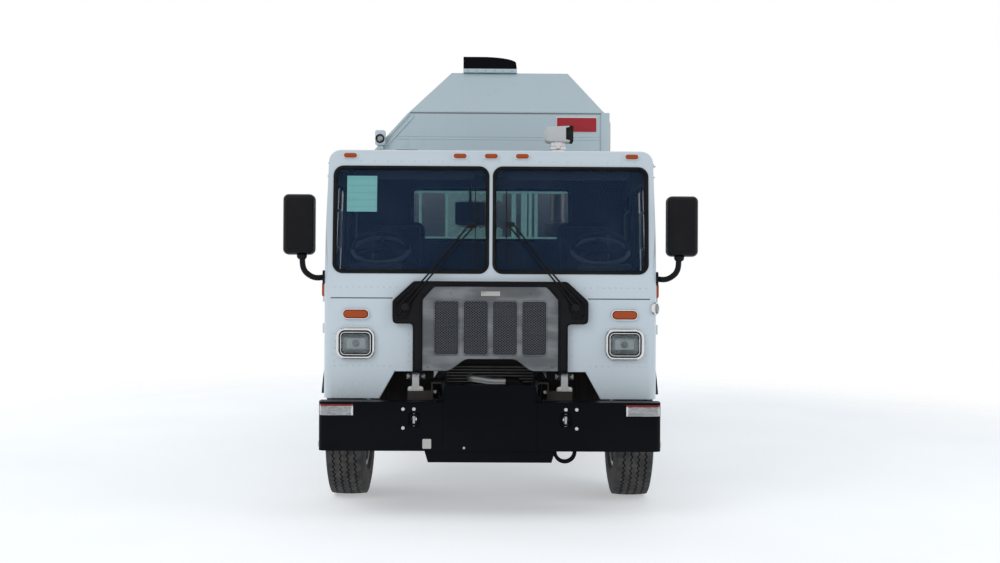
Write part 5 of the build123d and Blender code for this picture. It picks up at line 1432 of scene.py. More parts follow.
@dataclass
class CadDressing:
    """The finishes of the solids that stay in view."""

    finishes: dict[str, Finish] = field(
        default_factory=lambda: {
            "cab_shell": CAB_WHITE,
            "door_left": CAB_WHITE,
            "door_right": CAB_WHITE,
            "cab_floor": TRIM,
            "dashboard": TRIM,
            "cab_glass": GLASS,
            "door_glass_left": GLASS,
            "door_glass_right": GLASS,
            "grille": STAINLESS,
            "grille_surround": PLASTIC,
            "front_lamps": CHROME,
            "amber_lamps": AMBER,
            "mirrors": PLASTIC,
            "wipers": PLASTIC,
            "seats": SEAT_CLOTH,
            "frame_rails": CHASSIS,
            "cab_hinge_brackets": CAST,
            "front_bumper": BLACK,
            "entry_steps": CHASSIS,
            "front_axle": CHASSIS,
            "rear_axles": CHASSIS,
            "powertrain": ENGINE,
            "radiator": CHASSIS,
            "coolant_pipe": CAST,
            "exhaust_stack": STAINLESS,
            "side_tanks": ALUMINIUM,
            "rear_fenders": CHASSIS,
            "rear_bumper": BLACK,
            "tail_lamps": RED,
            "hopper": HOPPER_WHITE,
            "body_shell": BODY_WHITE,
            "body_sills": CHASSIS,
            "roof_cowl": PLASTIC,
            "arm_rails": CHASSIS,
            "arm_carriage": CHASSIS,
            "arm_boom": ARM,
            "finger_front": ARM,
            "finger_rear": ARM,
            "packer_panel": GREY,
            "tailgate": BODY_WHITE,
            "tailgate_barrels": BLACK,
            "tailgate_rods": ROD,
            "knuckle": CHASSIS,
            "front_rim": RIM,
            "rear_rims": RIM,
            "front_tyre": TYRE,
            "rear_tyres": TYRE,
        }
    )

    def build(self, nodes: dict[str, bpy.types.Object]) -> None:
        """Gives each solid its finish.

        Args:
            nodes: the frame's solids by name.
        """
        for name, solid in nodes.items():
            match = max((key for key in self.finishes if name.startswith(key)), key=len)
            material = self.finishes[match].material()
            if not solid.material_slots:
                solid.data.materials.append(material)
            for slot in solid.material_slots:
                slot.material = material


@dataclass
class Windscreens(Assembly):
    """The two windscreens' rubber gaskets, the blank card behind one of them and the sun visors."""

    body: str = "cab"
    bottom: float = 1.778
    top: float = 2.561
    gap: float = 0.034
    width: float = 1.136
    corner: float = 0.07
    card_low: Point2 = (-1.061, 2.228)
    card_high: Point2 = (-0.84, 2.493)

    def outline(self, side: float) -> list[Point2]:
        """The opening of one windscreen."""
        inner, outer = self.gap / 2, self.gap / 2 + self.width
        low, high = (inner, outer) if side > 0 else (-outer, -inner)
        return rounded((low, self.bottom), (high, self.top), self.corner, 10)

    def build(self) -> None:
        """Builds the gaskets, the card and the visors."""
        gaskets = Form()
        bead = (
            (-0.005, 0.0), (-0.005, -0.005), (0.001, -0.01), (0.012, -0.009), (0.022, 0.003), (0.022, 0.016)
        )
        for _, side in SIDES:
            gaskets.ring(self.outline(side), Facing.FRONT, (*bead, (0.0, 0.016)))
        gaskets.bent_by(self.lean)
        gaskets.place("windscreen_gaskets", self.body, GASKET, "black_plastic")
        # The card's finish glows: painted light for the light that reaches it through the glass.
        card = Form().box(
            (self.card_low[0], 0.03, self.card_low[1]), (self.card_high[0], 0.032, self.card_high[1])
        )
        card.bent_by(self.lean).place("blank_card", self.body, CARD_TEAL, "seat_fabric")
        visors = Form()
        for _, side in SIDES:
            low, high = sorted((side * 0.12, side * 1.02))
            visors.prism(rounded((low, 2.47), (high, 2.585), 0.03), Facing.FRONT, 0.06, 0.078, 0.006)
            visors.rod((low + 0.05, 0.069, 2.585), (low + 0.05, 0.069, 2.63), 0.006)
            visors.rod((high - 0.05, 0.069, 2.585), (high - 0.05, 0.069, 2.63), 0.006)
        visors.bent_by(self.lean).place("sun_visors", self.body, LINING, "black_plastic")

    @staticmethod
    def lean(point: Vector) -> Vector:
        """Moves a point drawn behind Y = 0 to the same depth behind the leaning front."""
        return Vector((point.x, point.y + front_y(point.z), point.z))


@dataclass
class FrontPanel(Assembly):
    """The seam line, drawn as a painted shadow, and rivet rows of the cab's front, its corner lens and the
    fins on its sides.
    """

    body: str = "cab"
    seam_z: float = 1.593

    def build(self) -> None:
        """Builds each piece."""
        self.seams()
        self.rivets()
        self.corner_lens()
        self.fins()

    def seams(self) -> None:
        """A dark strip across the lower front, a painted shadow of its seam, and the folded lip of its low
        opening.
        """
        # Painted shadow: a thin dark strip stands for the shadow line of the seam across the lower front.
        seam_shadows = Form()
        for _, side in SIDES:
            low, high = sorted((side * 0.716, side * 1.168))
            front, back = CAB_FRONT_Y - 0.0022, CAB_FRONT_Y + 0.002
            seam_shadows.box((low, front, self.seam_z - 0.003), (high, back, self.seam_z + 0.003), 0.001)
        seam_shadows.place("front_laps", self.body, GASKET, "black_plastic")
        lips = Form()
        for _, side in SIDES:
            corner = [
                (side * 0.697, 1.061), (side * 0.812, 0.86), (side * 0.824, 0.86), (side * 0.709, 1.068)
            ]
            lips.prism(corner, Facing.FRONT, CAB_FRONT_Y - 0.003, CAB_FRONT_Y + 0.045)
            low, high = sorted((side * 0.567, side * 0.704))
            lips.box((low, CAB_FRONT_Y - 0.003, 1.0585), (high, CAB_FRONT_Y + 0.045, 1.0665), 0.001)
        lips.place("front_lips", self.body, WHITE, "white_paint")

    def rivets(self) -> None:
        """Rows of flush rivets over the screens, along the seam and low on the panel."""
        heads = Form()
        for z, first, last, pitch in (
            (1.673, 0.69, 1.16, 0.045), (1.099, 0.73, 1.16, 0.045), (2.6, 0.06, 1.06, 0.1)
        ):
            count = int((last - first) / pitch) + 1
            spots = [
                (side * (first + n * pitch), front_y(z) + 0.0004, z)
                for _, side in SIDES
                for n in range(count)
            ]
            heads.domes(spots, 1, -1.0, 0.0052, 0.0016)
        for x in (0.6, 1.14):
            spots = [(side * x, CAB_FRONT_Y + 0.0004, 1.13 + n * 0.05) for _, side in SIDES for n in range(5)]
            heads.domes(spots, 1, -1.0, 0.0048, 0.0014)
        heads.place("front_rivets", self.body, WHITE, "white_paint")

    def corner_lens(self) -> None:
        """The round clear lens on the street side's front corner."""
        middle = Vector((1.199, CAB_FRONT_Y + 0.03, 1.523))
        turn = Matrix.Rotation(math.radians(57.0), 4, "Z")
        housing = Form().lathe(
            [
                (-0.004, 0.0485), (-0.018, 0.0485), (-0.026, 0.044), (-0.026, 0.036), (-0.018, 0.034),
                (0.0, 0.034),
            ],
            (0, 0, 0), 1, 32, True,
        )
        matrix = Matrix.Translation(middle) @ turn
        Form().join(housing, matrix).place("corner_lens_ring", self.body, CHROME, "lamp_chrome")
        lens = Form().lathe(
            [(-0.006, 0.0345), (-0.02, 0.0345), (-0.026, 0.024), (-0.028, 0.008)], (0, 0, 0), 1, 32
        )
        Form().join(lens, matrix).place("corner_lens", self.body, CLEAR, "lamp_chrome")

    def fins(self) -> None:
        """The small pale fins high on the cab's sides."""
        fins = Form()
        for side, z, reach, depth in (
            (1, 2.574, 0.034, 0.1), (1, 2.492, 0.026, 0.09), (-1, 2.492, 0.02, 0.07)
        ):
            x = side * (side_x(z) - 0.003)
            low, high = sorted((x, x + side * reach))
            profile = [(low, z - 0.006), (high, z + 0.004), (high, z + 0.009), (low, z + 0.014)]
            fins.prism(profile, Facing.FRONT, CAB_FRONT_Y + 0.13, CAB_FRONT_Y + 0.13 + depth)
        fins.place("cab_fins", self.body, PLATE_WHITE, "white_paint")


@dataclass
class Lamps(Assembly):
    """Headlamps, turn lamps and the amber markers."""

    body: str = "cab"
    headlamp: Point2 = (0.982, 1.261)
    bezel: Point2 = (0.289, 0.235)
    lens: Point2 = (0.2, 0.138)
    turn_lamp: Point2 = (0.982, 1.476)
    turn_size: Point2 = (0.204, 0.084)
    marker_xs: tuple[float, ...] = (-1.035, -0.229, 0.0, 0.229, 1.035)
    marker_z: float = 2.64

    def build(self) -> None:
        """Builds each kind of lamp."""
        self.headlamps()
        self.turn_lamps()
        self.markers()

    @staticmethod
    def frame(form: Form, middle: Point2, half: Point2, radius: float, profile: Sequence[Point2]) -> None:
        """Adds a ring round a rounded rectangle on the front face.

        Args:
            form: what it is added to.
            middle: its centre in X and Z.
            half: its half width and half height.
            radius: its corners' radius.
            profile: (inset, distance in front of the face) points.
        """
        outline = panel(
            (middle[0] - half[0], middle[1] - half[1]), (middle[0] + half[0], middle[1] + half[1]), radius, 8
        )
        form.ring(outline, Facing.FRONT, [(share, CAB_FRONT_Y - out) for share, out in profile])

    def headlamps(self) -> None:
        """Crowned bezels, dark gaps, inner frames, reflectors, bulbs and lenses."""
        bezels, gaps, bowls, lenses = Form(), Form(), Form(), Form()
        for _, side in SIDES:
            middle = (side * self.headlamp[0], self.headlamp[1])
            half = (self.bezel[0] / 2, self.bezel[1] / 2)
            radius = 0.068
            crown = [
                (0.0, 0.0), (0.0, 0.018), (0.004, 0.03), (0.012, 0.036), (0.02, 0.034), (0.025, 0.026),
                (0.026, 0.0),
            ]
            self.frame(bezels, middle, half, radius, crown)
            inner = [
                (0.031, 0.0), (0.031, 0.03), (0.034, 0.036), (0.038, 0.036), (0.046, 0.022), (0.046, 0.0)
            ]
            self.frame(bezels, middle, half, radius, inner)
            self.frame(
                gaps, middle, half, radius, [(0.024, 0.0), (0.024, 0.016), (0.033, 0.016), (0.033, 0.0)]
            )
            wide, tall = self.lens[0] / 2, self.lens[1] / 2
            low, high = (middle[0] - wide, middle[1] - tall), (middle[0] + wide, middle[1] + tall)
            outline = panel(low, high, 0.03, 6)
            rings = []
            for share, out in ((0.0, 0.026), (0.008, 0.014), (0.022, 0.004), (0.045, -0.006), (0.06, -0.01)):
                rings.append([Facing.FRONT.point(a, b, CAB_FRONT_Y - out) for a, b in inset(outline, share)])
            bowls.loops(rings[::-1], caps=False)
            bowls._face([bowls.bm.verts.new(point) for point in rings[-1]])
            lenses.prism(outline, Facing.FRONT, CAB_FRONT_Y - 0.03, CAB_FRONT_Y - 0.036, 0.0025)
            bulb = [
                (0.004, 0.026), (-0.004, 0.026), (-0.008, 0.019), (-0.02, 0.0175), (-0.0225, 0.012),
                (-0.0235, 0.004),
            ]
            bowls.lathe(bulb, (middle[0], CAB_FRONT_Y, middle[1]), 1, 24)
            for z in (middle[1] - 0.045, middle[1] + 0.045):
                ends = [
                    (x, CAB_FRONT_Y - 0.012, z) for x in (middle[0] - wide + 0.02, middle[0] + wide - 0.02)
                ]
                bowls.rod(*ends, 0.0022, 8)
        bezels.place("headlamp_bezels", self.body, CHROME, "lamp_chrome", ("front_lamps",))
        gaps.place("headlamp_gaps", self.body, GASKET, "black_plastic")
        bowls.place("headlamp_reflectors", self.body, REFLECTOR, "lamp_chrome")
        lenses.place("headlamp_lenses", self.body, CLEAR, "lamp_chrome")

    def turn_lamps(self) -> None:
        """Amber lenses in bright oval rings."""
        rings, lenses = Form(), Form()
        for _, side in SIDES:
            middle = (side * self.turn_lamp[0], self.turn_lamp[1])
            half = (self.turn_size[0] / 2, self.turn_size[1] / 2)
            crown = [(0.0, 0.0), (0.0, 0.012), (0.004, 0.02), (0.01, 0.022), (0.015, 0.016), (0.016, 0.0)]
            self.frame(rings, middle, half, half[1] - 0.001, crown)
            low = (middle[0] - half[0] + 0.0155, middle[1] - half[1] + 0.0155)
            high = (middle[0] + half[0] - 0.0155, middle[1] + half[1] - 0.0155)
            lenses.prism(
                rounded(low, high, 0.026, 8), Facing.FRONT, CAB_FRONT_Y - 0.002, CAB_FRONT_Y - 0.033, 0.009
            )
        rings.place("turn_lamp_rings", self.body, CHROME, "lamp_chrome")
        lenses.place("turn_lamp_lenses", self.body, AMBER, "amber_lens")

    def markers(self) -> None:
        """Five roof markers on pale bases, and one amber lamp on each side."""
        bases, lenses = Form(), Form()
        face = front_y(self.marker_z)
        for x in self.marker_xs:
            low, high = (x - 0.062, self.marker_z - 0.022), (x + 0.058, self.marker_z + 0.022)
            bases.prism(rounded(low, high, 0.02, 6), Facing.FRONT, face + 0.008, face - 0.011, 0.004)
            low, high = (x - 0.047, self.marker_z - 0.016), (x + 0.047, self.marker_z + 0.017)
            lenses.prism(rounded(low, high, 0.016, 6), Facing.FRONT, face - 0.008, face - 0.027, 0.011)
        for _, side in SIDES:
            x = side * 1.219
            y = CAB_FRONT_Y + 0.095
            bases.prism(
                rounded((y - 0.029, 1.596), (y + 0.029, 1.712), 0.02), Facing.SIDE, x, x + side * 0.006, 0.002
            )
            lenses.prism(
                rounded((y - 0.024, 1.601), (y + 0.024, 1.707), 0.02), Facing.SIDE, x, x + side * 0.025, 0.01
            )
        bases.place("marker_bases", self.body, PLATE_WHITE, "lamp_chrome")
        lenses.place("marker_lenses", self.body, AMBER, "amber_lens", ("amber_lamps",))


@dataclass
class Grille(Assembly):
    """The stainless plate with four meshed windows and its surround."""

    body: str = "cab"
    windows: tuple[float, ...] = (-0.3204, -0.1068, 0.1068, 0.3204)
    half: float = 0.088
    low: float = 1.182
    high: float = 1.572
    face: float = CAB_FRONT_Y - 0.022
    pitch: float = 0.0145
    strip: float = 0.0045

    def build(self) -> None:
        """Builds the plate, the meshes, the surround's ridges and the blank tag."""
        self.plate()
        self.meshes()
        self.surround()
        self.tag()

    def hole(self, middle: float, share: float = 0.0) -> list[Point2]:
        """A window's outline, moved inward by a share."""
        low, high = (middle - self.half, self.low), (middle + self.half, self.high)
        return inset(rounded(low, high, 0.02, 5), share)

    def plate(self) -> None:
        """The plate, folded back round its edge, with a rolled rim round each window."""
        corners = [
            (0.498, 1.063), (0.498, 1.585), (0.412, 1.682), (-0.412, 1.682), (-0.498, 1.585), (-0.498, 1.063),
            (-0.297, 1.063), (-0.182, 1.15), (0.182, 1.15), (0.297, 1.063),
        ]
        edge = softened(corners, (0.012, 0.02, 0.03, 0.03, 0.02, 0.012, 0.03, 0.03, 0.03, 0.03), 4)
        holes = [self.hole(middle) for middle in self.windows]
        body = Form().plate(inset(edge, 0.004), holes, Facing.FRONT, self.face + 0.0005, self.face + 0.004)
        fold = ((0.0, 0.021), (0.0, 0.004), (0.0014, 0.001), (0.0044, 0.0), (0.0048, 0.0035), (0.0035, 0.021))
        body.ring(edge, Facing.FRONT, [(share, self.face + deep) for share, deep in fold])
        rim = (
            (-0.009, 0.001), (-0.0075, -0.003), (-0.003, -0.0045), (0.0015, -0.002), (0.002, 0.012),
            (0.0, 0.012),
        )
        for middle in self.windows:
            body.ring(self.hole(middle), Facing.FRONT, [(share, self.face + deep) for share, deep in rim])
        screws = [
            (-0.29, self.face, 1.63),
            (0.29, self.face, 1.63),
            (-0.455, self.face, 1.095),
            (0.455, self.face, 1.095),
        ]
        body.domes(screws, 1, -1.0, 0.009, 0.004)
        body.place("grille_plate", self.body, STAINLESS, "bright_metal", ("grille",))

    def meshes(self) -> None:
        """Expanded mesh behind each window."""
        mesh = Form()
        for middle in self.windows:
            low = (middle - self.half - 0.003, self.low - 0.003)
            high = (middle + self.half + 0.003, self.high + 0.003)
            depth = (self.face + 0.006, self.face + 0.0125)
            mesh.strips(low, high, Facing.FRONT, depth, self.pitch, self.strip, 38.0)
        mesh.place("grille_mesh", self.body, MESH_METAL, "bright_metal")
        backs = Form()
        for middle in self.windows:
            backs.prism(self.hole(middle, -0.01), Facing.FRONT, CAB_FRONT_Y - 0.0045, CAB_FRONT_Y - 0.001)
        backs.place("grille_screens", self.body, SCREEN, "black_plastic")

    def surround(self) -> None:
        """A bead round the surround's edge, and the wells that the wipers lie in."""
        beads = Form()
        outer = [
            (0.565, 1.067), (0.565, 1.405), (0.714, 1.407), (0.714, 1.575), (0.559, 1.7175), (-0.559, 1.7175),
            (-0.714, 1.575), (-0.714, 1.407), (-0.565, 1.405), (-0.565, 1.067), (-0.5, 1.067), (-0.5, 1.588),
            (-0.414, 1.685), (0.414, 1.685), (0.5, 1.588), (0.5, 1.067),
        ]
        half = (0.004, 0.025, 0.035, 0.04, 0.05)
        edge = softened(outer, (*half, *half[::-1], 0.004, 0.02, 0.03, 0.03, 0.02, 0.004), 4)
        roll = (
            (0.001, 0.012), (0.001, -0.001), (0.004, -0.006), (0.009, -0.006), (0.012, -0.001), (0.012, 0.012)
        )
        beads.ring(edge, Facing.FRONT, [(share, SURROUND_Y + deep) for share, deep in roll])
        for _, side in SIDES:
            for start, end, wide in (
                ((0.672, 1.468), (0.545, 1.672), 0.011),
                ((0.632, 1.452), (0.508, 1.655), 0.009),
                ((0.693, 1.52), (0.59, 1.672), 0.006),
            ):
                low = Vector((side * start[0], SURROUND_Y + 0.011, start[1]))
                high = Vector((side * end[0], SURROUND_Y + 0.004, end[1]))
                beads.rod(tuple(low), tuple(high), wide, 10, wide * 0.6)
        beads.place("surround_beads", self.body, PLASTIC, "black_plastic")

    def tag(self) -> None:
        """A small plain plate with a rivet at each end."""
        plate = Form().prism(
            panel((-0.07, 1.612), (0.07, 1.646), 0.004), Facing.FRONT, self.face, self.face - 0.002, 0.0008
        )
        plate.domes([(x, self.face - 0.002, 1.629) for x in (-0.06, 0.06)], 1, -1.0, 0.004, 0.002)
        plate.place("grille_tag", self.body, TAG, "bright_metal")


@dataclass
class Wipers(Assembly):
    """Two wipers, each with twin rods from its ear, a bridge and an upright blade."""

    body: str = "cab"
    pivot: Point2 = (0.62, 1.53)
    sides: tuple[tuple[float, float, float, float], ...] = (
        (-1.0, -0.114, 1.84, 2.392),
        (1.0, 0.114, 1.852, 2.404),
    )

    def build(self) -> None:
        """Builds the arms and the blades."""
        arms, blades = Form(), Form()
        for side, blade_x, foot, tip in self.sides:
            self.arm(arms, side, blade_x, (foot + tip) / 2)
            self.blade(arms, blades, blade_x, foot, tip)
        arms.place("wiper_arms", self.body, WIPER, "black_plastic", ("wipers",))
        blades.place("wiper_blades", self.body, GASKET, "black_plastic")

    def arm(self, arms: Form, side: float, blade_x: float, middle: float) -> None:
        """One arm: its cap, its foot and its two rods.

        Args:
            arms: what it is added to.
            side: which side of the truck its pivot is on.
            blade_x: where its blade stands.
            middle: the height of the blade's middle.
        """
        pivot = Vector((side * self.pivot[0], SURROUND_Y, self.pivot[1]))
        cap = [(0.014, 0.03), (-0.012, 0.03), (-0.017, 0.026), (-0.02, 0.014), (-0.02, 0.002)]
        arms.lathe(cap, tuple(pivot), 1, 24)
        knee_z = 1.745
        head = Vector((blade_x + side * 0.02, front_y(middle) - 0.05, middle + 0.005))
        share = (knee_z - pivot.z) / (head.z - pivot.z)
        for shift, lift in ((0.0, 0.0), (side * 0.037, 0.018)):
            start = pivot + Vector((shift, -0.012, lift))
            knee = Vector(
                (start.x + (head.x - start.x) * share, front_y(knee_z) - 0.062, knee_z + lift * 0.4)
            )
            end = head + Vector((shift * 0.75, 0.0, lift - 0.012))
            arms.pipe((tuple(start), tuple(knee), tuple(end)), 0.0062, 0.03, 10)
        low, high = sorted((head.x - side * 0.03, head.x + side * 0.04))
        clip = rounded((low, head.z - 0.016), (high, head.z + 0.018), 0.008)
        arms.prism(clip, Facing.FRONT, head.y - 0.009, head.y + 0.006, 0.002)
        arms.rod((blade_x, head.y - 0.006, head.z), (blade_x, head.y + 0.012, head.z), 0.01, 14, 0.001)

    @staticmethod
    def blade(arms: Form, blades: Form, x: float, foot: float, tip: float) -> None:
        """One blade: its two bows, its spine and its rubber.

        Args:
            arms: what the metal is added to.
            blades: what the rubber is added to.
            x: where it stands.
            foot: its lowest point.
            tip: its highest point.
        """
        middle, half = (foot + tip) / 2, (tip - foot) / 2
        reach = 0.62
        bow = []
        for step in range(13):
            z = middle - half * reach + 2 * reach * half * step / 12
            rise = 0.016 * math.cos((z - middle) / (half * reach) * math.pi / 2)
            bow.append((x, front_y(z) - 0.024 - rise, z))
        arms.pipe(bow, 0.0042, 0.002, 8)
        for end in (-reach, reach):
            span = []
            for step in range(7):
                z = middle + half * (end + (step / 6 - 0.5) * 0.66)
                rise = 0.01 * math.cos((step / 6 - 0.5) * math.pi)
                span.append((x, front_y(z) - 0.018 - rise, z))
            arms.pipe(span, 0.0034, 0.002, 8)
        spine = [(x, front_y(z) - 0.017, z) for z in (foot, middle, tip)]
        arms.pipe(spine, 0.0034, 0.01, 8)
        section = ((-0.004, -0.014), (0.004, -0.014), (0.0012, 0.006), (-0.0012, 0.006))
        blades.loops([[Vector((x + a, front_y(z) + b, z)) for a, b in section] for z in (foot, tip)])


@dataclass
class Mirrors(Assembly):
    """Two door mirrors on bent arms, with a flat and a round glass in each."""

    body: str = "cab"
    inner: float = 1.288
    outer: float = 1.519
    low: float = 1.906
    high: float = 2.351
    front: float = station(0.19)
    depth: float = 0.118

    def build(self) -> None:
        """Builds the shells, the arms and the glasses."""
        shells, arms, glasses = Form(), Form(), Form()
        for _, side in SIDES:
            self.shell(shells, side)
            self.arm(arms, side)
            self.glass(glasses, side)
        shells.place("mirror_shells", self.body, MIRROR_SHELL, "black_plastic", ("mirrors",))
        arms.place("mirror_arms", self.body, PLASTIC, "black_plastic")
        glasses.place("mirror_glasses", self.body, MIRROR_GLASS, "lamp_chrome")

    def edge(self, side: float, share: float = 0.0) -> Outline:
        """The shell's outline, moved inward by a share.

        Args:
            side: 1 or -1.
            share: the distance.

        Returns:
            A rule that gives the outline, which can be moved further inward.
        """
        low, high = sorted((side * self.inner, side * self.outer))
        return panel(
            (low + share, self.low + share), (high - share, self.high - share), 0.042 - share * 0.6, 8
        )

    def shell(self, form: Form, side: float) -> None:
        """One shell: crowned in front, with a rolled lip round its open back.

        Args:
            form: what it is added to.
            side: 1 or -1.
        """
        profile = (
            (0.075, 0.0), (0.05, 0.004), (0.026, 0.012), (0.01, 0.028), (0.002, 0.052), (0.0, 0.08),
            (0.0, self.depth - 0.004), (0.003, self.depth), (0.008, self.depth - 0.002),
            (0.011, self.depth - 0.016), (0.014, self.depth - 0.02),
        )
        rings = []
        for share, deep in profile:
            rings.append([Facing.FRONT.point(a, b, self.front + deep) for a, b in self.edge(side)(share)])
        form.loops(rings)
        ridge = self.edge(side, 0.03)
        roll = ((0.0, 0.0075), (0.002, 0.0055), (0.006, 0.0055), (0.009, 0.0065), (0.009, 0.02), (0.0, 0.02))
        form.ring(ridge, Facing.FRONT, [(share, self.front + deep) for share, deep in roll])

    def arm(self, form: Form, side: float) -> None:
        """One arm: from the cab's pillar, out and up into the shell's foot.

        Args:
            form: what it is added to.
            side: 1 or -1.
        """
        y = self.front + 0.06
        foot_x = side * 1.38
        points = [
            (side * 1.216, -4.5, 1.745),
            (side * 1.3, -4.53, 1.735),
            (side * 1.372, y, 1.79),
            (foot_x, y, 1.93),
        ]
        form.pipe(points, 0.021, 0.06, 16)
        form.lathe([(0.0, 0.026), (0.014, 0.036), (0.032, 0.038), (0.034, 0.03)], (foot_x, y, 1.874), 2, 24)
        low, high = sorted((side * 1.2, side * 1.236))
        form.prism(rounded((-4.56, 1.695), (-4.44, 1.795), 0.02), Facing.SIDE, low, high, 0.006)

    def glass(self, form: Form, side: float) -> None:
        """The flat glass above and the round-faced one below, set into the shell's back.

        Args:
            form: what they are added to.
            side: 1 or -1.
        """
        rim = 0.016
        low, high = sorted((side * (self.inner + rim), side * (self.outer - rim)))
        back = self.front + self.depth
        flat = rounded((low, 2.052), (high, self.high - rim), 0.028)
        form.prism(flat, Facing.FRONT, back - 0.018, back - 0.009, 0.002)
        rings = []
        for share, deep in ((0.0, 0.018), (0.002, 0.009), (0.03, 0.004), (0.06, 0.002)):
            edge = inset(panel((low, self.low + rim), (high, 2.04), 0.028), share)
            rings.append([Facing.FRONT.point(a, b, back - deep) for a, b in edge])
        form.loops(rings)


@dataclass
class Stack(Assembly):
    """The exhaust: muffler, bright pipe and a rain head that opens to the street side."""

    x: float = 0.592
    y: float = station(2.15)
    pipe_radius: float = 0.0645
    muffler_radius: float = 0.118
    rail_x: float = 0.35

    def build(self) -> None:
        """Builds the pipe, the muffler, its bracket and the head."""
        pipe = Form()
        middle = (self.x, self.y, 0.0)
        wall = [(2.2, self.pipe_radius), (3.02, self.pipe_radius), (3.02, 0.058), (2.2, 0.058)]
        pipe.lathe(wall, middle, 2, 40, True)
        for z in (2.262, 2.9):
            pipe.lathe([(z, 0.066), (z + 0.004, 0.072), (z + 0.03, 0.072), (z + 0.034, 0.066)], middle, 2, 40)
            pipe.box(
                (self.x - 0.016, self.y - 0.098, z + 0.004), (self.x + 0.016, self.y - 0.07, z + 0.03), 0.003
            )
            pipe.hexes([(self.x + 0.016, self.y - 0.088, z + 0.017)], 0, 1.0, 0.008, 0.006)
        pipe.place("stack_pipe", self.body, STACK_CHROME, "bright_metal", ("exhaust_stack",))
        can = self.muffler_radius
        shape = [
            (0.985, 0.05), (0.985, 0.098), (1.0, 0.112), (1.03, can), (2.21, can), (2.235, 0.112),
            (2.25, 0.098), (2.25, 0.05),
        ]
        muffler = Form().lathe(shape, middle, 2, 48)
        for z in (1.1, 1.62, 2.14):
            strap = can + 0.0025
            muffler.lathe([(z, can), (z + 0.002, strap), (z + 0.028, strap), (z + 0.03, can)], middle, 2, 48)
            lug = (self.x + 0.02, self.y - can, z + 0.028)
            muffler.box((self.x - 0.02, self.y - 0.142, z + 0.002), lug, 0.003)
        elbow = [(self.x, self.y, 1.0), (self.x, self.y, 0.93), (self.x - 0.16, self.y - 0.01, 0.92)]
        muffler.pipe(elbow, 0.055, 0.07, 20)
        muffler.box((self.rail_x, self.y - 0.03, 1.006), (self.x - 0.05, self.y + 0.03, 1.012), 0.001)
        muffler.place("muffler", self.body, MUFFLER, "black_paint")
        self.mount()
        self.head()

    def mount(self) -> None:
        """The bracket that holds the muffler to the rail's top."""
        bracket = Form()
        bracket.box((self.rail_x, self.y - 0.06, 0.981), (self.x + 0.05, self.y + 0.06, 0.989), 0.002)
        gusset = [(0.36, 0.989), (0.474, 0.989), (0.474, 1.24), (0.46, 1.24)]
        bracket.prism(gusset, Facing.FRONT, self.y - 0.004, self.y + 0.004)
        bracket.hexes([(0.39, self.y - 0.03, 0.989), (0.39, self.y + 0.03, 0.989)], 2, 1.0)
        bracket.place("muffler_bracket", self.body, CHASSIS, "black_paint")

    def head(self) -> None:
        """The rain head: a pale rounded hood over the pipe with a dark mouth."""
        low, high = 2.966, 3.113
        left, right = 0.47, 0.7
        section = [(left, low + 0.004), (left, high - 0.014), (right, high), (right, low)]
        outline = softened(section, (0.045, 0.055, 0.018, 0.018), 6)
        hood = Form().prism(outline, Facing.FRONT, self.y - 0.084, self.y + 0.084, 0.011)
        hood.place("stack_hood", self.body, HEAD_PALE, "bright_metal")
        opening = rounded((self.y - 0.084, low + 0.004), (self.y + 0.084, high + 0.001), 0.02)
        lip = [(0.0, -0.04), (-0.002, 0.022), (0.003, 0.026), (0.009, 0.022), (0.009, -0.04)]
        mouth = Form().ring(opening, Facing.SIDE, [(share, right + out) for share, out in lip])
        inner = rounded((self.y - 0.076, low + 0.012), (self.y + 0.076, high - 0.007), 0.014)
        mouth.prism(inner, Facing.SIDE, right - 0.02, right + 0.004)
        mouth.place("stack_mouth", self.body, SOOT, "black_paint")


@dataclass
class Cowl(Assembly):
    """The curved black cowl on the body's roof, on a pale bolted strip."""

    low: float = -0.296
    high: float = 0.264
    base: float = BODY_TOP_Z
    top: float = 4.09
    front: float = -0.85
    rear: float = -0.33

    def build(self) -> None:
        """Builds the cowl and its strip."""
        rings = []
        for y, sink in (
            (self.front, 0.0), (self.front + 0.012, -0.003), (self.rear - 0.012, -0.003), (self.rear, 0.0)
        ):
            rings.append([Vector((x, y, z + sink)) for x, z in self.section()])
        cowl = Form().loops(rings)
        lip = [(0.0, self.front), (0.0, self.front - 0.004), (0.006, self.front - 0.004), (0.006, self.front)]
        cowl.join(Form().ring(self.section(), Facing.FRONT, lip))
        cowl.place("roof_hood", self.body, COWL_BLACK, "black_plastic", ("roof_cowl",))
        strip = Form()
        back = self.front - 0.002
        for front, tall, bevel in ((self.front - 0.012, 0.045, 0.002), (self.front - 0.045, 0.006, 0.001)):
            strip.box((self.low, front, self.base), (self.high, back, self.base + tall), bevel)
        spots = [(self.low + 0.05 + 0.092 * n, self.front - 0.012, self.base + 0.028) for n in range(6)]
        strip.hexes(spots, 1, -1.0, 0.008, 0.006)
        strip.place("roof_hood_strip", self.body, BODY_WHITE, "white_paint")

    def section(self) -> list[Point2]:
        """The cowl's section: upright at the kerb side and sweeping down to the street side."""
        points = [(self.low, self.base), (self.low, self.top - 0.004), (self.low + 0.006, self.top)]
        foot = self.base + 0.105
        for step in range(13):
            turn = math.pi / 2 * step / 12
            x = self.low + 0.2 + 0.352 * math.sin(turn)
            points.append((x, foot + (self.top - self.base - 0.105) * math.cos(turn)))
        return [*points, (self.high, self.base + 0.03), (self.high, self.base)]


class Tread(Enum):
    """The pattern of a tyre's tread."""

    RIBS = "ribs"
    BLOCKS = "blocks"


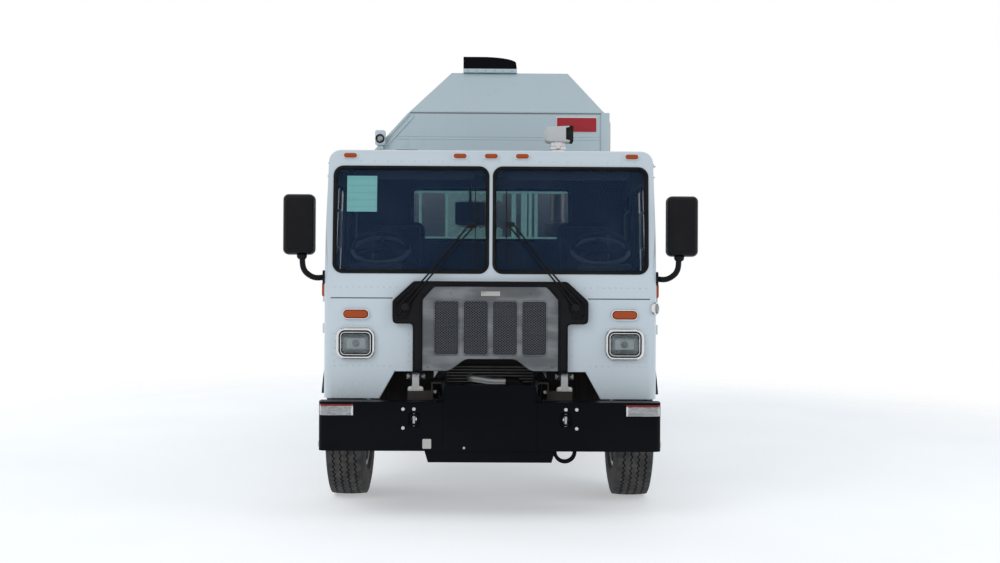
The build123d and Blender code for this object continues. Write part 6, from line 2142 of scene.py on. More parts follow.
@dataclass
class Tyre:
    """One tyre, its tread cut into its own mesh."""

    x: float
    y: float
    half: float
    tread: Tread
    crown: float = 0.5375
    depth: float = 0.0145
    grooves: tuple[float, ...] = (-0.084, -0.028, 0.028, 0.084)
    groove_half: float = 0.0062
    zigzag: float = 0.0055
    drawn_half: float = 0.156
    shoulder: float = 0.1345
    wall: tuple[Point2, ...] = (
        (0.112, 0.2866), (0.1185, 0.298), (0.121, 0.309), (0.13, 0.318), (0.1425, 0.343), (0.1455, 0.344),
        (0.1515, 0.378), (0.1545, 0.41), (0.1535, 0.442), (0.1505, 0.462), (0.151, 0.466), (0.1475, 0.484),
        (0.1425, 0.505), (0.1395, 0.5185),
    )

    def build(self, form: Form) -> None:
        """Adds the tyre to a form.

        Args:
            form: what it is added to.
        """
        ribs = self.tread is Tread.RIBS
        turns = 66 if ribs else 44
        steps = (0.0, 0.34, 0.5, 0.84) if ribs else (0.0, 0.2, 0.25, 0.45, 0.5, 0.7, 0.75, 0.95)
        rings = []
        for turn in range(turns):
            for number, share in enumerate(steps):
                angle = 2 * math.pi * (turn + share) / turns
                way = Vector((0.0, math.sin(angle), math.cos(angle)))
                middle = Vector((self.x, self.y, WHEEL_RADIUS))
                rings.append([middle + Vector((a, 0.0, 0.0)) + way * r for a, r in self.section(number)])
        form.loops([*rings, rings[0]], caps=False)

    def section(self, number: int) -> list[Point2]:
        """The tyre's section at one step of its pattern.

        Args:
            number: the step within a pitch.

        Returns:
            The closed section as (along the axle, radius) points.
        """
        scale = self.half / self.drawn_half
        wall = [(a * scale, r) for a, r in self.wall]
        shift = self.zigzag * (1.0 if number % 4 < 2 else -1.0)
        edges = [self.shoulder]
        for middle in reversed(self.grooves):
            sign = 1.0 if self.grooves.index(middle) % 2 else -1.0
            edges += [middle + sign * shift + self.groove_half, middle + sign * shift - self.groove_half]
        edges.append(-self.shoulder)
        points = list(wall)
        for rib in range(len(edges) // 2):
            start, end = edges[2 * rib], edges[2 * rib + 1]
            sunk = self.sunk(rib, number)
            for a in (start, end):
                points.append((a * scale, self.surface(a) - sunk))
            if rib < len(edges) // 2 - 1:
                after = edges[2 * rib + 2]
                for a in (end - 0.0022, after + 0.0022):
                    points.append((a * scale, self.surface(a) - self.depth))
        points += [(-a, r) for a, r in reversed(wall)]
        return points

    def surface(self, along: float) -> float:
        """The radius of the tread, which falls a little towards its shoulders."""
        return self.crown - 0.0075 * (along / 0.13) ** 2

    def sunk(self, rib: int, number: int) -> float:
        """How far a rib is cut down at a step: not at all, or across in a slot.

        Args:
            rib: the rib's number across the tread.
            number: the step within a pitch.

        Returns:
            The depth of the cut.
        """
        if self.tread is Tread.RIBS:
            return 0.0035 if rib in (0, 4) and number == 1 else 0.0
        slot = (2, 3) if rib % 2 else (6, 7)
        return 0.0125 if number in slot else 0.0


@dataclass
class Wheels(Assembly):
    """The tyres, and the nuts, valves and hub caps of every wheel."""

    front_x: float = 1.125
    rear_x: float = 0.895
    dual_pitch: float = 0.33
    nut_circle: float = 0.1675
    nuts: int = 10

    def build(self) -> None:
        """Builds each wheel's tyres and fittings."""
        for name, side in SIDES:
            front = f"wheel_front_{name}"
            form = Form()
            Tyre(side * self.front_x, FRONT_AXLE_Y, 0.155, Tread.RIBS).build(form)
            form.place(f"tread_front_{name}", front, TYRE, "tyre", (f"front_tyre_{name}",), 30.0)
            self.fittings(side, FRONT_AXLE_Y, self.front_x + 0.092, f"front_{name}", front)
            self.front_cap(side, name, front)
            for number, y in enumerate(REAR_AXLE_YS, 1):
                rear = f"wheel_rear_{name}_{number}"
                form = Form()
                for shift in (-self.dual_pitch / 2, self.dual_pitch / 2):
                    Tyre(side * (self.rear_x + shift), y, 0.1445, Tread.BLOCKS).build(form)
                form.place(
                    f"tread_rear_{name}_{number}", rear, TYRE, "tyre", (f"rear_tyres_{name}_{number}",), 30.0
                )
                self.fittings(side, y, self.rear_x + 0.014, f"rear_{name}_{number}", rear)
                self.rear_cap(side, y, f"rear_{name}_{number}", rear)

    def circle(self, x: float, y: float, radius: float, count: int, start: float = 0.0) -> list[Point]:
        """Evenly spaced places round an axle."""
        turns = [2 * math.pi * (n + start) / count for n in range(count)]
        return [(x, y + radius * math.sin(t), WHEEL_RADIUS + radius * math.cos(t)) for t in turns]

    def fittings(self, side: float, y: float, x: float, name: str, body: str) -> None:
        """The wheel nuts with their studs, and the valve.

        Args:
            side: which side of the truck.
            y: the axle's place.
            x: how far out the disc's face is.
            name: the wheel's name.
            body: the wheel's body.
        """
        nuts = Form()
        for spot in self.circle(side * x, y, self.nut_circle, self.nuts):
            nuts.lathe([(0.0, 0.024), (side * 0.004, 0.024), (side * 0.006, 0.02)], spot, 0, 20)
            nuts.lathe([(side * 0.004, 0.0175), (side * 0.026, 0.0175), (side * 0.03, 0.0145)], spot, 0, 6)
            nuts.lathe([(side * 0.02, 0.0105), (side * 0.044, 0.0105), (side * 0.046, 0.008)], spot, 0, 12)
        nuts.place(f"wheel_nuts_{name}", body, ZINC, "bright_metal")
        valve = Form()
        spot = self.circle(side * x, y, 0.224, 10)[0]
        neck = (spot[0] + side * 0.05, spot[1], spot[2] + 0.012)
        valve.rod(spot, neck, 0.0045, 10, 0.001)
        valve.rod(neck, (spot[0] + side * 0.064, spot[1], spot[2] + 0.015), 0.006, 10, 0.001)
        valve.place(f"valve_{name}", body, GASKET, "black_plastic")

    def front_cap(self, side: float, name: str, body: str) -> None:
        """The front hub's cap: a bright ring, an oil window and its bolts.

        Args:
            side: which side of the truck.
            name: the side's name.
            body: the wheel's body.
        """
        x = side * (self.front_x + 0.162)
        middle = (x, FRONT_AXLE_Y, WHEEL_RADIUS)
        cap = Form()
        ring = [(-0.058, 0.1135), (-0.05, 0.1165), (-0.042, 0.1165), (-0.04, 0.11)]
        cap.lathe([(side * a, radius) for a, radius in ring], middle, 0, 40)
        cap.hexes(self.circle(x - side * 0.052, FRONT_AXLE_Y, 0.1, 6, 0.5), 0, side, 0.0085, 0.01)
        cap.place(f"hub_ring_{name}", body, CAST, "bright_metal")
        pane = [(-0.003, 0.05), (0.0008, 0.046), (0.002, 0.03), (0.003, 0.008)]
        window = Form().lathe([(side * a, radius) for a, radius in pane], middle, 0, 32)
        window.place(f"hub_window_{name}", body, HUB_OIL, "bright_metal")

    def rear_cap(self, side: float, y: float, name: str, body: str) -> None:
        """The drive axle's flange with its ring of studs.

        Args:
            side: which side of the truck.
            y: the axle's place.
            name: the wheel's name.
            body: the wheel's body.
        """
        flange = Form()
        x = side * (self.rear_x + 0.158)
        shape = [(-0.014, 0.079), (-0.004, 0.079), (0.0, 0.074), (0.002, 0.03), (0.006, 0.026), (0.007, 0.01)]
        flange.lathe([(side * a, radius) for a, radius in shape], (x, y, WHEEL_RADIUS), 0, 36)
        flange.hexes(self.circle(x, y, 0.058, 8), 0, side, 0.0085, 0.009)
        flange.place(f"axle_flange_{name}", body, CHASSIS, "black_paint")


@dataclass
class Bumper(Assembly):
    """What is bolted to the bumper, the blank plates at its ends and the cab's hinge fittings."""

    face: float = BUMPER_Y
    corner: float = 0.055
    half: float = 1.22
    bolts: tuple[Point2, ...] = ((0.54, 0.807), (0.617, 0.807), (0.617, 0.673))
    tow_x: float = 0.54
    tow_z: float = 0.732
    hinge_x: float = 0.545

    def build(self) -> None:
        """Builds each group."""
        self.fasteners()
        self.plates()
        self.tow_jaws()
        self.seams()
        self.hinges()
        self.grips()

    def fasteners(self) -> None:
        """Zinc carriage bolts, two on the outside and one below at each tow point."""
        heads = Form()
        spots = [(side * x, self.face, z) for _, side in SIDES for x, z in self.bolts]
        heads.domes(spots, 1, -1.0, 0.0135, 0.0075)
        heads.hexes([(-0.183, self.face, 0.533)], 1, -1.0, 0.006, 0.005)
        heads.place("bumper_bolts", self.body, ZINC, "bright_metal")
        patch = Form().prism(
            rounded((-0.478, 0.527), (-0.416, 0.596), 0.006), Facing.FRONT, self.face, self.face - 0.002
        )
        patch.place("blank_tag", self.body, TAG, "bright_metal")
        ends = Form()
        dome = [(0.0, 0.024), (0.005, 0.024), (0.009, 0.019), (0.012, 0.008)]
        for _, side in SIDES:
            spot = (side * self.half, self.face + 0.085, 0.548)
            ends.lathe([(side * out, radius) for out, radius in dome], spot, 0, 24)
        ends.place("bumper_end_lamps", self.body, CLEAR, "lamp_chrome")

    def wrapped(self, point: Vector) -> Vector:
        """Lays a flat point round the bumper's rounded corner.

        Args:
            point: the point, its Y counted from the bumper's face.

        Returns:
            The point on the bumper.
        """
        out = self.face + point.y
        flat = self.half - self.corner
        past = abs(point.x) - flat
        if past <= 0:
            return Vector((point.x, out, point.z))
        turn = min(past / self.corner, math.pi / 2)
        reach = self.corner - point.y
        side = math.copysign(1.0, point.x)
        x = flat + reach * math.sin(turn)
        y = self.face + self.corner - reach * math.cos(turn) + max(0.0, past - self.corner * math.pi / 2)
        return Vector((side * x, y, point.z))

    def plates(self) -> None:
        """Blank white plates with a red band along the top, wrapped round the bumper's ends."""
        whites, reds = Form(), Form()
        for low, high in ((-1.218, -0.972), (0.97, 1.216)):
            for form, bottom, top, out in ((whites, 0.762, 0.84, 0.0016), (reds, 0.829, 0.841, 0.0026)):
                for n in range(16):
                    a, b = low + (high - low) * n / 16, low + (high - low) * (n + 1) / 16
                    form.box((a, -out, bottom), (b, 0.0, top))
        whites.bent_by(self.wrapped).place("blank_plates", self.body, PLATE_WHITE, "white_paint")
        reds.bent_by(self.wrapped).place("plate_bands", self.body, TAPE_RED, "red_lens")

    def tow_jaws(self) -> None:
        """The two lips and the upright pin in each tow recess."""
        jaws, pins = Form(), Form()
        for _, side in SIDES:
            x = side * self.tow_x
            for z in (self.tow_z + 0.034, self.tow_z - 0.034):
                lip = rounded((x - 0.034, z - 0.007), (x + 0.034, z + 0.007), 0.006)
                jaws.prism(lip, Facing.FRONT, self.face - 0.009, self.face + 0.04, 0.003)
            y = self.face + 0.012
            pins.rod((x, y, self.tow_z - 0.07), (x, y, self.tow_z + 0.075), 0.011, 14, 0.003)
            y, z = self.face + 0.01, self.tow_z + 0.068
            pins.rod((x - 0.022, y, z), (x + 0.022, y, z), 0.006, 10, 0.001)
            ring = rounded((x - 0.043, self.tow_z - 0.051), (x + 0.043, self.tow_z + 0.051), 0.018)
            lip = [(0.0, 0.0), (0.0, -0.003), (0.005, -0.003), (0.006, 0.01)]
            jaws.ring(ring, Facing.FRONT, [(share, self.face + deep) for share, deep in lip])
        jaws.place("tow_jaws", self.body, BLACK, "black_paint")
        pins.place("tow_pins", self.body, CAST, "bright_metal")

    def seams(self) -> None:
        """Weld beads beside the centre box, its top flange and the folded lips of the bumper."""
        beads = Form()
        for _, side in SIDES:
            x, y = side * 0.3225, self.face + 0.001
            beads.rod((x, y, 0.858), (x, y, 0.97), 0.004, 8)
            x, y = side * 0.335, self.face + 0.0005
            beads.domes([(x, self.face, 0.525 + n * 0.024) for n in range(13)], 1, -1.0, 0.0035, 0.0016)
            beads.rod((x, y, 0.514), (x, y, 0.85), 0.0016, 6)
            corner = [(side * 0.322, 0.858), (side * 0.385, 0.858), (side * 0.322, 0.93)]
            beads.prism(corner, Facing.FRONT, self.face + 0.02, self.face + 0.028)
        for low, high in ((-1.16, -0.325), (0.325, 1.16)):
            beads.rod((low, self.face + 0.0005, 0.8545), (high, self.face + 0.0005, 0.8545), 0.003, 8)
        beads.place("bumper_welds", self.body, BLACK, "black_paint")

    def hinges(self) -> None:
        """Bolts through the hinge feet, the hinge pins with their nuts, and small fittings beside them."""
        bright, dark = Form(), Form()
        y = station(0.255)
        pin_y, pin_z = station(0.3), 1.02
        for _, side in SIDES:
            x = side * self.hinge_x
            bright.hexes([(x - 0.04, y, 0.931), (x + 0.04, y, 0.931)], 1, -1.0, 0.012, 0.01)
            bright.rod((x - 0.062, pin_y, pin_z), (x + 0.062, pin_y, pin_z), 0.0125, 16, 0.002)
            for way in (-1.0, 1.0):
                nut = [(0.0, 0.021), (way * 0.012, 0.021), (way * 0.015, 0.018)]
                bright.lathe(nut, (x + way * 0.053, pin_y, pin_z), 0, 6)
            dark.box((x - 0.055, station(0.25), 0.86), (x + 0.055, station(0.35), 0.914), 0.004)
            low = side * 0.405
            ear = [(low - 0.03, 0.86), (low + 0.03, 0.86), (low + 0.02, 0.985), (low - 0.02, 0.985)]
            dark.prism(ear, Facing.FRONT, pin_y, station(0.31))
            dark.rod((low, station(0.285), 0.95), (low, station(0.33), 0.95), 0.016, 16, 0.003)
            bright.hexes([(low, station(0.299), 0.905)], 1, -1.0, 0.009, 0.008)
            dark.rod(
                (side * 0.36, station(0.315), 0.87), (side * 0.372, station(0.325), 1.01), 0.011, 12, 0.002
            )
        bright.place("hinge_bolts", self.body, ZINC, "bright_metal")
        dark.place("hinge_fittings", self.body, BLACK, "black_paint")

    def grips(self) -> None:
        """Raised grips on both treads of each entry step."""
        grips = Form()
        for _, side in SIDES:
            low, high = sorted((side * 0.898, side * 1.186))
            for z, front, rear in (
                (0.521, station(0.2), station(0.53)), (0.7265, station(0.2), station(0.535))
            ):
                grips.strips((low, front), (high, rear), Facing.TOP, (z, z + 0.005), 0.032, 0.006, 32.0)
        grips.place("step_grips", self.body, CHASSIS, "black_paint")


@dataclass
class Cushion:
    """A padded block that swells as cloth under pressure."""

    low: Point
    high: Point
    facing: Facing
    corner: float = 0.06
    rim: float = 0.03
    voxel: float = 0.009
    pressure: float = 4.0
    reach: float = 0.022
    frames: int = 20
    held_depth: float = 0.006

    def build(self) -> bpy.types.Mesh:
        """Makes the pad and swells it.

        Returns:
            Its mesh, in its own frame.
        """
        a, b, sweep = self.facing.value
        form = Form().prism(
            panel((self.low[a], self.low[b]), (self.high[a], self.high[b]), self.corner, 8),
            self.facing, self.low[sweep], self.high[sweep], self.rim,
        )
        bmesh.ops.recalc_face_normals(form.bm, faces=form.bm.faces)
        mesh = bpy.data.meshes.new("pad")
        form.bm.to_mesh(mesh)
        form.bm.free()
        blocked = self.changed(mesh, "REMESH", mode="VOXEL", voxel_size=self.voxel)
        swollen = self.blown(blocked)
        return self.changed(swollen, "SUBSURF", levels=1, render_levels=1)

    @staticmethod
    def changed(mesh: bpy.types.Mesh, kind: str, **settings: object) -> bpy.types.Mesh:
        """A mesh after one modifier.

        Args:
            mesh: the mesh.
            kind: the modifier's type.
            settings: its properties.

        Returns:
            The new mesh.
        """
        work = bpy.data.objects.new("work", mesh)
        bpy.context.scene.collection.objects.link(work)
        modifier = work.modifiers.new("change", kind)
        for key, value in settings.items():
            setattr(modifier, key, value)
        graph = bpy.context.evaluated_depsgraph_get()
        made = bpy.data.meshes.new_from_object(work.evaluated_get(graph))
        bpy.data.objects.remove(work)
        return made

    def blown(self, mesh: bpy.types.Mesh) -> bpy.types.Mesh:
        """The mesh after its cloth has swelled, each point kept within reach of where it was.

        Args:
            mesh: the mesh to swell.

        Returns:
            The swollen mesh.
        """
        scene = bpy.context.scene
        rest = [vert.co.copy() for vert in mesh.vertices]
        work = bpy.data.objects.new("work", mesh)
        scene.collection.objects.link(work)
        sweep = self.facing.value[2]
        held = work.vertex_groups.new(name="held")
        if sweep == 2:
            limit = self.low[sweep] + self.held_depth
            under = [n for n, co in enumerate(rest) if co[sweep] < limit]
        else:
            limit = self.high[sweep] - self.held_depth
            under = [n for n, co in enumerate(rest) if co[sweep] > limit]
        held.add(under, 1.0, "REPLACE")
        cloth = work.modifiers.new("cloth", "CLOTH")
        cloth.settings.vertex_group_mass = "held"
        cloth.settings.use_pressure = True
        cloth.settings.uniform_pressure_force = self.pressure
        cloth.settings.effector_weights.gravity = 0.0
        cloth.point_cache.frame_start, cloth.point_cache.frame_end = 1, self.frames
        for frame_number in range(1, self.frames + 1):
            scene.frame_set(frame_number)
        graph = bpy.context.evaluated_depsgraph_get()
        made = bpy.data.meshes.new_from_object(work.evaluated_get(graph))
        bpy.data.objects.remove(work)
        scene.frame_set(1)
        for vert, start in zip(made.vertices, rest):
            moved = vert.co - start
            if moved.length > self.reach:
                vert.co = start + moved.normalized() * self.reach
        return made


@dataclass
class Seats(Assembly):
    """Two seats: padded bases and backs with piping, each on a dark shell."""

    body: str = "cab"
    x: float = 0.8
    half: float = 0.222
    lean: float = 12.0
    base_at: Point = (0.0, station(1.385), 1.572)
    back_at: Point = (0.0, station(1.628), 1.782)

    def build(self) -> None:
        """Builds one of each pad and sets copies at both places."""
        base = Cushion((-self.half, -0.19, 0.0), (self.half, 0.185, 0.142), Facing.TOP)
        back = Cushion((-self.half, -0.032, 0.0), (self.half, 0.034, 0.44), Facing.FRONT, corner=0.07)
        lean = Matrix.Rotation(math.radians(-self.lean), 4, "X")
        places = (Matrix.Translation(self.base_at), Matrix.Translation(self.back_at) @ lean)
        shells, piping = Form(), Form()
        for label, cushion, place in (("base", base, places[0]), ("back", back, places[1])):
            mesh = cushion.build()
            lines = self.seams(mesh, label)
            for name, side in SIDES:
                spot = Matrix.Translation((side * self.x, 0.0, 0.0)) @ place
                self.pad(mesh, spot, f"seat_{label}_{name}")
                for line in lines:
                    piping.join(Form().pipe([tuple(point) for point in line], 0.0034, 0.004, 6), spot)
        piping.place("seat_piping", self.body, TRIM, "seat_fabric")
        for _, side in SIDES:
            spot = Matrix.Translation((side * self.x, 0.0, 0.0)) @ places[1]
            shell = Form().prism(
                panel((-0.235, -0.17), (0.235, 0.47), 0.075, 8), Facing.FRONT, 0.038, 0.056, 0.006
            )
            shells.join(shell, spot)
            x = side * self.x
            shells.box((x - 0.2, station(1.19), 1.5605), (x + 0.2, station(1.59), 1.5715), 0.003)
            foot = [
                (station(1.2), 1.555), (station(1.56), 1.555), (station(1.5), 1.42), (station(1.26), 1.42)
            ]
            shells.prism(foot, Facing.SIDE, x - 0.206, x + 0.206)
            shells.rod((x - 0.24, station(1.34), 1.585), (x - 0.24, station(1.24), 1.6), 0.011, 12, 0.003)
        shells.place("seat_shells", self.body, TRIM, "black_plastic")

    def pad(self, mesh: bpy.types.Mesh, place: Matrix, name: str) -> None:
        """Sets a copy of a pad at its place.

        Args:
            mesh: the pad in its own frame.
            place: its place in the truck.
            name: the piece's name.
        """
        copy = mesh.copy()
        copy.transform(place)
        copy.name = name
        form = Form()
        form.bm.from_mesh(copy)
        bpy.data.meshes.remove(copy)
        piece = form.place(name, self.body, SEAT_CLOTH, "seat_fabric", ("seats",), 60.0)

    def seams(self, mesh: bpy.types.Mesh, label: str) -> list[list[Vector]]:
        """Lines laid on a pad: piping round its face and two seams across it.

        Args:
            mesh: the pad in its own frame.
            label: which pad it is.

        Returns:
            The lines.
        """
        work = bpy.data.objects.new("work", mesh)
        bpy.context.scene.collection.objects.link(work)
        bpy.context.view_layer.update()
        flat = label == "base"
        low, high = ((-0.2, -0.168), (0.2, 0.163)) if flat else ((-0.2, 0.022), (0.2, 0.418))
        deep = 0.17 if flat else -0.07
        edge = rounded(low, high, 0.05, 6)
        lines = [edge + edge[:1]]
        for share in (0.3, 0.7):
            x = low[0] + (high[0] - low[0]) * share
            lines.append([(x, low[1] + (high[1] - low[1]) * n / 12) for n in range(13)])
        found = []
        for line in lines:
            spots = []
            for a, b in line:
                point = Vector((a, b, deep)) if flat else Vector((a, deep, b))
                hit, spot, _, _ = work.closest_point_on_mesh(point)
                spots.append(spot.copy() if hit else point)
            found.append(spots)
        bpy.data.objects.remove(work)
        return found


@dataclass
class Interior(Assembly):
    """What shows through the glass: dash, steering wheels, linings, grab handles, consoles and pedals."""

    body: str = "cab"
    wheel_x: float = 0.85
    wheel_at: Point2 = (station(0.79), 1.96)
    wheel_lean: float = 62.0
    rim_radius: float = 0.2165

    def build(self) -> None:
        """Builds each group."""
        self.dash()
        self.wheels()
        self.handles()
        self.console()
        self.pedals()

    def dash(self) -> None:
        """Instrument hoods with dials, switch panels, vents and a centre shelf."""
        hoods, dials, vents = Form(), Form(), Form()
        front = station(0.3)
        dial_z = 1.782
        for _, side in SIDES:
            x = side * self.wheel_x
            hood = [(0.02, 1.752), (0.235, 1.742), (0.26, 1.79), (0.15, 1.862), (0.02, 1.83)]
            section = softened([(front + a, z) for a, z in hood], (0.01, 0.02, 0.02, 0.04, 0.03))
            hoods.prism(section, Facing.SIDE, x - 0.2, x + 0.2, 0.012)
            for shift, radius in ((-0.09, 0.052), (0.04, 0.052), (0.13, 0.03)):
                spot = (x + shift, front + 0.249, dial_z)
                face = [(0.0, radius), (0.004, radius), (0.005, radius * 0.92), (0.0025, radius * 0.88)]
                dials.lathe(face, spot, 1, 28)
                hub = (x + shift, front + 0.2545, dial_z)
                dials.rod(hub, (hub[0] + radius * 0.5, hub[1], hub[2] + radius * 0.5), 0.0012, 6)
            for shift in (-0.3, 0.3):
                low = (x + shift - 0.06, front + 0.266, 1.625)
                vents.box(low, (low[0] + 0.12, low[1] + 0.012, low[2] + 0.05), 0.004)
                for n in range(4):
                    z = low[2] + 0.008 + n * 0.0105
                    vents.box(
                        (low[0] + 0.006, low[1] + 0.008, z), (low[0] + 0.114, low[1] + 0.016, z + 0.004)
                    )
        for n in range(9):
            x = -0.36 + n * 0.09
            hoods.box((x - 0.012, front + 0.266, 1.652), (x + 0.012, front + 0.282, 1.684), 0.003)
        shelf = [(front + 0.02, 1.752), (front + 0.2, 1.745), (front + 0.19, 1.775), (front + 0.02, 1.78)]
        hoods.prism(softened(shelf, (0.005,) * 4), Facing.SIDE, -0.5, 0.5, 0.006)
        hoods.place("dash_hoods", self.body, TRIM, "black_plastic")
        dials.place("dash_dials", self.body, CARD_PALE, "black_plastic")
        vents.place("dash_vents", self.body, PLASTIC, "black_plastic")

    def wheels(self) -> None:
        """Hub pads and spoke covers of both steering wheels, with column stalks."""
        form = Form()
        turn = Matrix.Rotation(math.radians(90.0 - self.wheel_lean), 4, "X")
        for _, side in SIDES:
            part = Form()
            part.prism(panel((-0.07, -0.05), (0.07, 0.05), 0.03), Facing.TOP, 0.01, 0.034, 0.01)
            for angle in (-24.0, 204.0, 90.0):
                way = Vector((math.cos(math.radians(angle)), math.sin(math.radians(angle)), 0.0))
                spoke = [way * 0.05 + Vector((0, 0, 0.016)), way * 0.13 + Vector((0, 0, 0.012)), way * 0.21]
                part.pipe([tuple(spot) for spot in spoke], 0.014, 0.05, 10)
            part.pipe([(0.04, 0.0, -0.06), (0.13, -0.01, -0.055), (0.17, -0.02, -0.04)], 0.008, 0.02, 8)
            form.join(part, Matrix.Translation((side * self.wheel_x, *self.wheel_at)) @ turn)
        form.place("steering_trim", self.body, TRIM, "black_plastic")
        rims = Form()
        for _, side in SIDES:
            turns = [2 * math.pi * n / 48 for n in range(49)]
            spots = [(self.rim_radius * math.cos(t), self.rim_radius * math.sin(t), 0.0) for t in turns]
            place = Matrix.Translation((side * self.wheel_x, *self.wheel_at))
            rims.join(Form().pipe(spots, 0.0165, 0.002, 10), place @ turn)
        rims.place("steering_rims", self.body, STEERING, "black_plastic")

    def handles(self) -> None:
        """Pale grab handles on the pillars inside, and dark linings over the pillars and the rear wall."""
        handles, linings = Form(), Form()
        for _, side in SIDES:
            for low, high, y in ((1.95, 2.25, station(0.4)), (1.98, 2.32, station(1.42))):
                outer, inner = side * 1.135 + side * 0.025, side * 1.135 - side * 0.02
                bow = [(outer, y, low), (inner, y, low + 0.02), (inner, y, high - 0.02), (outer, y, high)]
                handles.pipe(bow, 0.0105, 0.03, 12)
            edge = sorted((side * 1.145, side * 1.166))
            linings.prism(
                rounded((station(0.33), 1.78), (station(0.415), 2.58), 0.02), Facing.SIDE, *edge, 0.004
            )
            linings.prism(
                rounded((station(1.4), 1.5), (station(1.465), 2.58), 0.02), Facing.SIDE, *edge, 0.004
            )
        linings.box((-1.1, station(1.878), 1.66), (1.1, station(1.896), 2.05), 0.004)
        for n in range(9):
            x = -1.04 + n * 0.26
            linings.box((x - 0.002, station(1.874), 1.68), (x + 0.002, station(1.88), 2.03))
        handles.place("grab_handles", self.body, HANDLE_PALE, "black_plastic")
        linings.place("pillar_linings", self.body, LINING, "black_plastic")

    def console(self) -> None:
        """The shelf of radios over the screens, the monitor on the rear wall and the tunnel's cover."""
        console, faces = Form(), Form()
        shelf = [(station(0.34), 2.632), (station(0.72), 2.632), (station(0.69), 2.52), (station(0.4), 2.545)]
        console.prism(softened(shelf, (0.01, 0.01, 0.03, 0.03)), Facing.SIDE, -0.45, 0.45, 0.008)
        for x, wide in ((-0.25, 0.1), (0.0, 0.09), (0.25, 0.1)):
            face = rounded((x - wide, 2.545), (x + wide, 2.6), 0.006)
            faces.prism(face, Facing.FRONT, station(0.693), station(0.707), 0.002)
            for n in range(4):
                spot = (x - wide + 0.03 + n * 0.045, station(0.706), 2.56)
                faces.lathe([(0.0, 0.008), (0.012, 0.008), (0.014, 0.006)], spot, 1, 12)
        console.prism(
            rounded((-0.31, 2.215), (-0.05, 2.415), 0.02), Facing.FRONT, station(1.845), station(1.895), 0.006
        )
        console.rod((-0.18, station(1.87), 2.41), (-0.18, station(1.87), 2.63), 0.012)
        console.prism(
            panel((-0.44, station(0.72)), (0.44, station(1.8)), 0.05), Facing.TOP, 1.6405, 1.664, 0.008
        )
        console.prism(panel((-0.2, station(0.9)), (0.2, station(1.4)), 0.04), Facing.TOP, 1.66, 1.78, 0.02)
        cup = [(0.0, 0.04), (0.006, 0.042), (0.02, 0.042), (0.02, 0.034), (0.004, 0.032)]
        for x in (-0.12, 0.0, 0.12):
            console.lathe(cup, (x, station(1.0), 1.778), 2, 24)
        lever = [(0.0, station(1.25), 1.77), (0.0, station(1.25), 1.86), (0.02, station(1.21), 1.93)]
        console.pipe(lever, 0.009, 0.04, 10)
        knob = [(0.0, 0.01), (0.012, 0.024), (0.035, 0.026), (0.05, 0.016), (0.054, 0.004)]
        console.lathe(knob, (0.02, station(1.21), 1.92), 2, 20)
        console.place("cab_consoles", self.body, TRIM, "black_plastic")
        faces.place("console_faces", self.body, PLASTIC, "black_plastic")

    def pedals(self) -> None:
        """Two pedals at each driving place, with ribbed pads."""
        form = Form()
        for _, side in SIDES:
            for shift, wide in ((0.02, 0.045), (0.17, 0.03)):
                x = side * self.wheel_x + shift - 0.06
                lever = [(x, station(0.47), 1.5), (x, station(0.56), 1.42), (x, station(0.62), 1.33)]
                form.pipe(lever, 0.009, 0.04, 8)
                form.box((x - wide, station(0.6), 1.29), (x + wide, station(0.625), 1.37), 0.006)
                for n in range(5):
                    z = 1.298 + n * 0.014
                    low = (x - wide + 0.006, station(0.622), z)
                    form.box(low, (x + wide - 0.006, station(0.629), z + 0.006), 0.001)
        form.place("pedals", self.body, RUBBER, "black_plastic")


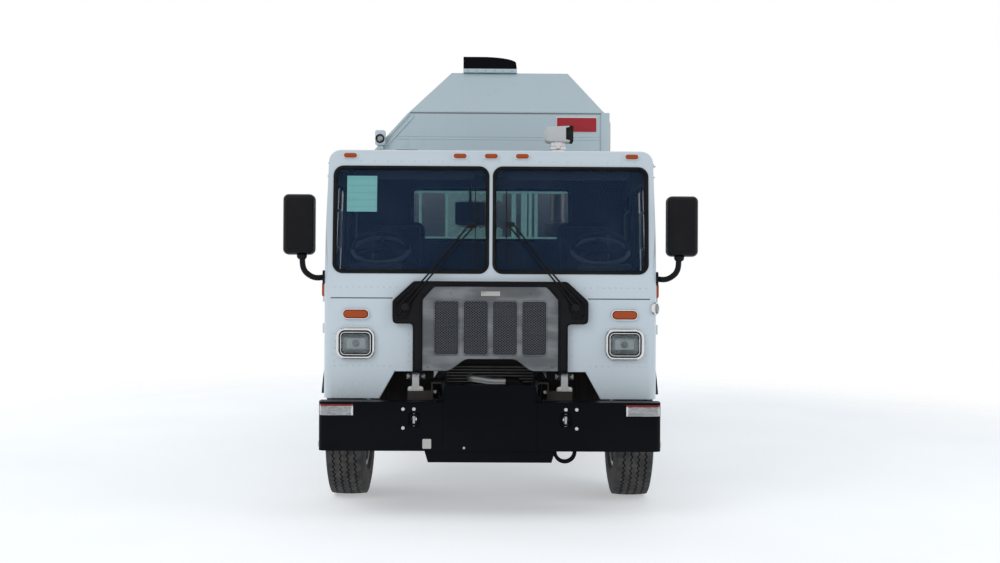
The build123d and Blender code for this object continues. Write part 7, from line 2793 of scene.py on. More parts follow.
@dataclass
class CabSides(Assembly):
    """The cab's flanks: window rubbers, hinge straps, handles, drip rails, rivets and the doors' linings."""

    body: str = "cab"
    window: tuple[float, float, float, float] = (0.51, 1.3, 1.745, 2.47)
    quarter: tuple[float, float, float, float] = (1.47, 1.83, 1.745, 2.47)
    bead: tuple[Point2, ...] = (
        (-0.006, -0.004), (-0.006, 0.004), (0.0, 0.009), (0.016, 0.008), (0.026, -0.002), (0.028, -0.014),
        (0.0, -0.016),
    )

    def build(self) -> None:
        """Builds both flanks."""
        for name, side in SIDES:
            self.doors(name, side)
        self.flanks()

    @staticmethod
    def on_side(form: Form, side: float) -> Form:
        """Moves what is drawn about X = 0 onto a flank of the cab, outward being +X.

        Args:
            form: what was drawn.
            side: which flank.

        Returns:
            The form.
        """
        return form.bent_by(lambda point: Vector((side * (side_x(point.z) + point.x), point.y, point.z)))

    def doors(self, name: str, side: float) -> None:
        """One door's rubber, handle, lock, hinge straps, lower ribs and lining.

        Args:
            name: the side's name.
            side: 1 or -1.
        """
        body = f"door_{name}"
        front, rear, low, high = self.window
        rubber = Form().ring(
            panel((station(front), low), (station(rear), high), 0.05, 8), Facing.SIDE, self.bead
        )
        rubber.box((-0.016, station(0.98), low + 0.006), (0.004, station(1.0), high - 0.006), 0.002)
        self.on_side(rubber, side).place(f"door_rubber_{name}", body, GASKET, "black_plastic")
        handle = Form()
        handle.prism(
            panel((station(1.2), 1.5), (station(1.34), 1.6), 0.022), Facing.SIDE, -0.002, 0.004, 0.002
        )
        handle.prism(
            panel((station(1.215), 1.545), (station(1.325), 1.58), 0.014), Facing.SIDE, 0.004, 0.026, 0.008
        )
        handle.lathe([(0.0, 0.014), (0.006, 0.014), (0.008, 0.01)], (0.0, station(1.27), 1.522), 0, 20)
        self.on_side(handle, side).place(f"door_handle_{name}", body, PLASTIC, "black_plastic")
        straps = Form()
        for z in (1.42, 2.3):
            strap = panel((station(0.425), z - 0.035), (station(0.56), z + 0.035), 0.012)
            straps.prism(strap, Facing.SIDE, -0.002, 0.006, 0.002)
            spots = ((0.49, z - 0.015), (0.49, z + 0.015), (0.535, z))
            straps.hexes([(0.006, station(at), height) for at, height in spots], 0, 1.0, 0.007, 0.005)
        for n in range(3):
            z = 1.29 + n * 0.06
            rib = panel((station(0.5), z - 0.008), (station(1.3), z + 0.008), 0.006)
            straps.prism(rib, Facing.SIDE, -0.002, 0.005, 0.004)
        self.on_side(straps, side).place(f"door_straps_{name}", body, WHITE, "white_paint")
        lining = Form()
        lining.prism(
            panel((station(0.47), 1.27), (station(1.34), 1.72), 0.04), Facing.SIDE, -0.082, -0.052, 0.008
        )
        lining.prism(
            panel((station(0.85), 1.56), (station(1.2), 1.62), 0.02), Facing.SIDE, -0.117, -0.075, 0.012
        )
        lining.rod((-0.1, station(0.7), 1.5), (-0.08, station(0.7), 1.5), 0.02, 16, 0.004)
        self.on_side(lining, side).place(f"door_lining_{name}", body, TRIM, "black_plastic")

    def flanks(self) -> None:
        """Rubbers of the quarter and rear windows, drip rails, waist ridges, entry handles and rivets."""
        rubbers, ridges, handles, rivets = Form(), Form(), Form(), Form()
        front, rear, low, high = self.quarter
        for _, side in SIDES:
            rubber = Form().ring(
                panel((station(front), low), (station(rear), high), 0.05, 8), Facing.SIDE, self.bead
            )
            rubbers.join(self.on_side(rubber, side))
            rail = [(-0.004, 2.592), (0.016, 2.586), (0.019, 2.592), (0.016, 2.598), (-0.004, 2.604)]
            ridge = Form().prism(rail, Facing.FRONT, station(0.39), station(1.9))
            ridge.rod((0.0, station(1.41), 1.757), (0.0, station(1.92), 1.757), 0.0045, 8)
            ridges.join(self.on_side(ridge, side))
            y = station(1.43)
            bow = [(0.0, y, 1.52), (0.048, y, 1.54), (0.048, y, 2.28), (0.0, y, 2.3)]
            handle = Form().pipe(bow, 0.0125, 0.035, 14)
            for z in (1.52, 2.3):
                handle.lathe([(0.0, 0.03), (0.006, 0.03), (0.009, 0.022)], (0.0, y, z), 0, 20)
            handles.join(self.on_side(handle, side))
            rows = Form()
            rows.domes([(0.0, station(1.915), 1.3 + n * 0.06) for n in range(20)], 0, 1.0, 0.005, 0.0016)
            rows.domes([(0.0, station(0.34), 1.3 + n * 0.06) for n in range(5)], 0, 1.0, 0.005, 0.0016)
            rivets.join(self.on_side(rows, side))
        bead = [(share, station(1.95) + deep) for share, deep in self.bead]
        rubbers.join(Form().ring(panel((-0.7, 2.074), (0.7, 2.545), 0.05, 8), Facing.FRONT, bead))
        rubbers.place("window_rubbers", self.body, GASKET, "black_plastic")
        ridges.place("drip_rails", self.body, WHITE, "white_paint")
        handles.place("entry_handles", self.body, HANDLE_PALE, "bright_metal")
        rivets.place("side_rivets", self.body, WHITE, "white_paint")


@dataclass
class RearGuard(Assembly):
    """The pale mesh guard and pipes behind the cab's rear window, with painted light glowing on their forward
    faces.
    """

    body: str = "cab"
    y: float = station(1.966)
    bars: tuple[tuple[Point2, Point2], ...] = (
        ((-0.72, 2.5), (0.72, 2.53)),
        ((-0.72, 2.09), (0.72, 2.12)),
        ((-0.4, 2.12), (-0.37, 2.5)),
        ((0.38, 2.12), (0.41, 2.5)),
    )
    windows: tuple[tuple[Point2, Point2], ...] = (
        ((-0.37, 2.43), (0.1, 2.5)),
        ((-0.37, 2.12), (-0.28, 2.43)),
        ((-0.28, 2.12), (0.1, 2.2)),
    )

    def build(self) -> None:
        """Builds the frame, its mesh and the upright pipes."""
        guard = Form()
        for low, high in self.bars:
            guard.box((low[0], self.y, low[1]), (high[0], self.y + 0.02, high[1]), 0.002)
        depth = (self.y + 0.004, self.y + 0.012)
        for low, high in self.windows:
            guard.strips(low, high, Facing.FRONT, depth, 0.024, 0.009, 32.0)
        for x, radius in ((0.2, 0.022), (0.29, 0.03), (0.345, 0.016), (-0.62, 0.014)):
            guard.rod((x, self.y + 0.045, 2.06), (x, self.y + 0.045, 2.56), radius, 14, 0.004)
            wide = radius + 0.012
            for z in (2.1, 2.51):
                guard.box((x - wide, self.y + 0.006, z - 0.012), (x + wide, self.y + 0.045, z + 0.012), 0.002)
        guard.place("rear_guard", self.body, GUARD_PALE, "white_paint")


@dataclass
class SplashGuard(Assembly):
    """The dark shields behind the cab's low cutouts, the cooler's fins and the sleeve on its pipe."""

    x: tuple[float, float] = (0.424, 0.88)
    y: tuple[float, float] = (-4.325, -4.315)
    z: tuple[float, float] = (0.74, 1.17)
    fin_half: float = 0.325
    sleeve: tuple[Point, ...] = (
        (0.115, -4.43, 0.975), (0.2, -4.43, 0.975), (0.235, -4.425, 0.92), (0.24, -4.4, 0.8)
    )

    def build(self) -> None:
        """Builds the shields, the fins and the sleeve."""
        shields, bolts, fins, sleeve = Form(), Form(), Form(), Form()
        for _, side in SIDES:
            low, high = sorted((side * self.x[0], side * self.x[1]))
            shields.prism(panel((low, self.z[0]), (high, self.z[1]), 0.05), Facing.FRONT, *self.y, 0.003)
            front, back = self.y[0] - 0.012, self.y[0] + 0.002
            for share in (0.25, 0.5, 0.75):
                x = low + (high - low) * share
                shields.box((x - 0.01, front, self.z[0] + 0.03), (x + 0.01, back, self.z[1] - 0.03), 0.003)
            shields.box((low, self.y[1] - 0.002, 0.9), (high, self.y[1] + 0.03, 0.93), 0.004)
            spots = [(x, self.y[0], z) for x in (low + 0.03, high - 0.03) for z in (0.8, 1.1)]
            bolts.hexes(spots, 1, -1.0, 0.008, 0.006)
        for n in range(9):
            z = 0.9 + n * 0.022
            fins.box((-self.fin_half, station(0.462), z), (self.fin_half, station(0.478), z + 0.006), 0.001)
        sleeve.pipe(self.sleeve, 0.034, 0.05, 20)
        band = [(0.0, 0.036), (0.0, 0.039), (0.01, 0.039), (0.01, 0.036)]
        for x in (0.125, 0.15):
            sleeve.lathe(band, (x, *self.sleeve[0][1:]), 0, 24, True)
        shields.place("splash_shields", self.body, CHASSIS, "black_paint")
        bolts.place("shield_bolts", self.body, ZINC, "bright_metal")
        fins.place("cooler_fins", self.body, COOLER, "bright_metal")
        sleeve.place("coolant_sleeve", self.body, GASKET, "black_plastic")


@dataclass
class EntrySteps(Assembly):
    """The folded steps in front of each front wheel, their lower tread level with the bumper's foot."""

    x: tuple[float, float] = (0.88, 1.2)
    y: tuple[float, float] = (-4.66, -4.305)
    low: float = 0.505
    tread: float = 0.71
    top: float = 0.82
    wall: float = 0.014
    rail: float = 0.43

    def build(self) -> None:
        """Folds each step from plates with rolled edges and hangs it from its beam."""
        steps = Form()
        (inner, outer), (front, rear) = self.x, self.y
        for _, side in SIDES:
            for low, high in (
                ((inner, front, self.low), (outer, rear, self.low + 0.016)),
                ((inner, front, self.low), (inner + self.wall, rear, self.top)),
                ((inner, rear - self.wall, self.low), (outer, rear, self.top)),
                ((inner, front, self.tread), (outer, rear, self.tread + 0.016)),
                ((outer - self.wall, front, self.low), (outer, front + 0.04, self.top)),
                ((self.rail, front + 0.18, self.top - 0.08), (inner + 0.004, front + 0.24, self.top - 0.02)),
            ):
                steps.box((side * low[0], low[1], low[2]), (side * high[0], high[1], high[2]), 0.004)
        steps.place("step_boxes", self.body, CHASSIS, "black_paint", ("entry_steps",))


@dataclass
class RunningGear(Assembly):
    """What is fastened to the axles, springs, rails and shafts."""

    spring_x: float = 0.39
    spring_reach: float = 0.74

    def build(self) -> None:
        """Builds each group."""
        self.springs()
        self.brakes()
        self.rails()
        self.shafts()
        self.engine()

    def springs(self) -> None:
        """The lines between the leaves, the clamping bolts over the beam and the dampers."""
        leaves, clamps, dampers = Form(), Form(), Form()
        reach = self.spring_reach * 0.96
        for _, side in SIDES:
            x = side * self.spring_x
            for n in range(5):
                rings = []
                for step in range(13):
                    along = -reach + 2 * reach * step / 12
                    middle = 1 - (along / self.spring_reach) ** 2
                    thick = (0.026 + 0.036 * middle) / 5
                    z = 0.636 - 0.064 * middle - thick * n
                    section = ((-0.047, -0.1), (0.047, -0.1), (0.047, -0.8), (-0.047, -0.8))
                    rings.append([Vector((x + a, FRONT_AXLE_Y + along, z + b * thick)) for a, b in section])
                leaves.loops(rings)
            for y in (FRONT_AXLE_Y - 0.07, FRONT_AXLE_Y + 0.07):
                for a in (x - 0.055, x + 0.055):
                    clamps.rod((a, y, 0.49), (a, y, 0.598), 0.009, 12, 0.002)
                    clamps.hexes([(a, y, 0.492)], 2, -1.0, 0.014, 0.014)
                clamps.rod((x - 0.055, y, 0.594), (x + 0.055, y, 0.594), 0.009, 12)
            low = (x + side * 0.1, FRONT_AXLE_Y + 0.12, 0.5)
            high = (x + side * 0.09, FRONT_AXLE_Y + 0.26, 0.86)
            dampers.rod(low, high, 0.018, 16, 0.003)
            dampers.rod([a + (b - a) * 0.35 for a, b in zip(low, high)], high, 0.033, 20, 0.004)
            dampers.box(
                (x + side * 0.02, FRONT_AXLE_Y + 0.03, 0.46), (x + side * 0.08, low[1] + 0.02, 0.52), 0.008
            )
            dampers.rod(
                (x + side * 0.03, low[1], low[2]), (x + side * 0.12, low[1], low[2]), 0.014, 12, 0.002
            )
            dampers.rod(
                (x + side * 0.02, high[1], high[2]), (x + side * 0.12, high[1], high[2]), 0.014, 12, 0.002
            )
        leaves.place("spring_leaves", self.body, CHASSIS, "black_paint")
        clamps.place("spring_clamps", self.body, CAST, "bright_metal")
        dampers.place("dampers", self.body, BLACK, "black_paint")

    def brakes(self) -> None:
        """The air chambers on the rear axles with their push rods."""
        chambers = Form()
        drum = [
            (-0.09, 0.03), (-0.085, 0.07), (-0.05, 0.082), (-0.045, 0.088), (-0.035, 0.088), (-0.03, 0.08),
            (0.03, 0.08), (0.035, 0.088), (0.045, 0.088), (0.05, 0.082), (0.085, 0.068), (0.09, 0.03),
        ]
        for y in REAR_AXLE_YS:
            for _, side in SIDES:
                spot = (side * 0.31, y + 0.19, WHEEL_RADIUS + 0.05)
                chambers.lathe(drum, spot, 1, 28)
                x, _, z = spot
                chambers.rod((x, y + 0.11, z), (x, y + 0.02, z), 0.01, 10)
                chambers.box((x - 0.045, y + 0.02, z - 0.06), (x + 0.045, y + 0.05, z + 0.02), 0.006)
        chambers.place("brake_chambers", self.body, CHASSIS, "black_paint")

    def rails(self) -> None:
        """Bolts in rows along the frame rails and at the crossmembers, and the air tanks between them."""
        bolts, tanks = Form(), Form()
        for _, side in SIDES:
            face = side * 0.4302
            for at in (1.9, 2.3, 3.3, 3.75, 4.3, 4.95, 5.5, 6.2, 7.0, 7.8, 8.5):
                spots = [(face, station(at + a), z) for a in (-0.05, 0.05) for z in (0.77, 0.9)]
                bolts.hexes(spots, 0, side, 0.011, 0.009)
        end = [(0.34, 0.105), (0.375, 0.098), (0.405, 0.075), (0.417, 0.03)]
        tank = [(-a, radius) for a, radius in reversed(end)] + end
        band = [(-0.018, 0.104), (-0.018, 0.1085), (0.018, 0.1085), (0.018, 0.104)]
        for y in (-0.6, 0.05):
            tanks.lathe(tank, (0.0, y, 0.85), 0, 32)
            for x in (-0.16, 0.16):
                tanks.lathe(band, (x, y, 0.85), 0, 32, True)
        bolts.place("rail_bolts", self.body, CAST, "bright_metal")
        tanks.place("air_tanks", self.body, CHASSIS, "black_paint")

    def shafts(self) -> None:
        """The flanges and crosses at the drive shafts, and the bolts round both axle housings."""
        joints, covers = Form(), Form()
        for y in REAR_AXLE_YS:
            for turn in range(10):
                angle = 2 * math.pi * turn / 10
                a, b = y + 0.168 * math.sin(angle), WHEEL_RADIUS + 0.168 * math.cos(angle)
                covers.rod((-0.123, a, b), (0.125, a, b), 0.011, 10, 0.002)
            flange = [(-0.012, 0.085), (0.012, 0.085), (0.012, 0.05), (-0.012, 0.05)]
            joints.lathe(flange, (0.0, y - 0.33, WHEEL_RADIUS), 1, 28, True)
            middle = Vector((0.0, y - 0.37, WHEEL_RADIUS))
            for arm in (Vector((0.07, 0.0, 0.0)), Vector((0.0, 0.0, 0.07))):
                joints.rod(middle - arm, middle + arm, 0.018, 14, 0.003)
        joints.place("shaft_joints", self.body, CAST, "bright_metal")
        covers.place("axle_bolts", self.body, CHASSIS, "black_paint")

    def engine(self) -> None:
        """The engine's ribs, covers, sump and pulleys, as seen from below and the sides."""
        ribs, pulleys = Form(), Form()
        for side in (1.0, -1.0):
            for n in range(8):
                y = station(0.72 + n * 0.13)
                ribs.box((side * 0.296, y - 0.012, 0.74), (side * 0.316, y + 0.012, 1.4), 0.004)
            for n in range(4):
                low = (side * 0.298, station(0.8 + 0.22 * n), 0.86)
                ribs.lathe([(0.0, 0.052), (side * 0.02, 0.05), (side * 0.028, 0.03)], low, 0, 24)
            ribs.box((side * 0.292, station(0.7), 1.02), (side * 0.334, station(1.64), 1.07), 0.012)
        ribs.prism(rounded((-0.21, station(0.7)), (0.21, station(1.6)), 0.05), Facing.TOP, 0.572, 0.545, 0.01)
        spots = [(x, station(0.74 + 0.12 * n), 0.572) for x in (-0.225, 0.225) for n in range(8)]
        ribs.hexes(spots, 2, -1.0, 0.008, 0.007)
        for x, z, radius in ((0.0, 0.72, 0.095), (0.13, 0.98, 0.07), (-0.13, 1.02, 0.06), (0.0, 1.2, 0.11)):
            root = radius - 0.008
            rim = [
                (0.0, radius), (-0.012, radius), (-0.018, root), (-0.024, root), (-0.03, radius),
                (-0.042, radius),
            ]
            pulleys.lathe([*rim, (-0.044, radius * 0.4)], (x, station(0.64), z), 1, 28)
        ribs.place("engine_details", self.body, ENGINE, "black_paint")
        pulleys.place("engine_pulleys", self.body, CAST, "bright_metal")


@dataclass
class SideGear(Assembly):
    """Caps, straps and latches of the tank and boxes, the fenders' flaps and the rear bar's fittings."""

    tank_x: float = 0.8
    tank_z: float = 0.69
    tank_radius: float = 0.285
    tank_y: tuple[float, float] = (-0.95, 0.55)
    box_face: float = -1.15
    boxes: tuple[tuple[float, float, float], ...] = ((-0.9, -0.3, 0.96), (-0.23, 0.5, 1.01))

    def build(self) -> None:
        """Builds each group."""
        self.tank()
        self.lockers()
        self.fenders()
        self.rear_bar()

    def tank(self) -> None:
        """The fuel tank's rolled ends, its straps with bolts and brackets, and its filler cap."""
        tank, straps, cap = Form(), Form(), Form()
        x, z, rim = self.tank_x, self.tank_z, self.tank_radius
        roll = [
            (0.0, rim - 0.01), (-0.003, rim - 0.002), (0.0, rim + 0.002), (0.014, rim + 0.002),
            (0.016, rim - 0.001),
        ]
        boss = [(-0.001, 0.12), (-0.004, 0.11), (-0.004, 0.02)]
        for y, way in zip(self.tank_y, (1.0, -1.0)):
            tank.lathe([(way * a, radius) for a, radius in roll], (x, y, z), 1, 48, True)
            tank.lathe([(way * a, radius) for a, radius in boss], (x, y, z), 1, 32)
        band = [(-0.026, rim), (-0.026, rim + 0.004), (0.026, rim + 0.004), (0.026, rim)]
        for y in (-0.66, -0.2, 0.26):
            straps.lathe(band, (x, y, z), 1, 56, True)
            for height, drop in ((0.93, -0.05), (0.47, 0.05)):
                straps.rod((x + 0.13, y, height), (x + 0.2, y, height + drop), 0.009, 10)
            for height in (0.62, 0.74):
                straps.box((0.43, y - 0.03, height), (x - 0.2, y + 0.03, height + 0.04), 0.004)
        spot = (x + 0.12, -0.82, z + 0.255)
        cap.lathe([(0.0, 0.052), (0.02, 0.052), (0.022, 0.046)], spot, 2, 32)
        cap.lathe([(0.02, 0.06), (0.024, 0.064), (0.046, 0.064), (0.052, 0.058), (0.054, 0.02)], spot, 2, 12)
        tank.place("tank_rims", self.body, ALUMINIUM, "tank_metal")
        straps.place("tank_straps", self.body, STAINLESS, "bright_metal")
        cap.place("tank_cap", self.body, PLASTIC, "black_plastic")

    def lockers(self) -> None:
        """The lockers' door seams, hinges and paddle latches."""
        doors, metal = Form(), Form()
        for front, rear, top in self.boxes:
            low, high = (front + 0.03, 0.48), (rear - 0.03, top - 0.03)
            doors.prism(
                panel(low, high, 0.025), Facing.SIDE, self.box_face + 0.001, self.box_face - 0.012, 0.004
            )
            middle = (low[0] + high[0]) / 2
            tray = panel((middle - 0.06, high[1] - 0.11), (middle + 0.06, high[1] - 0.05), 0.012)
            metal.prism(tray, Facing.SIDE, self.box_face - 0.011, self.box_face - 0.017, 0.002)
            paddle = panel((middle - 0.04, high[1] - 0.1), (middle + 0.02, high[1] - 0.06), 0.01)
            metal.prism(paddle, Facing.SIDE, self.box_face - 0.016, self.box_face - 0.022, 0.002)
            x, z = self.box_face - 0.014, low[1] + 0.004
            for y in (low[0] + 0.08, high[0] - 0.08):
                metal.rod((x, y - 0.04, z), (x, y + 0.04, z), 0.009, 12, 0.002)
        doors.place("locker_doors", self.body, BLACK, "black_paint")
        metal.place("locker_latches", self.body, STAINLESS, "bright_metal")

    def fenders(self) -> None:
        """Rolled edges and brackets of the rear fenders, and the ribs of their flaps."""
        rims, flaps = Form(), Form()
        path = [(0.84, 0.82), (0.92, 1.02), (1.11, 1.125), (3.19, 1.125), (3.38, 1.02), (3.46, 0.82)]
        for _, side in SIDES:
            for x in (0.58, 1.208):
                points = [(side * x, y, z + 0.001) for y, z in path]
                rims.pipe(points, 0.007, 0.06, 10)
            low, high = sorted((side * 0.6, side * 1.2))
            for n in range(9):
                x = low + 0.03 + n * (high - low - 0.06) / 8
                flaps.box((x - 0.006, 3.46, 0.29), (x + 0.006, 3.4665, 0.84), 0.002)
            flaps.box((low, 3.455, 0.275), (high, 3.468, 0.3), 0.003)
            rims.box((low, 3.458, 0.83), (high, 3.47, 0.86), 0.003)
            pitch = (high - low - 0.1) / 5
            rims.domes([(low + 0.05 + n * pitch, 3.47, 0.845) for n in range(6)], 1, 1.0, 0.009, 0.005)
        rims.place("fender_rims", self.body, BLACK, "black_paint")
        flaps.place("flap_ribs", self.body, GASKET, "black_plastic")

    def rear_bar(self) -> None:
        """Rings round the rear lamps, reflectors, the bar's bolts and the grips on it."""
        rings, bolts, tape = Form(), Form(), Form()
        ring = [(0.0, 0.047), (0.0, 0.053), (0.01, 0.053), (0.014, 0.05), (0.012, 0.047)]
        for _, side in SIDES:
            for x in (0.87, 0.98, 1.09):
                rings.lathe(ring, (side * x, 4.5, 0.685), 1, 32, True)
            low, high = sorted((side * 0.86, side * 1.1))
            for n in range(4):
                a = low + (high - low) * n / 4
                square = rounded((a + 0.002, 0.54), (a + (high - low) / 4 - 0.002, 0.58), 0.003)
                tape.prism(square, Facing.FRONT, 4.509, 4.5115)
            bolts.hexes([(side * 0.46, 4.508, z) for z in (0.53, 0.59)], 1, 1.0, 0.012, 0.01)
            spots = [(side * 0.453, y, z) for y in (4.1, 4.17) for z in (0.77, 0.9)]
            bolts.hexes(spots, 0, side, 0.012, 0.01)
        grips = Form().strips((-0.8, 4.405), (0.8, 4.505), Facing.TOP, (0.62, 0.625), 0.034, 0.007, 36.0)
        rings.place("rear_lamp_rings", self.body, PLASTIC, "black_plastic")
        bolts.place("rear_bar_bolts", self.body, ZINC, "bright_metal")
        tape.place("rear_reflectors", self.body, TAPE_RED, "red_lens")
        grips.place("rear_bar_grips", self.body, CHASSIS, "black_paint")


@dataclass
class BodyHead(Assembly):
    """What is on the body's front: seam, post, strips, blank sign and work lamp; and the steel lines."""

    face: float = BODY_FRONT_Y
    sign_low: Point2 = (0.652, 3.252)
    sign_high: Point2 = (1.066, 3.412)
    post: tuple[float, float] = (1.107, 1.196)
    lamp: Point = (-1.117, -1.34, 3.178)
    seam_x: tuple[float, float] = (-0.82, 1.14)

    def build(self) -> None:
        """Builds each group."""
        self.strips()
        self.sign()
        self.work_lamp()
        self.lines()

    def strips(self) -> None:
        """The dark seam under the leaning panel, the pressed lines, the post and the sloping strips."""
        dark, pale, rivets = Form(), Form(), Form()
        y = self.face
        dark.box((self.seam_x[0], y - 0.003, 3.436), (self.seam_x[1], y + 0.004, 3.446), 0.001)
        dark.box((-0.96, y - 0.0035, 3.052), (-0.74, y + 0.002, 3.07), 0.001)
        pale.box((self.post[0], y - 0.012, 2.64), (self.post[1], y + 0.002, 3.452), 0.005)
        for a, b in (((-1.19, 3.035), (-0.832, 3.434)), ((-1.142, 3.02), (-0.79, 3.412))):
            way = (Vector(b) - Vector(a)).normalized()
            side = Vector((-way.y, way.x)) * 0.012
            corners = (Vector(a) - side, Vector(b) - side, Vector(b) + side, Vector(a) + side)
            pale.prism([tuple(corner) for corner in corners], Facing.FRONT, y + 0.002, y - 0.01)
        for z in (3.172, 3.2, 2.9):
            pale.box((-1.02, y - 0.0022, z), (1.1, y + 0.001, z + 0.007), 0.001)
        pale.box((-0.82, y - 0.006, 3.447), (1.14, y + 0.01, 3.462), 0.003)
        rivets.domes([(-0.8 + n * 0.068, y - 0.005, 3.4545) for n in range(28)], 1, -1.0, 0.005, 0.003)
        for x, z in ((-0.79, 3.46), (-0.417, 3.905)):
            rivets.domes([(x, y + (z - 3.45) * 0.85 - 0.001, z)], 1, -1.0, 0.006, 0.003)
        dark.place("body_front_seam", self.body, GREY, "grey_paint")
        pale.place("body_front_strips", self.body, BODY_WHITE, "white_paint")
        rivets.place("body_front_rivets", self.body, BODY_WHITE, "white_paint")

    def sign(self) -> None:
        """The blank red sign with its pale edge, left bare."""
        y = self.face - 0.003
        edge = Form().prism(
            panel(self.sign_low, self.sign_high, 0.012), Facing.FRONT, self.face, y - 0.002, 0.001
        )
        face = Form()
        low = (self.sign_low[0] + 0.012, self.sign_low[1] + 0.006)
        high = (self.sign_high[0] - 0.003, self.sign_high[1] - 0.012)
        face.prism(panel(low, high, 0.008), Facing.FRONT, y, y - 0.0045, 0.001)
        edge.place("blank_sign_edge", self.body, PLATE_WHITE, "white_paint")
        face.place("blank_sign", self.body, SIGN_RED, "red_lens")

    def work_lamp(self) -> None:
        """The white work lamp with its black ring, on a ledge at the body's kerb side."""
        x, y, z = self.lamp
        shell, ring, lens, ledge = Form(), Form(), Form(), Form()
        block = panel((x - 0.052, z - 0.075), (x + 0.052, z + 0.075), 0.02)
        shell.prism(block, Facing.FRONT, y + 0.095, y - 0.015, 0.014)
        section = [(0.0, 0.046), (-0.014, 0.045), (-0.02, 0.04), (-0.014, 0.034), (0.0, 0.033)]
        ring.lathe(section, (x, y - 0.012, z - 0.012), 1, 36, True)
        lens.lathe([(-0.012, 0.034), (-0.016, 0.026), (-0.019, 0.01)], (x, y - 0.002, z - 0.012), 1, 28)
        ledge.box((x - 0.03, y + 0.02, z - 0.115), (x + 0.03, self.face + 0.01, z - 0.075), 0.006)
        ledge.box((x - 0.02, y + 0.05, z - 0.08), (x + 0.02, y + 0.07, z + 0.01), 0.004)
        shell.place("work_lamp_shell", self.body, WHITE, "white_paint")
        ring.place("work_lamp_ring", self.body, PLASTIC, "black_plastic")
        lens.place("work_lamp_lens", self.body, REFLECTOR, "lamp_chrome")
        ledge.place("work_lamp_ledge", self.body, BODY_WHITE, "white_paint")

    def lines(self) -> None:
        """Two clamped steel lines high on the body's street side, down towards the lifting cylinder."""
        lines, clamps = Form(), Form()
        x = BODY_HALF + 0.012
        for n, z in enumerate((3.38, 3.345)):
            start, end = self.face + 0.1 + 0.03 * n, 2.9 + 0.05 * n
            path = ((start, 2.7), (start, z), (end, z), (end, 2.8 - 0.05 * n), (3.12, 2.77 - 0.03 * n))
            lines.pipe([(x, a, b) for a, b in path], 0.009, 0.06, 10)
        for n in range(7):
            y = -0.9 + n * 0.6
            clamps.box((BODY_HALF - 0.002, y - 0.012, 3.325), (BODY_HALF + 0.024, y + 0.012, 3.4), 0.004)
            clamps.hexes([(BODY_HALF + 0.023, y, 3.3625)], 0, 1.0, 0.007, 0.006)
        lines.place("hydraulic_lines", self.body, ZINC, "bright_metal")
        clamps.place("line_clamps", self.body, CHASSIS, "black_paint")


@dataclass
class BodySides(Assembly):
    """What is on the body's sides: the ribs' welds and top gussets, marker lamps, tape and edge strips."""

    half: float = BODY_HALF + 0.034
    ribs: int = 6
    first: float = 4.1
    pitch: float = 0.72
    rib_z: tuple[float, float] = (1.22, 3.0)

    def build(self) -> None:
        """Builds each group."""
        beads, lamps, tape, seams = Form(), Form(), Form(), Form()
        ribs = [station(self.first + self.pitch * n) for n in range(self.ribs)]
        foot, head = self.rib_z
        for _, side in SIDES:
            for rib in ribs:
                x = side * (BODY_HALF + 0.001)
                for y in (rib - 0.042, rib + 0.042):
                    beads.rod((x, y, foot + 0.01), (x, y, head - 0.01), 0.0045, 6)
                top = [
                    (side * BODY_HALF, head),
                    (side * (self.half - 0.002), head),
                    (side * BODY_HALF, head + 0.06),
                ]
                beads.prism(top, Facing.FRONT, rib - 0.038, rib + 0.038)
            for y in (-1.0, 1.55, 4.0):
                x = side * (BODY_HALF - 0.002)
                lens = panel((y - 0.05, 1.262), (y + 0.05, 1.302), 0.012)
                lamps.prism(lens, Facing.SIDE, x, x + side * 0.018, 0.005)
            for n in range(14):
                y = -1.05 + n * 0.38
                x = side * (BODY_HALF + 0.0005)
                if min(abs(y + 0.06 - rib) for rib in ribs) > 0.12:
                    tape.prism(
                        rounded((y, 1.33), (y + 0.12, 1.375), 0.004), Facing.SIDE, x, x + side * 0.0015
                    )
            inner = side * (BODY_HALF - 0.001)
            low, high = (inner, BODY_FRONT_Y + 0.01, 1.222), (side * (BODY_HALF + 0.006), 4.19, 1.25)
            seams.box(low, high, 0.002)
            low, outer = (inner, BODY_FRONT_Y + 0.002, 1.25), side * (BODY_HALF + 0.008)
            seams.box(low, (outer, BODY_FRONT_Y + 0.07, head), 0.003)
        beads.place("rib_welds", self.body, BODY_WHITE, "white_paint")
        lamps.place("side_markers", self.body, AMBER, "amber_lens")
        tape.place("side_tape", self.body, TAPE_RED, "red_lens")
        seams.place("body_edge_strips", self.body, BODY_WHITE, "white_paint")


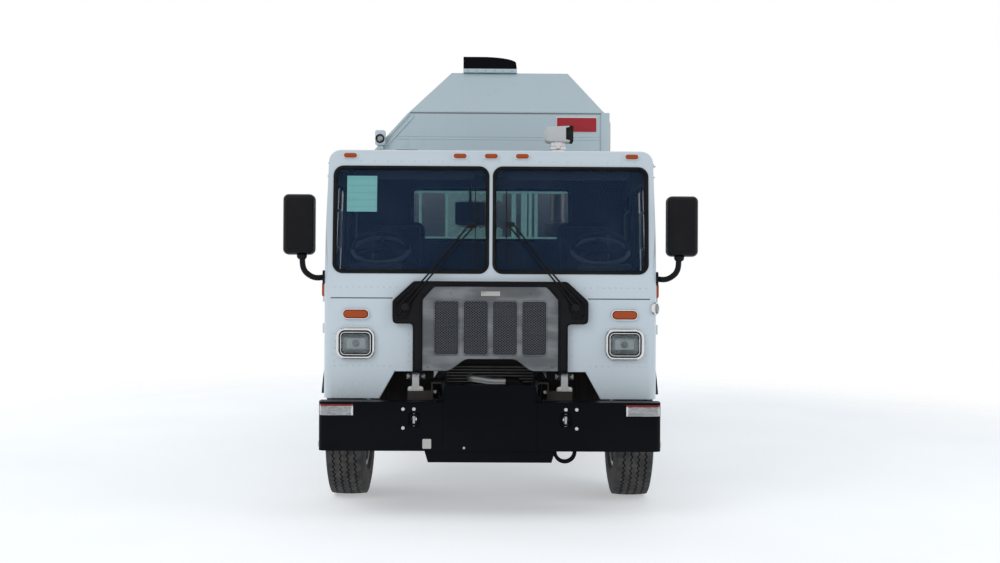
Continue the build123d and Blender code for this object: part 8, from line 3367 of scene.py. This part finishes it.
@dataclass
class HopperGear(Assembly):
    """The hopper's rolled rim, ribs and rubber chute lip, with the packer's scraper and its bolts."""

    kerb: float = -0.98
    street: float = 1.15
    front: float = -2.5
    top: float = 2.6
    kerb_top: float = 2.4
    packer_y: float = -2.262

    def build(self) -> None:
        """Builds each group."""
        rim, rubber, scraper, ribs = Form(), Form(), Form(), Form()
        for x, z in ((self.street - 0.002, self.top + 0.004), (self.kerb + 0.002, self.kerb_top + 0.004)):
            rim.rod((x, self.front, z), (x, BODY_FRONT_Y, z), 0.022, 16, 0.004)
        out = self.kerb - 0.024
        gusset = [(self.kerb, 2.38), (out, 2.36), (out, 2.2), (self.kerb, 2.1)]
        for y in (-2.3, -2.0, -1.7, -1.4):
            ribs.box((self.street - 0.001, y - 0.025, 1.23), (self.street + 0.028, y + 0.025, 2.58), 0.006)
            ribs.prism(gusset, Facing.FRONT, y - 0.02, y + 0.02)
        low = (self.kerb - 0.012, self.front + 0.02, 2.28)
        rubber.box(low, (self.kerb - 0.0005, BODY_FRONT_Y - 0.02, 2.42), 0.004)
        rubber.hexes([(self.kerb - 0.012, -2.4 + 0.18 * n, 2.385) for n in range(7)], 0, -1.0, 0.011, 0.008)
        for z, depth, tall in ((1.262, 0.018, 0.085), (2.19, 0.014, 0.02)):
            scraper.box((-0.725, self.packer_y, z), (1.095, self.packer_y + depth, z + tall), 0.003)
        scraper.hexes([(-0.64 + 0.19 * n, -2.246, 1.305) for n in range(10)], 1, 1.0, 0.012, 0.009)
        rim.place("hopper_rim", self.body, HOPPER_WHITE, "grey_paint")
        ribs.place("hopper_ribs", self.body, HOPPER_WHITE, "grey_paint")
        rubber.place("chute_rubber", self.body, GASKET, "black_plastic")
        scraper.place("packer_scraper", "packer", SCRAPED, "grey_paint")


@dataclass
class ArmGear(Assembly):
    """The caps of the arm's rotary drive, its bolts and lines, and the rubber pads on its fingers."""

    x: float = -1.06
    y: float = -1.9
    z: float = 1.75
    foot: float = 0.64
    plate_x: float = -0.935
    pin_x: float = -1.155

    def build(self) -> None:
        """Builds each group."""
        self.carriage()
        self.boom()
        self.fingers()

    def carriage(self) -> None:
        """The rotary drive's end caps with their bolts, the head plate's bolts and a rigid pipe."""
        caps, bolts, lines = Form(), Form(), Form()
        turns = [2 * math.pi * n / 8 for n in range(8)]
        for way in (1.0, -1.0):
            face = self.y + way * 0.0985
            cap = [(0.0, 0.062), (0.006, 0.062), (0.014, 0.055), (0.016, 0.03)]
            caps.lathe([(way * out, radius) for out, radius in cap], (self.x, face, self.z), 1, 36)
            y = face + way * 0.01
            spots = [(self.x + 0.047 * math.sin(t), y, self.z + 0.047 * math.cos(t)) for t in turns]
            bolts.hexes(spots, 1, way, 0.0065, 0.006)
        spots = [(self.plate_x, self.y + a, z) for a in (-0.2, -0.15, 0.15, 0.2) for z in (0.985, 1.155)]
        bolts.hexes(spots, 0, -1.0, 0.011, 0.009)
        y = self.y + 0.112
        path = [(self.x + 0.05, self.y + 0.1, 1.6), (self.x + 0.1, y, 1.5), (self.x + 0.13, y, 1.3)]
        lines.pipe([*path, (self.plate_x, y, 1.19)], 0.009, 0.05, 10)
        caps.place("drive_caps", "arm_slide", CAST, "bright_metal")
        bolts.place("carriage_bolts", "arm_slide", ZINC, "bright_metal")
        lines.place("carriage_pipe", "arm_slide", GASKET, "black_plastic")

    def boom(self) -> None:
        """Weld beads, steel lines with their clamps down the arm, and the bolts at its foot."""
        plates, lines, bolts = Form(), Form(), Form()
        for y in (self.y - 0.03, self.y + 0.03):
            edge = self.x - 0.0405
            plates.rod((edge, y, self.foot + 0.1), (edge, y, self.z - 0.1), 0.0035, 6)
        for z in (0.95, 1.2, 1.45):
            lines.box(
                (self.x + 0.039, self.y - 0.03, z - 0.012), (self.x + 0.062, self.y + 0.03, z + 0.012), 0.004
            )
            bolts.hexes([(self.x + 0.061, self.y, z)], 0, 1.0, 0.007, 0.006)
        for a in (-0.018, 0.018):
            x, y = self.x + 0.051, self.y + a
            end = (self.x + 0.046, self.y + a * 4, self.foot + 0.045)
            plates.pipe([(x, y, self.z - 0.12), (x, y, self.foot + 0.1), end], 0.0075, 0.04, 10)
        for y in (self.y - 0.26, self.y + 0.26):
            spots = [(self.x - 0.03 + b, y, self.foot + 0.0355) for b in (-0.02, 0.03)]
            bolts.hexes(spots, 2, 1.0, 0.009, 0.007)
        plates.place("arm_lines", "arm", STAINLESS, "bright_metal")
        lines.place("arm_clamps", "arm", CHASSIS, "black_paint")
        bolts.place("arm_bolts", "arm", ZINC, "bright_metal")

    def fingers(self) -> None:
        """Ribbed rubber pads along the inside of each finger, with the pins' caps."""
        for name, way, z in (("front", -1.0, 0.724), ("rear", 1.0, 0.556)):
            pads, caps = Form(), Form()
            pin_y = self.y + way * 0.19
            for n in range(9):
                share = 0.16 + 0.09 * n
                bow = 0.026 * math.sin(math.pi * min(1.0, share * 0.9)) - 0.05 * max(0.0, share - 0.5)
                y = pin_y + way * 0.4 * share
                x = self.pin_x - 0.016 + bow * 0.55
                pads.box((x - 0.012, y - 0.013, z - 0.031), (x + 0.004, y + 0.013, z + 0.031), 0.004)
            caps.lathe([(0.0, 0.022), (0.006, 0.022), (0.009, 0.015)], (self.pin_x, pin_y, z + 0.035), 2, 20)
            pads.place(f"finger_pads_{name}", f"finger_{name}", GASKET, "black_plastic")
            caps.place(f"finger_pins_{name}", f"finger_{name}", ZINC, "bright_metal")


@dataclass
class TailgateGear(Assembly):
    """The tailgate's hinge caps, latches, seal, bars, lamps and tape, and the cylinders' fittings."""

    hinge: tuple[float, float] = (4.23, 3.985)
    hinge_xs: tuple[float, ...] = (-0.25, 0.63)
    latch_y: float = 4.16
    lamp_radius: float = 0.052

    def build(self) -> None:
        """Builds each group."""
        pins, latches, seal = Form(), Form(), Form()
        y, z = self.hinge
        for x in self.hinge_xs:
            for way in (-1.0, 1.0):
                cap = [(0.0, 0.03), (way * 0.008, 0.03), (way * 0.012, 0.024)]
                pins.lathe(cap, (x + way * 0.075, y, z), 0, 24)
        for _, side in SIDES:
            x = side * (BODY_HALF + 0.028)
            plate = panel((4.13, 1.3), (4.19, 1.46), 0.015)
            latches.prism(plate, Facing.SIDE, x - side * 0.028, x + side * 0.006, 0.005)
            latches.rod((x, self.latch_y, 1.33), (x, self.latch_y, 1.43), 0.014, 14, 0.003)
            latches.hexes([(x + side * 0.006, self.latch_y, z) for z in (1.332, 1.428)], 0, side, 0.01, 0.008)
        pins.place("hinge_caps", "tailgate", CAST, "bright_metal")
        latches.place("tailgate_latches", self.body, BLACK, "black_paint")
        seal.box((-1.17, 4.30, 1.226), (1.17, 4.312, 1.25), 0.003)
        seal.box((-1.18, 4.302, 1.26), (-1.15, 4.312, 3.0), 0.003)
        seal.box((1.15, 4.302, 1.26), (1.18, 4.312, 3.4), 0.003)
        seal.place("tailgate_seal", "tailgate", GASKET, "black_plastic")
        self.cylinders()
        self.back()

    def back(self) -> None:
        """Upright bars on the bulged back, and its lamps in rings with tape below them."""
        bars, rings, lamps, tape = Form(), Form(), Form(), Form()
        skin = [(4.6, 1.265), (4.85, 1.9), (4.85, 2.6), (4.722, 3.4)]
        skin_y, radius = 4.848, self.lamp_radius
        ring = ((0.0, 0.0), (0.0, 0.009), (0.012, 0.008), (0.016, 0.0), (0.012, -0.004))
        lens = ((0.002, 0.003), (0.012, 0.004), (0.018, 0.018))
        for x in (-1.09, -0.42, 0.42, 1.09):
            bars.prism(skin + [(y + 0.022, z) for y, z in reversed(skin)], Facing.SIDE, x - 0.035, x + 0.035)
        for _, side in SIDES:
            for z in (2.36, 2.22):
                spot = (side * 0.94, skin_y, z)
                rings.lathe([(out, radius + more) for out, more in ring], spot, 1, 32, True)
                lamps.lathe([*((out, radius - less) for out, less in lens), (0.02, 0.006)], spot, 1, 28)
        for x in (-0.16, 0.0, 0.16):
            lamps.prism(
                panel((x - 0.045, 2.385), (x + 0.045, 2.42), 0.012), Facing.FRONT, skin_y, 4.866, 0.005
            )
        for n in range(8):
            x = -0.84 + n * 0.24
            if abs(abs(x) - 0.42) > 0.07:
                tape.prism(rounded((x - 0.09, 1.95), (x + 0.09, 2.0), 0.004), Facing.FRONT, 4.849, 4.8515)
        bars.place("tailgate_bars", "tailgate", BODY_WHITE, "white_paint")
        rings.place("tailgate_lamp_rings", "tailgate", PLASTIC, "black_plastic")
        lamps.place("tailgate_lamps", "tailgate", RED, "red_lens")
        tape.place("tailgate_tape", "tailgate", TAPE_RED, "red_lens")

    def cylinders(self) -> None:
        """The glands and ports of the lifting cylinders."""
        glands, ports = Form(), Form()
        start, end = Vector((3.25, 2.75)), Vector((4.6, 2.95))
        way = (end - start).normalized()
        for _, side in SIDES:
            x = side * 1.252
            tip = start + way * 1.26
            low = (x, tip.x - way.x * 0.03, tip.y - way.y * 0.03)
            glands.rod(low, (x, tip.x + way.x * 0.004, tip.y + way.y * 0.004), 0.0415, 28, 0.004)
            for share in (0.12, 1.14):
                spot = start + way * share
                ports.rod(
                    (x, spot.x, spot.y), (x, spot.x - way.y * 0.055, spot.y + way.x * 0.055), 0.011, 12, 0.002
                )
        glands.place("cylinder_glands", "barrels", CAST, "bright_metal")
        ports.place("cylinder_ports", "barrels", ZINC, "bright_metal")


def main() -> None:
    """Builds the stage, then each sub-assembly in order."""
    Stage().build()
    CadDressing().build(frame["nodes"])
    groups: tuple[Assembly, ...] = (
        Windscreens(),
        FrontPanel(),
        Lamps(),
        Grille(),
        Wipers(),
        Mirrors(),
        Stack(),
        Cowl(),
        Wheels(),
        Bumper(),
        Seats(),
        Interior(),
        CabSides(),
        RearGuard(),
        SplashGuard(),
        EntrySteps(),
        RunningGear(),
        SideGear(),
        BodyHead(),
        BodySides(),
        HopperGear(),
        ArmGear(),
        TailgateGear(),
    )
    for group in groups:
        group.build()
        LOG.info("%s done", type(group).__name__)


if __name__ == "__main__":
    main()
